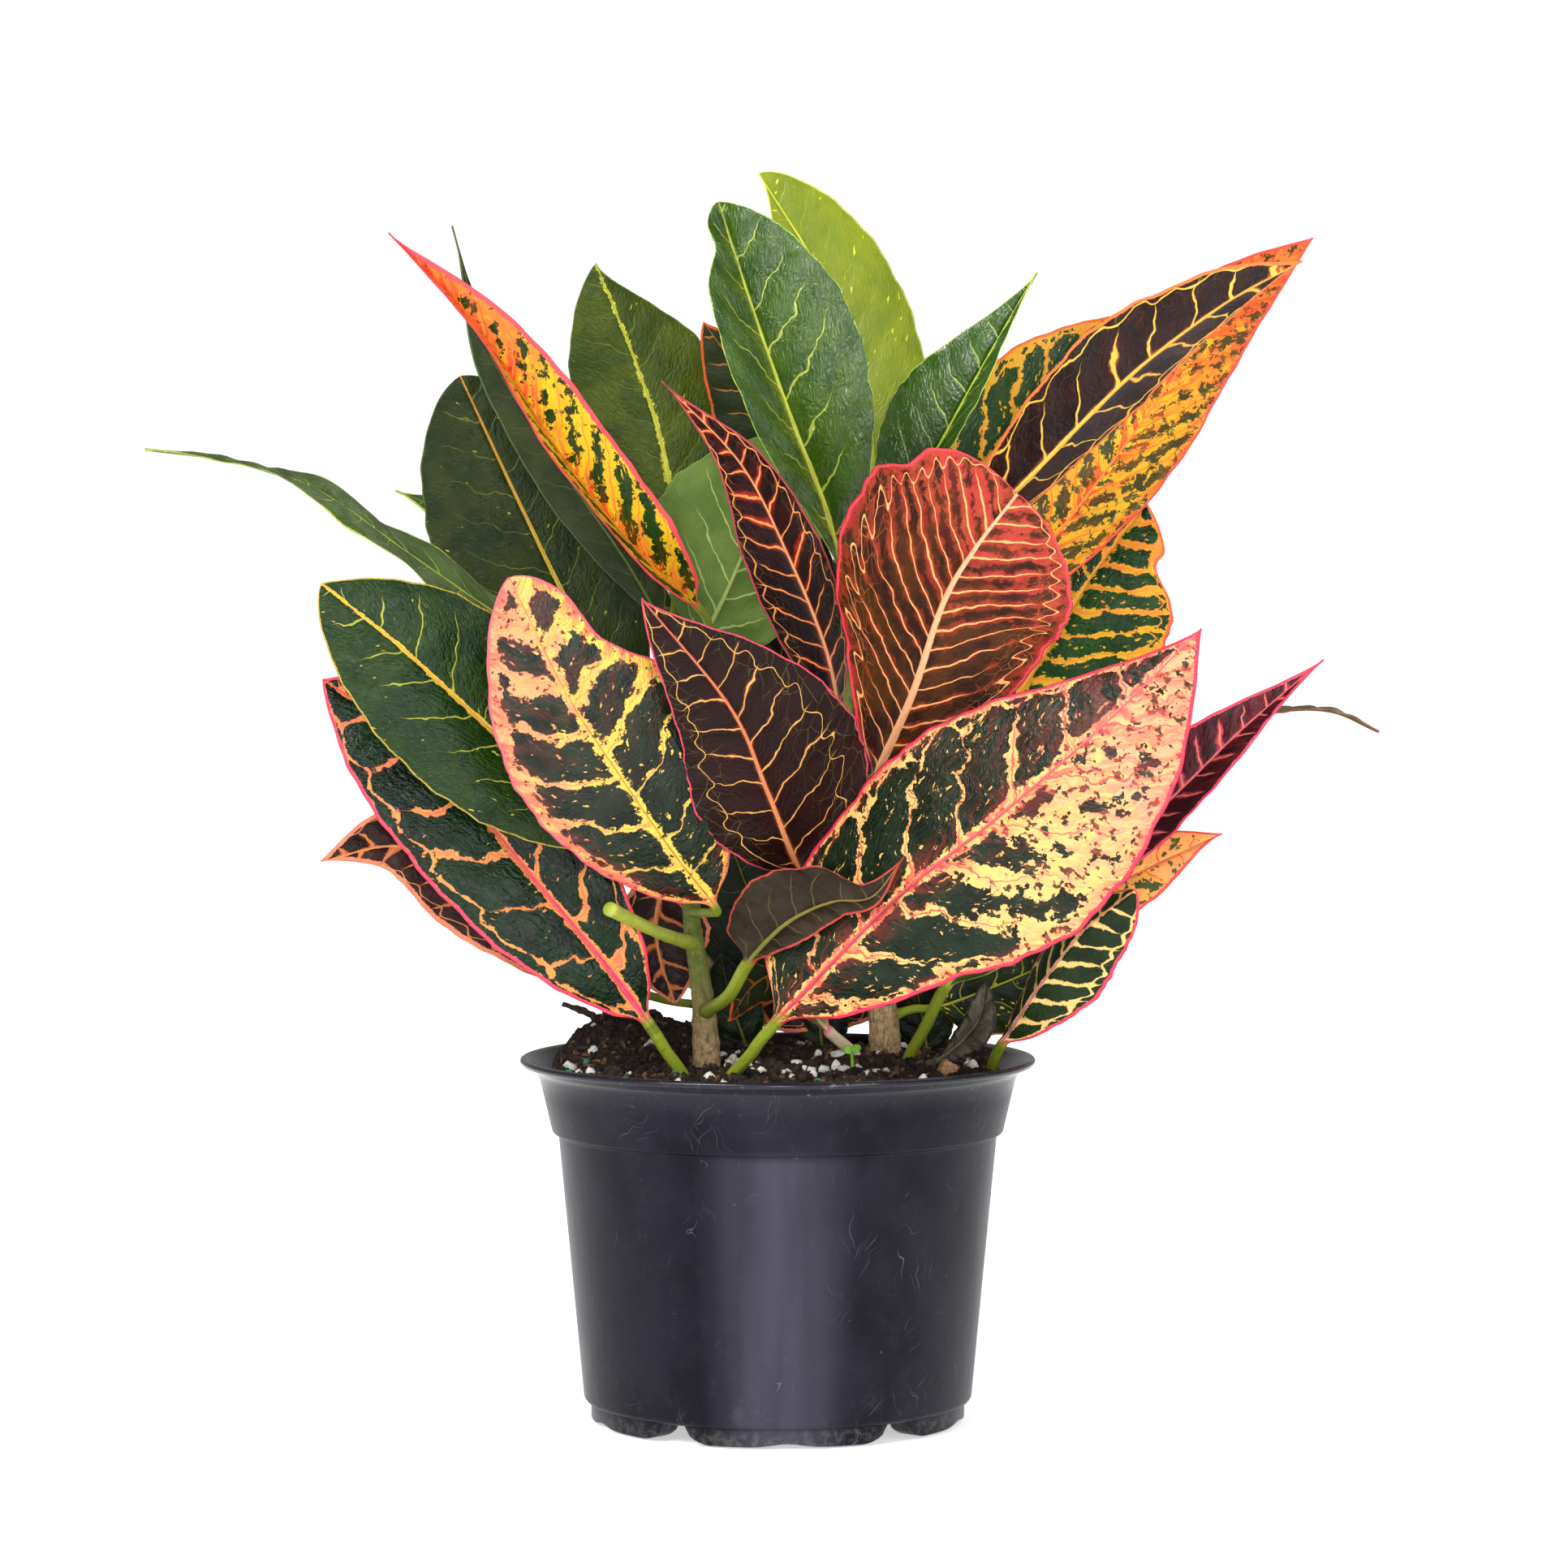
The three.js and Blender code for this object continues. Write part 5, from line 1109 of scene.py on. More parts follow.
@dataclass
class Leaf:
    """One leaf: stalk and blade as a closed skin that carries the measures its veins follow."""

    form: LeafForm
    seed: float
    stations: int = 84
    stalk_rings: int = 14
    blade_half: float = 0.24
    blade_end: float = 0.996
    opening: float = 0.09
    rib_heights: tuple[float, float, float] = (1.15, 1.0, 0.42)

    EDGE_STEPS = (0.12, 0.25, 0.4, 0.55, 0.7, 0.82, 0.92, 0.98, 1.0)
    RIB_STEPS = (0.45, 1.0, 1.8)
    SEED_STEP = 37

    def __post_init__(self) -> None:
        """Lay out the middle line."""
        root = self.form.root or tuple(STEMS[self.form.stem].at_height(self.form.z))
        self.line = Curve((root, *self.form.path))
        self.start = self.form.base / len(self.form.path)

    def share(self, s: np.ndarray, side: int) -> np.ndarray:
        """Share of the full half width at s.

        Args:
            s: Places on the blade, 0 at its base and 1 at its tip.
            side: -1 for the left half, 1 for the right half.

        Returns:
            One share for each place.
        """
        wide = self.form.widest
        bite_side, at, depth, span = self.form.bite
        to_tip = s > wide
        away = np.where(to_tip, (s - wide) / (1 - wide), (wide - s) / wide)
        low, high = self.form.ends[0 if side < 0 else 2], self.form.ends[1 if side < 0 else 3]
        bite = depth * np.exp(-(((s - at) / span) ** 2)) if bite_side == side else 0
        return np.clip(1 - away**2, 0, 1) ** np.where(to_tip, high, low) * (1 - bite)

    def frame(self, s: np.ndarray) -> tuple[np.ndarray, ...]:
        """Middle line, left and right half vectors and upper direction at the places s."""
        form = self.form
        t = lerp(self.start, 1, s)
        along = self.line.tangent(t)
        straight = self.line.tangent(lerp(self.start, 1, form.widest))[0]
        twist = np.radians(form.twist * (s - form.widest))
        left = spin(carry(np.array(form.left, float), straight, along), along, twist)
        right = spin(carry(np.array(form.right, float), straight, along), along, twist)
        return self.line.point(t), left, right, unit(np.cross(right - left, along))

    def wave(self, s: np.ndarray, shift: float) -> np.ndarray:
        """Lift of an edge at the places s, with a finer ruffle of its own."""
        size, waves, phase = self.form.wave
        lift = size * np.sin(2 * np.pi * (waves * s + phase + shift))
        fine = (np.sin(2 * np.pi * (s * 7.3 + self.seed + shift))
                + np.sin(2 * np.pi * (s * 12.1 + self.seed * 3)))
        return np.sin(np.pi * s) * (lift + self.form.look.ruffle * 0.6 * fine)

    def phase(self, along: np.ndarray, across: np.ndarray, widest: float) -> np.ndarray:
        """Which side vein a point of the blade lies near, as a number that counts them."""
        look = self.form.look
        far = np.abs(across)
        rise = far / math.tan(math.radians(look.slope)) + look.bow * far**2 / widest
        return (along - rise) / look.spacing + np.where(across > 0, 0.4, 0) + 0.37 * self.seed

    def build(self) -> bpy.types.Mesh:
        """Make the mesh: rings of points round the stalk, then across both sides of the blade."""
        form = self.form
        u = np.linspace(0, self.blade_end, self.stations)
        s = lerp(u, 0.5 - 0.5 * np.cos(np.pi * u), 0.55)
        centre, left, right, up = self.frame(s)
        run = run_along(centre)
        longest = max(np.linalg.norm(form.left), np.linalg.norm(form.right))
        at_base, along_blade, at_tip = self.rib_heights
        rib = lerp(lerp(along_blade, at_tip, s), at_base, 1 - ease(s, 0, 0.14))
        halves = {-1: self.half_width(s, -1, left), 1: self.half_width(s, 1, right)}
        places = [(-1, offset) for offset in reversed(self.offsets(rib, halves[-1]))]
        places += [(1, offset) for offset in [0 * s, *self.offsets(rib, halves[1])]]
        tops, lows, facts = [], [], []
        for side, offset in places:
            half = halves[side]
            near = self.near(rib, half)
            v = offset / half
            vein = self.phase(run, side * offset, longest)
            quilt = -form.look.quilt * np.cos(2 * np.pi * vein) * np.sin(np.pi * np.clip(v, 0, 1)) ** 0.7
            arch = form.cup * np.sin(np.pi * s) * (1 - (2 * v - 1) ** 2)
            lift = arch + self.wave(s, 0 if side < 0 else 0.4) * v**2 + quilt * ease(half, 1.5, 6)
            thick = self.blade_half * (1 - 0.75 * ease(v, 0.75, 1))
            keel = rib * np.exp(-((offset / near / 1.15) ** 2))
            groove = 0.28 * rib * np.exp(-((offset / near / 0.8) ** 2))
            base = centre + unit(left if side < 0 else right) * offset[:, None]
            tops.append(base + up * (lift + thick - groove)[:, None])
            lows.append(base + up * (lift - thick - keel)[:, None])
            facts.append(self.facts(s, run, side * offset, vein, v, s, half - offset, half))
        tops[0], tops[-1] = (0.5 * (tops[i] + lows[i]) for i in (0, -1))
        blade = np.stack(tops + lows[-2:0:-1], axis=1)
        measures = np.stack(facts + facts[-2:0:-1], axis=1)
        stalk, stalk_measures = self.stalk(len(places))
        round_start = self.ring_at(np.array([self.start]), len(places), np.array([form.stalk]))
        opened = ease(s, 0, self.opening)[:, None, None]
        blade = lerp(round_start + (centre - centre[0])[:, None], blade, opened)
        rings = np.concatenate([stalk, blade])
        return self.skin(rings, np.concatenate([stalk_measures, measures]), len(places))

    def half_width(self, s: np.ndarray, side: int, vectors: np.ndarray) -> np.ndarray:
        """Half width at the places s, a little uneven along its edge."""
        rough = (1 + 0.012 * np.sin(s * 41 + self.seed * 9 + side)
                 + 0.008 * np.sin(s * 97 + self.seed * 5))
        full = np.linalg.norm(vectors, axis=1)
        return np.maximum(full * self.share(s, side) * rough, lerp(0.9, 0.25, ease(s, 0, 0.6)))

    @staticmethod
    def near(rib: np.ndarray, half: np.ndarray) -> np.ndarray:
        """Width of the rib, which stays narrow where the blade is narrow."""
        return np.minimum(rib, half / 3.2)

    def offsets(self, rib: np.ndarray, half: np.ndarray) -> list[np.ndarray]:
        """Distances from the middle of the rib at which a half blade has its points."""
        close = [step * self.near(rib, half) for step in self.RIB_STEPS]
        return close + [lerp(close[-1], half, step) for step in self.EDGE_STEPS]

    def facts(self, like: np.ndarray, *measures: float | np.ndarray) -> np.ndarray:
        """Nine numbers for each point, which the veins follow.

        Args:
            like: Array with a value for each point, for the shape.
            measures: Run along the rib, distance across, count of side veins, share of the half
                width, share of the length, distance to the edge and half width.

        Returns:
            The measures with the leaf's seed after the second and its vein spacing as the last.
        """
        rows = [*measures[:2], self.seed * self.SEED_STEP, *measures[2:], self.form.look.spacing]
        return np.stack([np.broadcast_to(row, like.shape) for row in rows], axis=-1)

    def ring_at(self, t: np.ndarray, count: int, radius: np.ndarray) -> np.ndarray:
        """Rings of points round the stalk, in the order of the blade's own.

        Args:
            t: Shares of the whole line.
            count: Points across one side of the blade.
            radius: Radius of each ring.

        Returns:
            Points by ring, point and axis.
        """
        along = self.line.tangent(t)
        _, left, right, _ = self.frame(np.zeros(1))
        across = unit((right - left)[0] - along * np.sum(along * (right - left)[0], axis=1, keepdims=True))
        up = np.cross(across, along)
        sides = 2 * count - 2
        angles = np.pi - turns(sides)
        centre = self.line.point(t)
        return (centre[:, None, :]
                + across[:, None, :] * (radius[:, None] * np.cos(angles))[..., None]
                + up[:, None, :] * (radius[:, None] * np.sin(angles))[..., None])

    def stalk(self, count: int) -> tuple[np.ndarray, np.ndarray]:
        """Rings and measures of the stalk, which swells where it joins its stem."""
        stem = STEMS.get(self.form.stem)
        places = np.linspace(0, self.start, 60)
        run = run_along(self.line.point(places))
        inside = 0.0
        if stem:
            inside = 0.55 * float(np.interp(self.form.z, [p[2] for p in stem.points], stem.radii))
        first = float(np.interp(inside, run, places))
        t = np.linspace(first, self.start, self.stalk_rings + 1)[:-1]
        far = np.interp(t, places, run) - inside
        radius = self.form.stalk + 0.75 * np.exp(-((far / 3.2) ** 2))
        rings = self.ring_at(t, count, radius)
        back = (far - far[-1] - 1)[:, None]
        across = radius[:, None] * -np.cos(turns(2 * count - 2))
        return rings, self.facts(across, back, across, 0.5, 0.1, -0.1 + back * 0.002, 6, 10)

    def skin(self, rings: np.ndarray, measures: np.ndarray, count: int) -> bpy.types.Mesh:
        """Close the rings into a mesh with two material slots, the upper and the lower side.

        Args:
            rings: Points by ring, point and axis, in millimetres.
            measures: Nine numbers for each point.
            count: Points across the upper side, both edges included.

        Returns:
            The mesh.
        """
        many, sides, _ = rings.shape
        tip = self.line.point(1.0)
        points = np.vstack([rings.reshape(-1, 3), rings[0].mean(0), tip]) * MM
        last = measures[-1, sides // 4].copy()
        last[[1, 4, 6]] = 0
        facts = np.vstack([measures.reshape(-1, 9), measures[0, 0], last])
        around = [0] * (count - 1) + [1] * (sides - count + 1)
        slots = around * (many - 1)
        for slot in around:
            slots += [0, slot]
        mesh = mesh_from(self.form.name, points, closed_faces(many, sides))
        mesh.polygons.foreach_set("material_index", slots)
        for name, rows in zip(("leaf_flow", "leaf_vein", "leaf_edge"), np.split(facts, 3, axis=1)):
            note(mesh, name, rows)
        return mesh

    def dress(self, paints: BladeMaterials) -> bpy.types.Object:
        """Build the leaf, give it its two paints and put it in the place of its node."""
        mesh = self.build()
        mesh.materials.append(paints.material(self.form.look.upper, PAINTS[self.form.look.upper]))
        mesh.materials.append(paints.material(self.form.look.lower, PAINTS[self.form.look.lower]))
        nodes = () if self.form in YOUNG_LEAVES else (self.form.name,)
        return settle(self.form.name + "_blade", mesh, self.form.look.slot, *nodes)


# Meshes and pieces.


def mesh_from(name: str, points: np.ndarray, faces: Sequence[Sequence[int]]) -> bpy.types.Mesh:
    """A smooth mesh from points in metres and faces."""
    mesh = bpy.data.meshes.new(name)
    mesh.from_pydata([tuple(map(float, p)) for p in points], [], [tuple(map(int, f)) for f in faces])
    mesh.polygons.foreach_set("use_smooth", [True] * len(mesh.polygons))
    mesh.update()
    return mesh


def band_faces(rings: int, sides: int) -> list[tuple[int, ...]]:
    """Faces between rings of points that follow one another."""
    faces = []
    for start in range(0, (rings - 1) * sides, sides):
        for i in range(sides):
            a, b = start + i, start + (i + 1) % sides
            faces.append((a, b, b + sides, a + sides))
    return faces


def closed_faces(rings: int, sides: int) -> list[tuple[int, ...]]:
    """Faces between rings of points, and a fan to each of the two poles that follow the rings."""
    faces = band_faces(rings, sides)
    pole, last = rings * sides, (rings - 1) * sides
    for i in range(sides):
        j = (i + 1) % sides
        faces += [(pole, j, i), (pole + 1, last + i, last + j)]
    return faces


def joined(parts: Sequence[tuple[Sequence[Point], Sequence[tuple[int, ...]]]]) -> tuple[np.ndarray, list]:
    """Points and faces of several skins, as those of one."""
    points, faces = [], []
    for more, skin in parts:
        faces += [tuple(k + len(points) for k in face) for face in skin]
        points += [tuple(point) for point in more]
    return np.array(points), faces


def note(mesh: bpy.types.Mesh, name: str, rows: np.ndarray) -> None:
    """Write a vector for each point of a mesh, which its material reads by name."""
    layer = mesh.attributes.new(name, "FLOAT_VECTOR", "POINT")
    layer.data.foreach_set("vector", rows.astype(np.float32).ravel())


def bare(name: str, data: bpy.types.ID) -> bpy.types.Object:
    """A new object in the scene, not yet a piece of the part."""
    thing = bpy.data.objects.new(name, data)
    bpy.context.scene.collection.objects.link(thing)
    return thing


def settle(name: str, mesh: bpy.types.Mesh, slot: Slot, *nodes: str) -> bpy.types.Object:
    """Put a finished mesh into the scene as a piece of the part.

    Args:
        name: Name of the piece.
        mesh: Its mesh, already in place.
        slot: Material slot of the record that it takes its finish from; not used.
        nodes: CAD nodes that it stands for.

    Returns:
        The object.
    """
    piece = bare(name, mesh)
    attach(piece, BODY)
    if nodes:
        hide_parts(*nodes)
    log.info("%s: %d faces", name, len(mesh.polygons))
    return piece


def applied(carrier: bpy.types.Object) -> bpy.types.Mesh:
    """The mesh that a carrier's modifiers make of it; the carrier itself goes away."""
    bpy.context.view_layer.update()
    depsgraph = bpy.context.evaluated_depsgraph_get()
    mesh = bpy.data.meshes.new_from_object(carrier.evaluated_get(depsgraph))
    carrier.modifiers.clear()
    name = carrier.data.name
    bpy.data.objects.remove(carrier)
    mesh.name = name
    mesh.polygons.foreach_set("use_smooth", [True] * len(mesh.polygons))
    return mesh


def tube(name: str, centres: np.ndarray, radii: np.ndarray, relief: np.ndarray | None = None,
         sides: int = 20) -> bpy.types.Mesh:
    """A closed tube along points in millimetres.

    Args:
        name: Name of the mesh.
        centres: Points of the middle line.
        radii: Radius at each point.
        relief: Height over the radius by point and side.
        sides: Number of sides.

    Returns:
        The mesh, with the run along it and the turn round it as the attribute tube_flow.
    """
    along = unit(np.gradient(centres, axis=0))
    across = unit(np.cross(np.array([1, 0.2, 0.05]), along))
    other = np.cross(along, across)
    angles = turns(sides)
    reach = radii[:, None] + (0 if relief is None else relief)
    rings = (centres[:, None] + across[:, None] * (reach * np.cos(angles))[..., None]
             + other[:, None] * (reach * np.sin(angles))[..., None])
    many = len(centres)
    points = np.vstack([rings.reshape(-1, 3), centres[0], centres[-1]]) * MM
    mesh = mesh_from(name, points, closed_faces(many, sides))
    run = run_along(centres)
    flow = np.zeros((many, sides, 3))
    flow[..., 0] = run[:, None]
    flow[..., 1] = radii.mean() * np.cos(angles)
    flow[..., 2] = radii.mean() * np.sin(angles)
    note(mesh, "tube_flow", np.vstack([flow.reshape(-1, 3), [run[0], 0, 0], [run[-1], 0, 0]]))
    return mesh


# Scattered small things, by Geometry Nodes.


class Strew:
    """A Geometry Nodes tree that strews small lumps over the faces or the points of a mesh."""

    def __init__(self, name: str, on_points: bool, subdivisions: int) -> None:
        """Draw the tree.

        Args:
            name: Name of the tree.
            on_points: Put one lump on each point of the host instead of strewing over faces.
            subdivisions: Fineness of each lump; 1 has 20 faces, 2 has 80.
        """
        self.tree = bpy.data.node_groups.new(name, "GeometryNodeTree")
        face = self.tree.interface
        kinds = {"Geometry": "Geometry", "Seed": "Int", "Material": "Material"}
        for key in ("Geometry", "Density", "Least", "Most", "Long", "Flat", "Rough", "Seed", "Material"):
            face.new_socket(name=key, in_out="INPUT", socket_type="NodeSocket" + kinds.get(key, "Float"))
        face.new_socket(name="Geometry", in_out="OUTPUT", socket_type="NodeSocketGeometry")
        g = Graph(self.tree)
        of = g.given()
        if on_points:
            spots = g.out("GeometryNodeMeshToPoints", {"Mesh": of["Geometry"]})
        else:
            spots = g.out("GeometryNodeDistributePointsOnFaces",
                          {"Mesh": of["Geometry"], "Density": of["Density"], "Seed": of["Seed"]},
                          distribute_method="RANDOM")
        lump = g.out("GeometryNodeMeshIcoSphere", {"Radius": 1.0, "Subdivisions": subdivisions})
        shaped = g.out("GeometryNodeTransform",
                       {"Geometry": lump, "Scale": g.vector(of["Long"], 1.0, of["Flat"])})
        size = self.random(g, "FLOAT", of["Least"], of["Most"], of["Seed"])
        whole_turn = (6.3, 6.3, 6.3)
        turned = self.random(g, "FLOAT_VECTOR", (0, 0, 0), whole_turn, of["Seed"])
        placed = g.out("GeometryNodeInstanceOnPoints", {
            "Points": spots, "Instance": shaped, "Scale": size, "Rotation": turned})
        real = g.out("GeometryNodeRealizeInstances", {0: placed})
        where = g.out("GeometryNodeInputPosition")
        noise = g.out("ShaderNodeTexNoise", {"Vector": where, "Scale": 700.0, "Detail": 1.0}, 1)
        centred = g.out("ShaderNodeVectorMath", {0: noise, 1: (0.5, 0.5, 0.5)}, operation="SUBTRACT")
        push = g.out("ShaderNodeVectorMath", {0: centred, "Scale": of["Rough"]}, operation="SCALE")
        rough = g.out("GeometryNodeSetPosition", {"Geometry": real, "Offset": push})
        done = g.out("GeometryNodeSetMaterial", {"Geometry": rough, "Material": of["Material"]})
        g.node("NodeGroupOutput", {0: done})

    @staticmethod
    def random(g: Graph, kind: str, low: object, high: object, seed: Signal) -> Signal:
        """A random value of a kind between low and high, for each point."""
        node = g.node("FunctionNodeRandomValue", data_type=kind)
        pair = [item for item in node.inputs if item.enabled and item.name in ("Min", "Max")]
        g.put(pair[0], low)
        g.put(pair[1], high)
        g.put(node.inputs["Seed"], seed)
        return Signal(g, next(item for item in node.outputs if item.enabled))

    def lay(self, name: str, host: bpy.types.Mesh, **inputs: object) -> bpy.types.Mesh:
        """Strew over a host mesh and return the lumps as a plain mesh.

        Args:
            name: Name of the result.
            host: Mesh that is strewn over; it isn't part of the result.
            inputs: Values for the tree's named inputs.

        Returns:
            The lumps.
        """
        carrier = bare(name, host)
        modifier = carrier.modifiers.new("Strew", "NODES")
        modifier.node_group = self.tree
        for item in self.tree.interface.items_tree:
            if item.item_type == "SOCKET" and item.in_out == "INPUT" and item.name in inputs:
                modifier[item.identifier] = inputs[item.name]
        mesh = applied(carrier)
        mesh.name = name
        return mesh


# Finishes of the pot, the soil and the wood.


@dataclass(frozen=True)
class Finish:
    """A finish of two tones, drawn on Object coordinates in millimetres."""

    name: str
    shade: str
    shade_2: str

    def material(self) -> bpy.types.Material:
        """Make the material."""
        material, g = fresh_material(self.name)
        self.draw(g, g.place())
        return material

    def draw(self, g: Graph, at: Signal) -> None:
        """Draw the finish at each place of the piece."""
        raise NotImplementedError

    def tones(self, g: Graph, share: Signal) -> Signal:
        """The second tone laid over the first."""
        return g.mix(share, tone(self.shade), tone(self.shade_2))


@dataclass(frozen=True)
class PotPlastic(Finish):
    """Satin black moulded plastic with scuffs, fine scratches, dust and lime near its lip, and a painted
    sheen in four soft upright bands that stands for the highlight on its body.
    """

    name: str = "pot_satin_black"
    shade: str = "#1b1a21"
    shade_2: str = "#24222b"
    # flow is the colour of the painted sheen: lighter bands that stand for a highlight.
    flow: str = "#4a4855"
    dust: str = "#8d8780"
    lime: str = "#b9b4b0"
    roughness: float = 0.34

    def draw(self, g: Graph, at: Signal) -> None:
        """Draw the painted sheen in upright bands, the scuffs and the dust."""
        x, y, z = g.parts(at)
        angle = g.math("ARCTAN2", y, x)
        turn = angle * 75
        drawn = g.vector(turn, z * 0.1, 5)
        cloud = g.noise(at, 0.035, 4, 0.6)
        body = self.tones(g, g.spread(cloud, 0.35, 0.7))
        # Painted sheen: four soft upright lighter bands round the body below the collar, brightest at the
        # front.
        painted_sheen = g.math("COSINE", (angle + math.pi / 2) * 4)
        painted_sheen = g.math("POWER", g.spread(painted_sheen, 0, 1, smooth=False), 1.3)
        painted_sheen_streaks = g.spread(g.noise(drawn, 0.09, 3, 0.6), 0, 1, 0.35, 0.85)
        painted_sheen = painted_sheen * painted_sheen_streaks * g.spread(z, 92, 86, 0.12, 1)
        body = g.mix(painted_sheen, body, tone(self.flow))
        scratch = self.hairlines(g, turn, z, 0.28, 3)
        hair = self.hairlines(g, turn, z, -0.9, 11)
        off_fleck, _ = g.cells(g.vector(turn, z, 0), 0.22)
        fleck = g.inside(0.1, off_fleck, 0.05)
        flecks = fleck * g.spread(g.noise(at, 0.12, 2), 0.6, 0.7)
        low = g.spread(z, 26, 4)
        near_lip = g.spread(z, 100, 110)
        dust_here = g.spread(g.noise(at, 0.14, 4, 0.7), 0.52, 0.8) * (0.05 + low * 0.16)
        feet = g.spread(z, 7, 3) * g.spread(g.noise(at, 0.4, 4, 0.7), 0.42, 0.66)
        lime = near_lip * g.spread(g.noise(at, 0.33, 5, 0.75), 0.6, 0.72)
        colour = g.mix(g.most(scratch, hair) * 0.3, body, tone("#83818c"))
        colour = g.mix(flecks * 0.25, colour, tone(self.dust))
        colour = g.mix(dust_here * 0.35, colour, tone(self.dust))
        colour = g.mix(feet * 0.16, colour, tone(self.dust))
        colour = g.mix(lime * 0.3, colour, tone(self.lime))
        streak = g.noise(drawn, 0.4, 3, 0.6)
        gloss = (streak - 0.5) * 0.14 + (cloud - 0.5) * 0.12
        gloss = gloss + (dust_here * 0.3 + lime * 0.2)
        gloss = self.roughness + (gloss - near_lip * 0.12)
        relief = g.noise(at, 1.6, 3) * 0.5 + g.most(scratch, hair) * -0.6
        g.surface(Base_Color=colour, Roughness=gloss, Specular_IOR_Level=0.1, Coat_Weight=near_lip * 0.4,
                  Coat_Roughness=0.22, Normal=g.bump(relief, 0.00005))

    @staticmethod
    def hairlines(g: Graph, turn: Signal, z: Signal, lean: float, seed: float) -> Signal:
        """Short straight scratches that lean from the upright, in a few worn places."""
        across = turn * math.cos(lean) + z * math.sin(lean)
        along = z * math.cos(lean) - turn * math.sin(lean)
        bent = across + g.noise(g.vector(turn, z, seed), 0.05, 2) * 30
        line = g.noise(g.vector(bent * 2.6, along * 0.05, seed), 1.0, 1)
        worn = g.noise(g.vector(turn, z, seed), 0.03, 3, 0.6)
        return g.spread(line, 0.69, 0.75) * g.spread(worn, 0.46, 0.62)


@dataclass(frozen=True)
class Earth(Finish):
    """Damp peat: dark crumbs with paler fibres."""

    fibre: str
    grain: float = 0.55

    def draw(self, g: Graph, at: Signal) -> None:
        """Draw the crumbs and the fibres."""
        base = self.tones(g, g.spread(g.noise(at, self.grain, 4, 0.7), 0.38, 0.64))
        off_bit, chance = g.cells(at, 0.45)
        luck, _, _ = g.parts(chance)
        fibres = g.math("GREATER_THAN", luck, 0.86) * g.inside(0.5, off_bit, 0.2) * 0.8
        base = g.mix(fibres, base, tone(self.fibre))
        relief = g.noise(at, 1.4, 5, 0.75)
        g.surface(Base_Color=base, Roughness=g.spread(relief, 0.3, 0.7, 0.75, 0.98), Specular_IOR_Level=0.3,
                  Normal=g.bump(relief, 0.0006))


@dataclass(frozen=True)
class Grain(Finish):
    """A small hard lump, such as perlite or a coated feed prill."""

    roughness: float
    relief: float

    def draw(self, g: Graph, at: Signal) -> None:
        """Draw the pits."""
        pits = g.noise(at, 1.8, 4, 0.7)
        colour = g.mix(g.spread(pits, 0.35, 0.6), tone(self.shade_2), tone(self.shade))
        gloss = g.spread(pits, 0, 1, self.roughness - 0.1, self.roughness + 0.1)
        g.surface(Base_Color=colour, Roughness=gloss, Normal=g.bump(pits, self.relief))


@dataclass(frozen=True)
class Bark(Finish):
    """Stem bark: tan and cracked below, green towards the top, with pale leaf scars."""

    crack: str
    young: str
    young_from: float

    def draw(self, g: Graph, at: Signal) -> None:
        """Draw the cracks and the scars, with the run of the stem from its attribute."""
        _, _, z = g.parts(at)
        run, turn_x, turn_y = g.parts(g.attribute("tube_flow"))
        drawn = g.vector(run * 0.22, turn_x, turn_y)
        cloud = g.noise(at, 0.5, 4, 0.65)
        colour = self.tones(g, g.spread(cloud, 0.35, 0.68))
        cracks = g.spread(g.noise(drawn, 1.1, 4, 0.7), 0.36, 0.46, 1, 0)
        colour = g.mix(cracks * 0.55, colour, tone(self.crack))
        off_spot, _ = g.cells(g.vector(run * 0.6, turn_x, turn_y), 0.6)
        colour = g.mix(g.inside(0.22, off_spot, 0.1) * 0.5, colour, tone("#d9c4a0"))
        young = g.spread(z + (cloud - 0.5) * 34, self.young_from - 16, self.young_from + 14)
        green = g.mix(g.spread(cloud, 0.4, 0.6), tone(self.young), tone("#8a8f4c"))
        colour = g.mix(young, colour, green)
        relief = cracks * -0.7 + g.noise(at, 2.2, 4, 0.7)
        g.surface(Base_Color=colour, Roughness=g.spread(cloud, 0.3, 0.7, 0.6, 0.85),
                  Specular_IOR_Level=0.35, Normal=g.bump(relief, 0.00035))


@dataclass(frozen=True)
class Tissue(Finish):
    """Soft green growth or dry wood on a small piece: two tones and a fine grain."""

    roughness: float = 0.45
    grain: float = 0.8
    relief: float = 0.0002

    def draw(self, g: Graph, at: Signal) -> None:
        """Draw the grain."""
        cloud = g.noise(at, self.grain, 4, 0.65)
        fine = g.noise(at, 3.0, 4, 0.7)
        colour = self.tones(g, g.spread(cloud, 0.38, 0.64))
        colour = g.mix(g.spread(fine, 0.55, 0.75) * 0.3, colour, tone(self.shade_2))
        gloss = g.spread(fine, 0, 1, self.roughness - 0.08, self.roughness + 0.12)
        g.surface(Base_Color=colour, Roughness=gloss, Normal=g.bump(fine, self.relief))


# The pot.


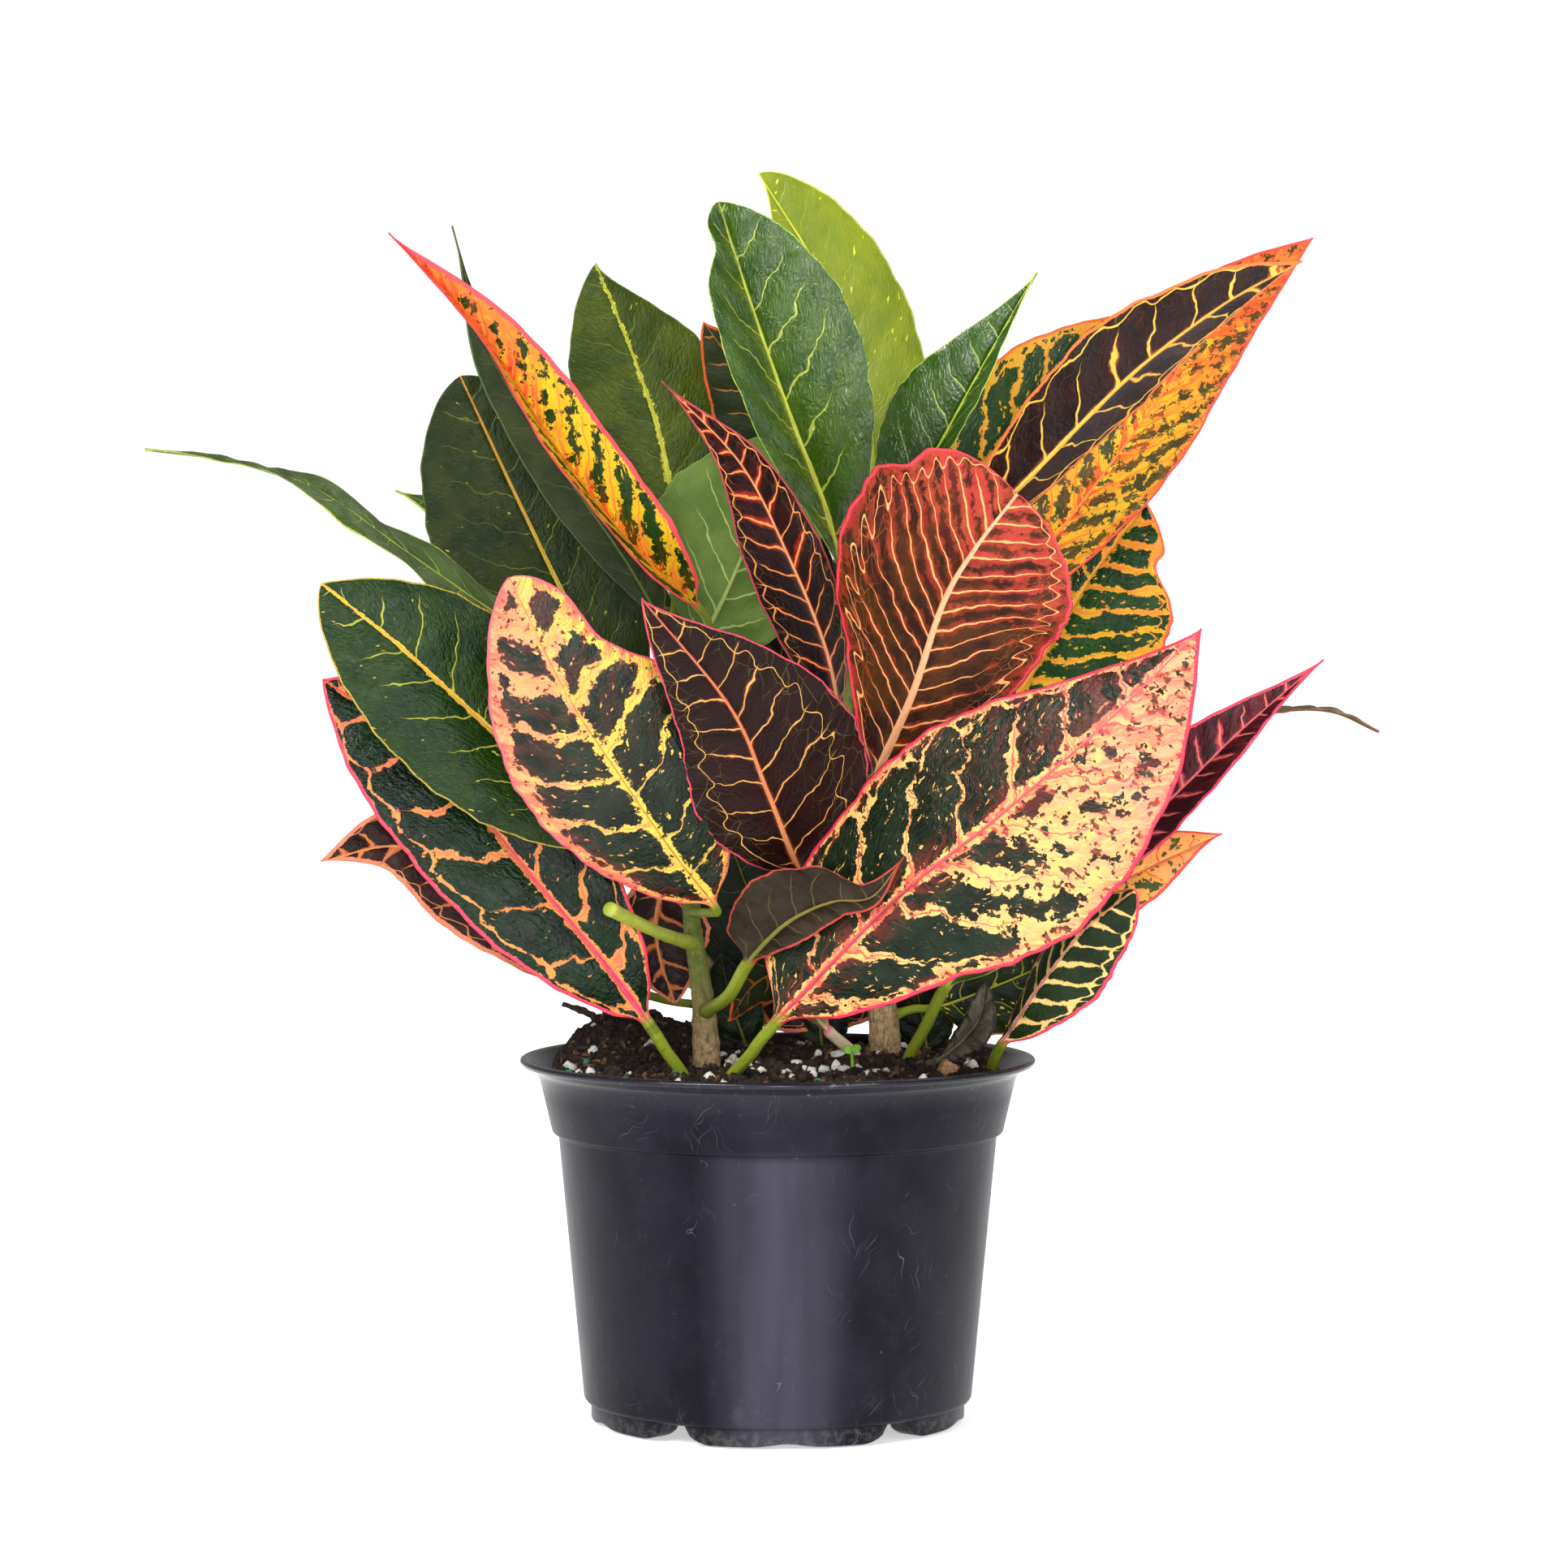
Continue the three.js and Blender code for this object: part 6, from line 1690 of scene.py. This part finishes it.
@dataclass
class Pot:
    """The nursery pot: a thin turned shell with a rolled lip, five feet and five drain holes."""

    sides: int = 160
    height: float = 112.5
    foot_height: float = 5.6
    lip_radius: float = 80
    collar_top_radius: float = 73.5
    collar_foot_radius: float = 70.2
    collar_foot_z: float = 90.2
    body_top_radius: float = 68
    body_foot_radius: float = 60.2
    wall: float = 1.6
    floor_top: float = 7.6
    foot_ring_radius: float = 58
    foot_ring_width: float = 9
    feet: int = 5
    foot_turn: float = 3
    foot_angle: float = 64
    foot_notch: float = 0.2
    drain_radius: float = 5
    drain_ring: float = 44
    finish: PotPlastic = PotPlastic()

    def body_radius(self, z: float) -> float:
        """Radius of the outer wall below the collar at height z."""
        top = self.collar_foot_z - 1.4
        return lerp(self.body_foot_radius, self.body_top_radius, (z - self.foot_height)
                    / (top - self.foot_height))

    def inside_profile(self, inset: float) -> list[tuple[float, float]]:
        """The inside of the wall as radius and height, from the floor's middle up, moved in by inset."""
        return [
            (0, self.floor_top + inset),
            (self.body_radius(self.floor_top) - self.wall - 2 - inset, self.floor_top + inset),
            (self.body_radius(self.floor_top + 2) - self.wall - inset, self.floor_top + 2 + inset),
            (self.body_top_radius - self.wall - inset, self.collar_foot_z - 1.6),
            (self.collar_foot_radius - self.wall - inset, self.collar_foot_z + 0.6),
            (self.collar_top_radius - self.wall - inset, self.height - 6),
        ]

    def outside_profile(self) -> list[tuple[float, float, float]]:
        """The outside of the wall and the lip as radius, height and rounding, from the floor up."""
        top, lip, high = self.collar_top_radius, self.lip_radius, self.height
        return [
            (0, self.foot_height, 0),
            (self.body_foot_radius - 1.2, self.foot_height, 0.9),
            (self.body_foot_radius, self.foot_height + 1.2, 1.0),
            (self.body_top_radius, self.collar_foot_z - 1.4, 0.8),
            (self.collar_foot_radius - 0.3, self.collar_foot_z - 0.7, 0.7),
            (self.collar_foot_radius, self.collar_foot_z + 0.6, 0.7),
            (top, high - 7.6, 2.2),
            (top + 1.0, high - 4.6, 1.5),
            (top + 3.2, high - 3.1, 1.2),
            (lip - 0.5, high - 2.1, 0.6),
            (lip, high - 1.1, 0.6),
            (lip - 0.5, high - 0.2, 0.5),
            (lip - 1.8, high, 0.8),
            (lip - 3.4, high - 0.7, 0.9),
            (top + 1, high - 2.8, 1.2),
        ]

    def profile(self) -> list[tuple[float, float]]:
        """The whole section with its corners rounded."""
        corners = self.outside_profile() + [(r, z, 0.8) for r, z in reversed(self.inside_profile(0))]
        points = [corners[0][:2]]
        for before, corner, after in zip(corners, corners[1:], corners[2:]):
            here = np.array(corner[:2])
            to_before = np.array(before[:2]) - here
            to_after = np.array(after[:2]) - here
            a, b = np.linalg.norm(to_before), np.linalg.norm(to_after)
            cut = min(corner[2], 0.45 * a, 0.45 * b)
            start, end = here + to_before / a * cut, here + to_after / b * cut
            for share in (0, 0.33, 0.67, 1):
                point = (1 - share) ** 2 * start + 2 * share * (1 - share) * here + share**2 * end
                points.append(tuple(point))
        points.append(corners[-1][:2])
        return points

    def shell(self) -> bpy.types.Mesh:
        """The turned shell: its profile round the axis, closed at both poles."""
        profile = self.profile()
        inner = profile[1:-1]
        angles = turns(self.sides)
        rings = [np.stack([r * np.cos(angles), r * np.sin(angles), np.full(self.sides, z)], 1)
                 for r, z in inner]
        points = np.vstack([*rings, (0, 0, profile[0][1]), (0, 0, profile[-1][1])]) * MM
        return mesh_from("pot_shell", points, closed_faces(len(inner), self.sides))

    def foot(self, turn: float) -> tuple[np.ndarray, list[tuple[int, ...]]]:
        """One foot: a curved bar, round at its ends and low in its middle.

        Args:
            turn: Direction of its middle from the front, in degrees.

        Returns:
            Its points in millimetres and its faces.
        """
        steps = 40
        rings = []
        for u in np.linspace(-1, 1, steps + 1):
            angle = math.radians(turn - 90 + u * self.foot_angle / 2)
            rounded = min(1, 1.12 * math.sqrt(max(0, 1 - u**6)))
            notch = 1 - self.foot_notch * math.exp(-((u / 0.2) ** 2))
            low = self.foot_height * (1 - rounded * notch)
            soft = min(0.8, self.foot_height - low)
            section = [(self.foot_ring_width, low + soft), (self.foot_ring_width, self.foot_height + 1),
                       (0, self.foot_height + 1), (0, low + soft), (0.25, low + 0.25 * soft), (0.9, low),
                       (self.foot_ring_width - 0.9, low), (self.foot_ring_width - 0.25, low + 0.25 * soft)]
            for inward, z in section:
                far = self.foot_ring_radius - inward
                rings.append((far * math.cos(angle), far * math.sin(angle), z))
        n = len(section)
        ends = [tuple(range(n - 1, -1, -1)), tuple(range(steps * n, (steps + 1) * n))]
        return np.array(rings), band_faces(steps + 1, n) + ends

    def drain(self, turn: float) -> tuple[np.ndarray, list[tuple[int, ...]]]:
        """The plug that cuts one drain hole, turned from the front by so many degrees."""
        n = 32
        angle = math.radians(turn - 90)
        x = self.drain_ring * math.cos(angle) + self.drain_radius * np.cos(turns(n))
        y = self.drain_ring * math.sin(angle) + self.drain_radius * np.sin(turns(n))
        points = [np.column_stack([x, y, np.full(n, self.foot_height + rise)]) for rise in (-4, 7)]
        return np.vstack(points), band_faces(2, n) + [tuple(range(n - 1, -1, -1)), tuple(range(n, 2 * n))]

    def many(self, name: str, make: Callable, offset: float) -> bpy.types.Object:
        """Five of the same round the axis, as one carrier for a boolean."""
        points, faces = joined([make(self.foot_turn + (i + offset) * 360 / self.feet)
                                for i in range(self.feet)])
        return bare(name, mesh_from(name, points * MM, faces))

    def build(self) -> bpy.types.Mesh:
        """The shell joined with its feet and opened by its drain holes."""
        carrier = bare("pot_shell", self.shell())
        helpers = []
        for operation, make, offset in (("UNION", self.foot, 0), ("DIFFERENCE", self.drain, 0.5)):
            helper = self.many(f"pot_{operation.lower()}", make, offset)
            helper.hide_render = True
            modifier = carrier.modifiers.new(operation.title(), "BOOLEAN")
            modifier.operation = operation
            modifier.solver = "EXACT"
            modifier.object = helper
            helpers.append(helper)
        mesh = applied(carrier)
        for helper in helpers:
            bpy.data.objects.remove(helper)
        mesh.set_sharp_from_angle(angle=math.radians(50))
        return mesh

    def dress(self) -> None:
        """Build the pot and give it its plastic."""
        mesh = self.build()
        mesh.materials.append(self.finish.material())
        settle("pot_shell", mesh, Slot.POT, "pot")


# The soil and what lies on it.


@dataclass
class Soil:
    """The filling: a bed with a mound at the back left, crumbs, bark, perlite and feed prills."""

    pot: Pot
    level: float = 109
    rings: int = 46
    sides: int = 120
    gap: float = 0.3
    seed: int = 11
    strewn_reach: float = 68
    crumbs_reach: float = 69.5
    loose_perlite: int = 16
    prills: tuple[tuple[float, float], ...] = ((-64, -20), (-55, -38), (-46, -44), (-59, -8), (-31, -32),
                                               (12, -56), (44, -46), (-20, 40), (30, 50))
    perlite: tuple[tuple[float, float], ...] = ((-61, -22), (-57, -26), (-64, -10), (-45, -36), (-17, 2),
                                                (-14, -6), (-11, -10), (-9, -14), (-15, -12), (-12, 8),
                                                (-10, -2), (-8, -22), (-5, -26), (-3, -18), (0, -24),
                                                (3, -30), (6, -12), (8, -20), (10, -27), (12, -15),
                                                (14, -23), (16, -32), (18, -18), (20, -26), (4, -40),
                                                (11, -38), (-2, -44), (19, 6), (27, -34), (33, -22),
                                                (-30, -46), (46, -34), (-40, 8), (-30, 60), (10, 62),
                                                (40, 44), (58, 12), (-58, 20), (60, -8))

    def height(self, x: np.ndarray, y: np.ndarray) -> np.ndarray:
        """Height of the soil at x and y, as in the part's source."""
        mound = 14 * np.exp(-(((x + 50) / 27) ** 2 + ((y - 36) / 30) ** 2))
        around = 3 * np.exp(-(((x - 10) / 34) ** 2 + ((y - 14) / 34) ** 2))
        lumps = 0.7 * np.sin(x * 0.31 + 1) * np.sin(y * 0.27 + 2)
        edge = 2.5 * np.maximum(0, (np.hypot(x, y) - 62) / 10)
        return self.level + mound + around + lumps - edge

    def crumble(self, x: np.ndarray, y: np.ndarray) -> np.ndarray:
        """Small lumps of the surface, the same each time."""
        total = np.zeros_like(x)
        random = np.random.default_rng(self.seed)
        for size, amount in ((0.55, 0.5), (0.9, 0.35), (1.5, 0.3), (2.3, 0.2)):
            for _ in range(5):
                turn, shift = random.uniform(0, 2 * np.pi, 2)
                total += amount * 0.45 * np.sin((x * np.cos(turn) + y * np.sin(turn)) * size + shift)
        return total

    def surface(self) -> tuple[np.ndarray, list[tuple[int, ...]]]:
        """Points of the top, ring by ring from the wall inwards, and its faces."""
        mouth = (lerp(self.pot.collar_foot_radius, self.pot.collar_top_radius, 0.6) - self.pot.wall
                 - self.gap)
        angles = turns(self.sides)
        rings = []
        for i in range(self.rings):
            radius = mouth * (1 - i / self.rings)
            x, y = radius * np.sin(angles), -radius * np.cos(angles)
            z = self.height(x, y) + (self.crumble(x, y) if i else 0)
            rings.append(np.stack([x, y, z], 1))
        points = np.vstack([*rings, (0, 0, self.height(np.array(0.0), np.array(0.0)))])
        faces = band_faces(self.rings, self.sides)
        last = (self.rings - 1) * self.sides
        faces += [(last + i, last + (i + 1) % self.sides, self.rings * self.sides)
                  for i in range(self.sides)]
        return points, faces

    def bed(self) -> bpy.types.Mesh:
        """The whole filling: the top, and the sides and bottom inside the pot."""
        top, faces = self.surface()
        angles = turns(self.sides)
        points = [top]
        count = len(top)
        above = 0
        for radius, z in reversed(self.pot.inside_profile(self.gap)[1:-1]):
            points.append(np.stack([radius * np.sin(angles), -radius * np.cos(angles),
                                    np.full(self.sides, z)], 1))
            faces += [(count + i, count + (i + 1) % self.sides, above + (i + 1) % self.sides, above + i)
                      for i in range(self.sides)]
            above = count
            count += self.sides
        points.append(np.array([[0, 0, self.pot.floor_top + self.gap]]))
        faces += [(above + (i + 1) % self.sides, above + i, count) for i in range(self.sides)]
        return mesh_from("soil_bed", np.vstack(points) * MM, faces)

    def host(self, reach: float) -> bpy.types.Mesh:
        """The part of the top within a radius, for strewing."""
        points, faces = self.surface()
        kept = [f for f in faces if max(np.hypot(points[k][0], points[k][1]) for k in f) < reach]
        return mesh_from("soil_top", points * MM, kept)

    def spots(self, name: str, places: Sequence[tuple[float, float]], lift: float) -> bpy.types.Mesh:
        """Single points on the soil at the given places."""
        xy = np.array(places, float)
        z = self.height(xy[:, 0], xy[:, 1]) + lift
        return mesh_from(name, np.column_stack([xy, z]) * MM, [])

    def dress(self) -> None:
        """Build the bed and strew what lies on it."""
        peat = Earth("potting_peat", "#1a1310", "#42322a", "#8a6a50").material()
        bark = Earth("bark_bits", "#5a4030", "#80583c", "#a67c58", 0.9).material()
        white = Grain("perlite", "#efebe4", "#cfc8bd", 0.8, 0.0004).material()
        teal = Grain("feed_prill", "#1f7a66", "#15594a", 0.35, 0.00005).material()
        bed = self.bed()
        bed.materials.append(peat)
        settle("soil_bed", bed, Slot.SOIL, "soil")
        self.strew("soil_crumbs", peat, self.host(self.crumbs_reach), Density=240000.0,
                   Least=0.00035, Most=0.0014, Long=1.2, Flat=0.8, Rough=0.0011, Seed=3)
        self.strew("soil_clods", peat, self.host(self.strewn_reach), Density=14000.0,
                   Least=0.0014, Most=0.0031, Long=1.3, Flat=0.7, Rough=0.0024, Seed=6)
        self.strew("soil_bark_bits", bark, self.host(self.strewn_reach), Density=16000.0,
                   Least=0.0006, Most=0.0016, Long=2.2, Flat=0.45, Rough=0.0012, Seed=8)
        random = np.random.default_rng(5)
        far = 64 * np.sqrt(random.random(self.loose_perlite))
        turn = 2 * np.pi * random.random(self.loose_perlite)
        more = np.column_stack([far * np.cos(turn), far * np.sin(turn)])
        self.strew("soil_perlite", white, self.spots("perlite_spots", (*self.perlite, *more), 0.6),
                   Least=0.0008, Most=0.0021, Long=1.25, Flat=0.85, Rough=0.0026, Seed=2)
        self.strew("soil_feed_prills", teal, self.spots("prill_spots", self.prills, 0.9),
                   Least=0.0012, Most=0.0016, Long=1.0, Flat=1.0, Rough=0.0, Seed=4)

    @staticmethod
    def strew(name: str, material: bpy.types.Material, host: bpy.types.Mesh, **inputs: float) -> None:
        """Lay lumps over the faces of a host, or on its points where it has no faces."""
        on_points = not host.polygons
        tree = Strew(name + "_strewn", on_points, subdivisions=2 if on_points else 1)
        settle(name, tree.lay(name, host, Material=material, **inputs), Slot.SOIL)


# The stems and the small pieces.


@dataclass
class Stem:
    """A woody stem with swollen rings and half-moon scars where old leaves stood."""

    key: str
    form: StemForm
    spacing: float = 8.5
    sides: int = 40
    rings: int = 220
    ring_half: float = 1.3
    scar_half: float = 0.6

    def build(self) -> bpy.types.Mesh:
        """Make the stem as a tube with a relief."""
        t = np.linspace(0, 1, self.rings)
        centres = self.form.line.point(t)
        radii = self.form.radius(t)
        run = run_along(centres)
        turn = turns(self.sides)[None]
        relief = np.zeros((self.rings, self.sides))
        shift = {"a": 0.0, "b": 2.0, "c": 4.0}[self.key]
        for k in range(int(run[-1] / self.spacing)):
            z = (k + 0.4) * self.spacing + 1.5 * math.sin(k * 2.3 + shift)
            around = np.cos(turn - (k * 2.4 + shift))
            ring = np.exp(-(((run[:, None] - z) / self.ring_half) ** 2))
            scar = np.exp(-(((run[:, None] - z - 0.5) / self.scar_half) ** 2))
            relief += ring * (0.16 + 0.42 * np.clip(around, 0, 1) ** 3)
            relief -= 0.28 * scar * np.clip(around, 0, 1) ** 8
        relief += 0.12 * np.sin(3 * turn + run[:, None] * 0.25 + shift) * np.sin(run[:, None] * 0.11)
        return tube(f"stem_{self.key}_wood", centres, radii, relief, self.sides)

    def dress(self) -> None:
        """Build the stem and give it its bark."""
        mesh = self.build()
        bark = Bark(f"croton_bark_{self.key}", "#c4a67c", "#98795a", "#4c3826", "#6c7c2c",
                    young_from=self.form.bark_top)
        mesh.materials.append(bark.material())
        settle(f"stem_{self.key}_wood", mesh, Slot.STEM, f"stem_{self.key}")


@dataclass
class Oddments:
    """The cut stalk, the twig, the chip of wood and the seedling."""

    stalk_root: float = 148
    stalk_path: tuple[Point, ...] = ((-36, -40, 154), (-50, -66, 163))
    stalk_radii: tuple[float, ...] = (2.5, 2.0, 1.9, 2.2)
    twig_path: tuple[Point, ...] = ((-52, 34, 112), (-58, 33, 121.5), (-68, 31, 126))
    twig_radii: tuple[float, ...] = (1.3, 1.1, 1.2, 0.7)
    chip_size: Point = (5.5, 4.0, 5.0)
    chip_place: Point = (52, -21, 110.5)
    chip_turns: tuple[tuple[float, int, int], ...] = ((0.5, 2, 0), (0.3, 0, 1))
    chip_squares: int = 8
    seedling_path: tuple[Point, ...] = ((23, -20, 104), (23, -20, 110), (22.6, -20, 115.5))
    seedling_radii: tuple[float, ...] = (0.7, 0.55, 0.5)
    seed_leaves: tuple[tuple[float, float, float], ...] = ((21.8, 116.2, 0.35), (24.0, 116.7, -0.3))
    seed_leaf_reach: tuple[float, float] = (1.6, 1.5)
    seed_leaf_lean: float = 0.9

    @staticmethod
    def rod(name: str, points: Sequence[Point], radii: Sequence[float], knobs: float = 0.06,
            steps: int = 40, sides: int = 18) -> bpy.types.Mesh:
        """A slightly knobbly rod along a smooth line."""
        t = np.linspace(0, 1, steps)
        centres = Curve(points).point(t)
        thick = np.interp(t, np.linspace(0, 1, len(radii)), radii)
        turn = turns(sides)[None]
        relief = (knobs * thick[:, None] * (np.sin(t[:, None] * 23 + 2 * turn)
                                            + np.sin(t[:, None] * 51 - turn)))
        return tube(name, centres, thick, relief, sides)

    def cut_stalk(self) -> None:
        """The stump of a cut leaf stalk on stem a."""
        root = tuple(STEMS["a"].at_height(self.stalk_root))
        mesh = self.rod("cut_stalk_green", (root, *self.stalk_path), self.stalk_radii, 0.015)
        mesh.materials.append(Tissue("stalk_green", "#98a836", "#b4b84a", 0.42, 0.4).material())
        settle("cut_stalk_green", mesh, Slot.STALK, "cut_stalk")

    def twig(self) -> None:
        """The dark twig stuck in the soil."""
        mesh = self.rod("twig_dark", self.twig_path, self.twig_radii, 0.12)
        mesh.materials.append(Tissue("twig_bark", "#2a1f19", "#4a3a2e", 0.85, 1.2, 0.0005).material())
        settle("twig_dark", mesh, Slot.DEAD_WOOD, "twig_in_soil")

    def chip(self) -> None:
        """The pale chip of wood at the right: a split block with worn edges."""
        points, faces = self.block()
        for angle, i, j in self.chip_turns:
            c, s = math.cos(angle), math.sin(angle)
            a, b = points[:, i].copy(), points[:, j].copy()
            points[:, i], points[:, j] = c * a - s * b, s * a + c * b
        mesh = mesh_from("wood_chip_split", (points + self.chip_place) * MM, faces)
        fix_outward(mesh)
        mesh.materials.append(Tissue("split_wood", "#d9ae84", "#b98a5e", 0.75, 1.4, 0.0006).material())
        settle("wood_chip_split", mesh, Slot.PALE_WOOD, "wood_chip")

    def block(self) -> tuple[np.ndarray, list[tuple[int, ...]]]:
        """Points and faces of the chip about its middle, before it is turned."""
        n = self.chip_squares
        grid = np.linspace(-0.5, 0.5, n + 1)
        points, faces, seen = [], [], {}
        for axis, sign in product(range(3), (-0.5, 0.5)):
            index = np.zeros((n + 1, n + 1), int)
            for i, j in product(range(n + 1), repeat=2):
                p = np.insert(grid[[i, j]], axis, sign)
                key = tuple(np.round(p, 4))
                if key not in seen:
                    seen[key] = len(points)
                    worn = p * (1 - 0.16 * np.sum(np.abs(p) > 0.49) / 3)
                    split = 0.03 * np.sin(p[0] * 31) * np.array([0, 1, 1])
                    points.append(self.chip_size * (worn + split * (np.abs(p) > 0.3)))
                index[i, j] = seen[key]
            flip = (sign > 0) == (axis == 1)
            for i, j in product(range(n), repeat=2):
                quad = (index[i, j], index[i + 1, j], index[i + 1, j + 1], index[i, j + 1])
                faces.append(quad[::-1] if flip else quad)
        return np.array(points), faces

    def seedling(self) -> None:
        """The seedling: a thin stalk with two round seed leaves."""
        stalk = self.rod("seedling_stalk", self.seedling_path, self.seedling_radii, 0.02, sides=12)
        parts = [([tuple(v.co) for v in stalk.vertices], [tuple(f.vertices) for f in stalk.polygons])]
        parts += [self.seed_leaf(*row) for row in self.seed_leaves]
        mesh = mesh_from("seedling_green", *joined(parts))
        fix_outward(mesh)
        mesh.materials.append(Tissue("seedling_green", "#8fcf3c", "#6fae2f", 0.4, 0.5).material())
        settle("seedling_green", mesh, Slot.SEEDLING, "seedling")

    def seed_leaf(self, x: float, z: float, tilt: float) -> tuple[list[Point], list[tuple[int, ...]]]:
        """One round seed leaf as a slightly cupped disc; it faces the front, leaning by tilt."""
        rings, n = 6, 24
        wide, high = self.seed_leaf_reach
        points = []
        for side in (1, -1):
            for k in range(rings if side > 0 else rings - 1):
                far = k / (rings - 1)
                for i in range(n):
                    a = 2 * math.pi * i / n
                    lift = 0.3 * far**2 + side * 0.3 * math.sqrt(max(0, 1 - far**2))
                    points.append(np.array([wide * far * math.cos(a), high * far * math.sin(a), lift]))
        c, s = math.cos(self.seed_leaf_lean), math.sin(self.seed_leaf_lean)
        ct, st = math.cos(tilt), math.sin(tilt)
        made = []
        for p in points:
            q = np.array([p[0], c * p[1] - s * p[2], s * p[1] + c * p[2]])
            q = np.array([ct * q[0] + st * q[2], q[1], -st * q[0] + ct * q[2]])
            made.append(tuple((q + (x, -20, z)) * MM))
        faces = []
        under = rings * n
        for k in range(rings - 1):
            for i in range(n):
                j = (i + 1) % n
                faces.append((k * n + i, k * n + j, (k + 1) * n + j, (k + 1) * n + i))
                low = [under + k * n + i, under + k * n + j]
                out = [under + (k + 1) * n + j, under + (k + 1) * n + i]
                if k == rings - 2:
                    out = [(rings - 1) * n + j, (rings - 1) * n + i]
                faces.append((low[1], low[0], out[1], out[0]))
        return made, faces

    def dress(self) -> None:
        """Build all four."""
        self.cut_stalk()
        self.twig()
        self.chip()
        self.seedling()


def fix_outward(mesh: bpy.types.Mesh) -> None:
    """Merge doubles and turn all faces of a closed mesh outwards."""
    work = bmesh.new()
    work.from_mesh(mesh)
    bmesh.ops.remove_doubles(work, verts=work.verts, dist=1e-7)
    bmesh.ops.recalc_face_normals(work, faces=work.faces)
    work.to_mesh(mesh)
    work.free()
    mesh.update()


# The studio.


@dataclass
class Studio:
    """Pale floor, soft lights and the camera at the photograph's angle."""

    distance: float = 1.624
    eye_height: float = 0.275
    pitch: float = 0.048
    lens: float = 120.63
    shift_x: float = 0.004
    surroundings: float = 0.36
    seen_white: float = 1.05
    floor_glow: float = 0.5
    floor_half: float = 3.0
    floor_drop: float = 0.0005

    def floor(self) -> None:
        """A wide pale floor with a faint grain."""
        half = self.floor_half
        mesh = mesh_from("studio_floor", np.array([(-half, -half, 0), (half, -half, 0), (half, half, 0),
                                                   (-half, half, 0)]), [(0, 1, 2, 3)])
        material, g = fresh_material("pale_floor")
        at = g.place()
        colour = g.mix(g.noise(at, 0.01, 3), (0.88, 0.88, 0.88, 1), (0.92, 0.92, 0.92, 1))
        g.surface(Base_Color=colour, Roughness=g.spread(g.noise(at, 0.02, 2), 0, 1, 0.75, 0.95),
                  Specular_IOR_Level=0.1, Emission_Color=(1, 1, 1, 1), Emission_Strength=self.floor_glow)
        mesh.materials.append(material)
        plane = bare("studio_floor", mesh)
        plane.location.z = -self.floor_drop

    def area(self, name: str, place: Point, target: Point, size: tuple[float, float], power: float) -> None:
        """A soft rectangular light.

        Args:
            name: Name of the light.
            place: Where it hangs, in metres.
            target: What it points at.
            size: Its width and height.
            power: Its power in watts.
        """
        data = bpy.data.lights.new(name, "AREA")
        data.shape = "RECTANGLE"
        data.size, data.size_y = size
        data.energy = power
        self.hang(data, place, target)

    def sun(self, name: str, place: Point, strength: float, spread: float) -> None:
        """An even light from far away, as soft as its spread in degrees."""
        data = bpy.data.lights.new(name, "SUN")
        data.energy = strength
        data.angle = math.radians(spread)
        self.hang(data, place, (0, 0, 0.15))

    def hang(self, data: bpy.types.Light, place: Point, target: Point) -> None:
        """Put a light in its place and point it at its target."""
        lamp = bare(data.name, data)
        lamp.location = place
        lamp.visible_camera = False
        lamp.rotation_euler = (Vector(target) - Vector(place)).to_track_quat("-Z", "Y").to_euler()

    def world(self) -> None:
        """Surroundings that are white to look at and light the plant more softly."""
        world = bpy.data.worlds.new("white_studio")
        bpy.context.scene.world = world
        world.use_nodes = True
        g = Graph(world.node_tree)
        seen = g.out("ShaderNodeLightPath", output="Is Camera Ray")
        strength = g.spread(seen, 0, 1, self.surroundings, self.seen_white, smooth=False)
        g.node("ShaderNodeOutputWorld", {0: g.out("ShaderNodeBackground", {
            "Color": (1, 1, 1, 1), "Strength": strength})})

    def camera(self) -> None:
        """The camera, which looks down a little from the front."""
        data = bpy.data.cameras.new("photo_camera")
        data.lens = self.lens
        data.sensor_width = 36
        data.shift_x = self.shift_x
        camera = bare("photo_camera", data)
        camera.location = (0, -self.distance, self.eye_height)
        camera.rotation_euler = (math.pi / 2 - self.pitch, 0, 0)
        bpy.context.scene.camera = camera

    def build(self) -> None:
        """Set up the studio."""
        self.floor()
        self.world()
        self.camera()
        self.sun("key", (-1.0, -1.5, 1.5), 2.15, 20)
        self.sun("back", (0.8, 0.9, 1.6), 0.8, 40)
        self.area("window_left", (-1.1, -1.0, 1.0), (0, 0, 0.25), (0.5, 1.0), 9)
        self.area("window_right", (1.1, -1.3, 0.9), (0, 0, 0.25), (0.25, 0.8), 8)
        self.area("low_right", (0.42, -0.8, 0.05), (0.02, 0, 0.3), (0.22, 0.4), 3)
        self.area("front_strip", (0.04, -2.2, 0.25), (0, 0, 0.05), (0.3, 0.5), 16)
        bpy.context.scene.view_settings.view_transform = "Standard"


def main() -> None:
    """Build everything in order."""
    logging.basicConfig(level=logging.INFO, format="%(name)s: %(message)s")
    Studio().build()
    pot = Pot()
    pot.dress()
    Soil(pot).dress()
    for key, form in STEMS.items():
        Stem(key, form).dress()
    Oddments().dress()
    paints = BladeMaterials()
    forms = [*LEAVES, DRY_LEAF, *(back_leaf(*row) for row in BACK_LEAVES), *YOUNG_LEAVES]
    for index, form in enumerate(forms):
        Leaf(form, seed=(index * GOLDEN_SHARE) % 1 * 10).dress(paints)


if __name__ == "__main__":
    main()
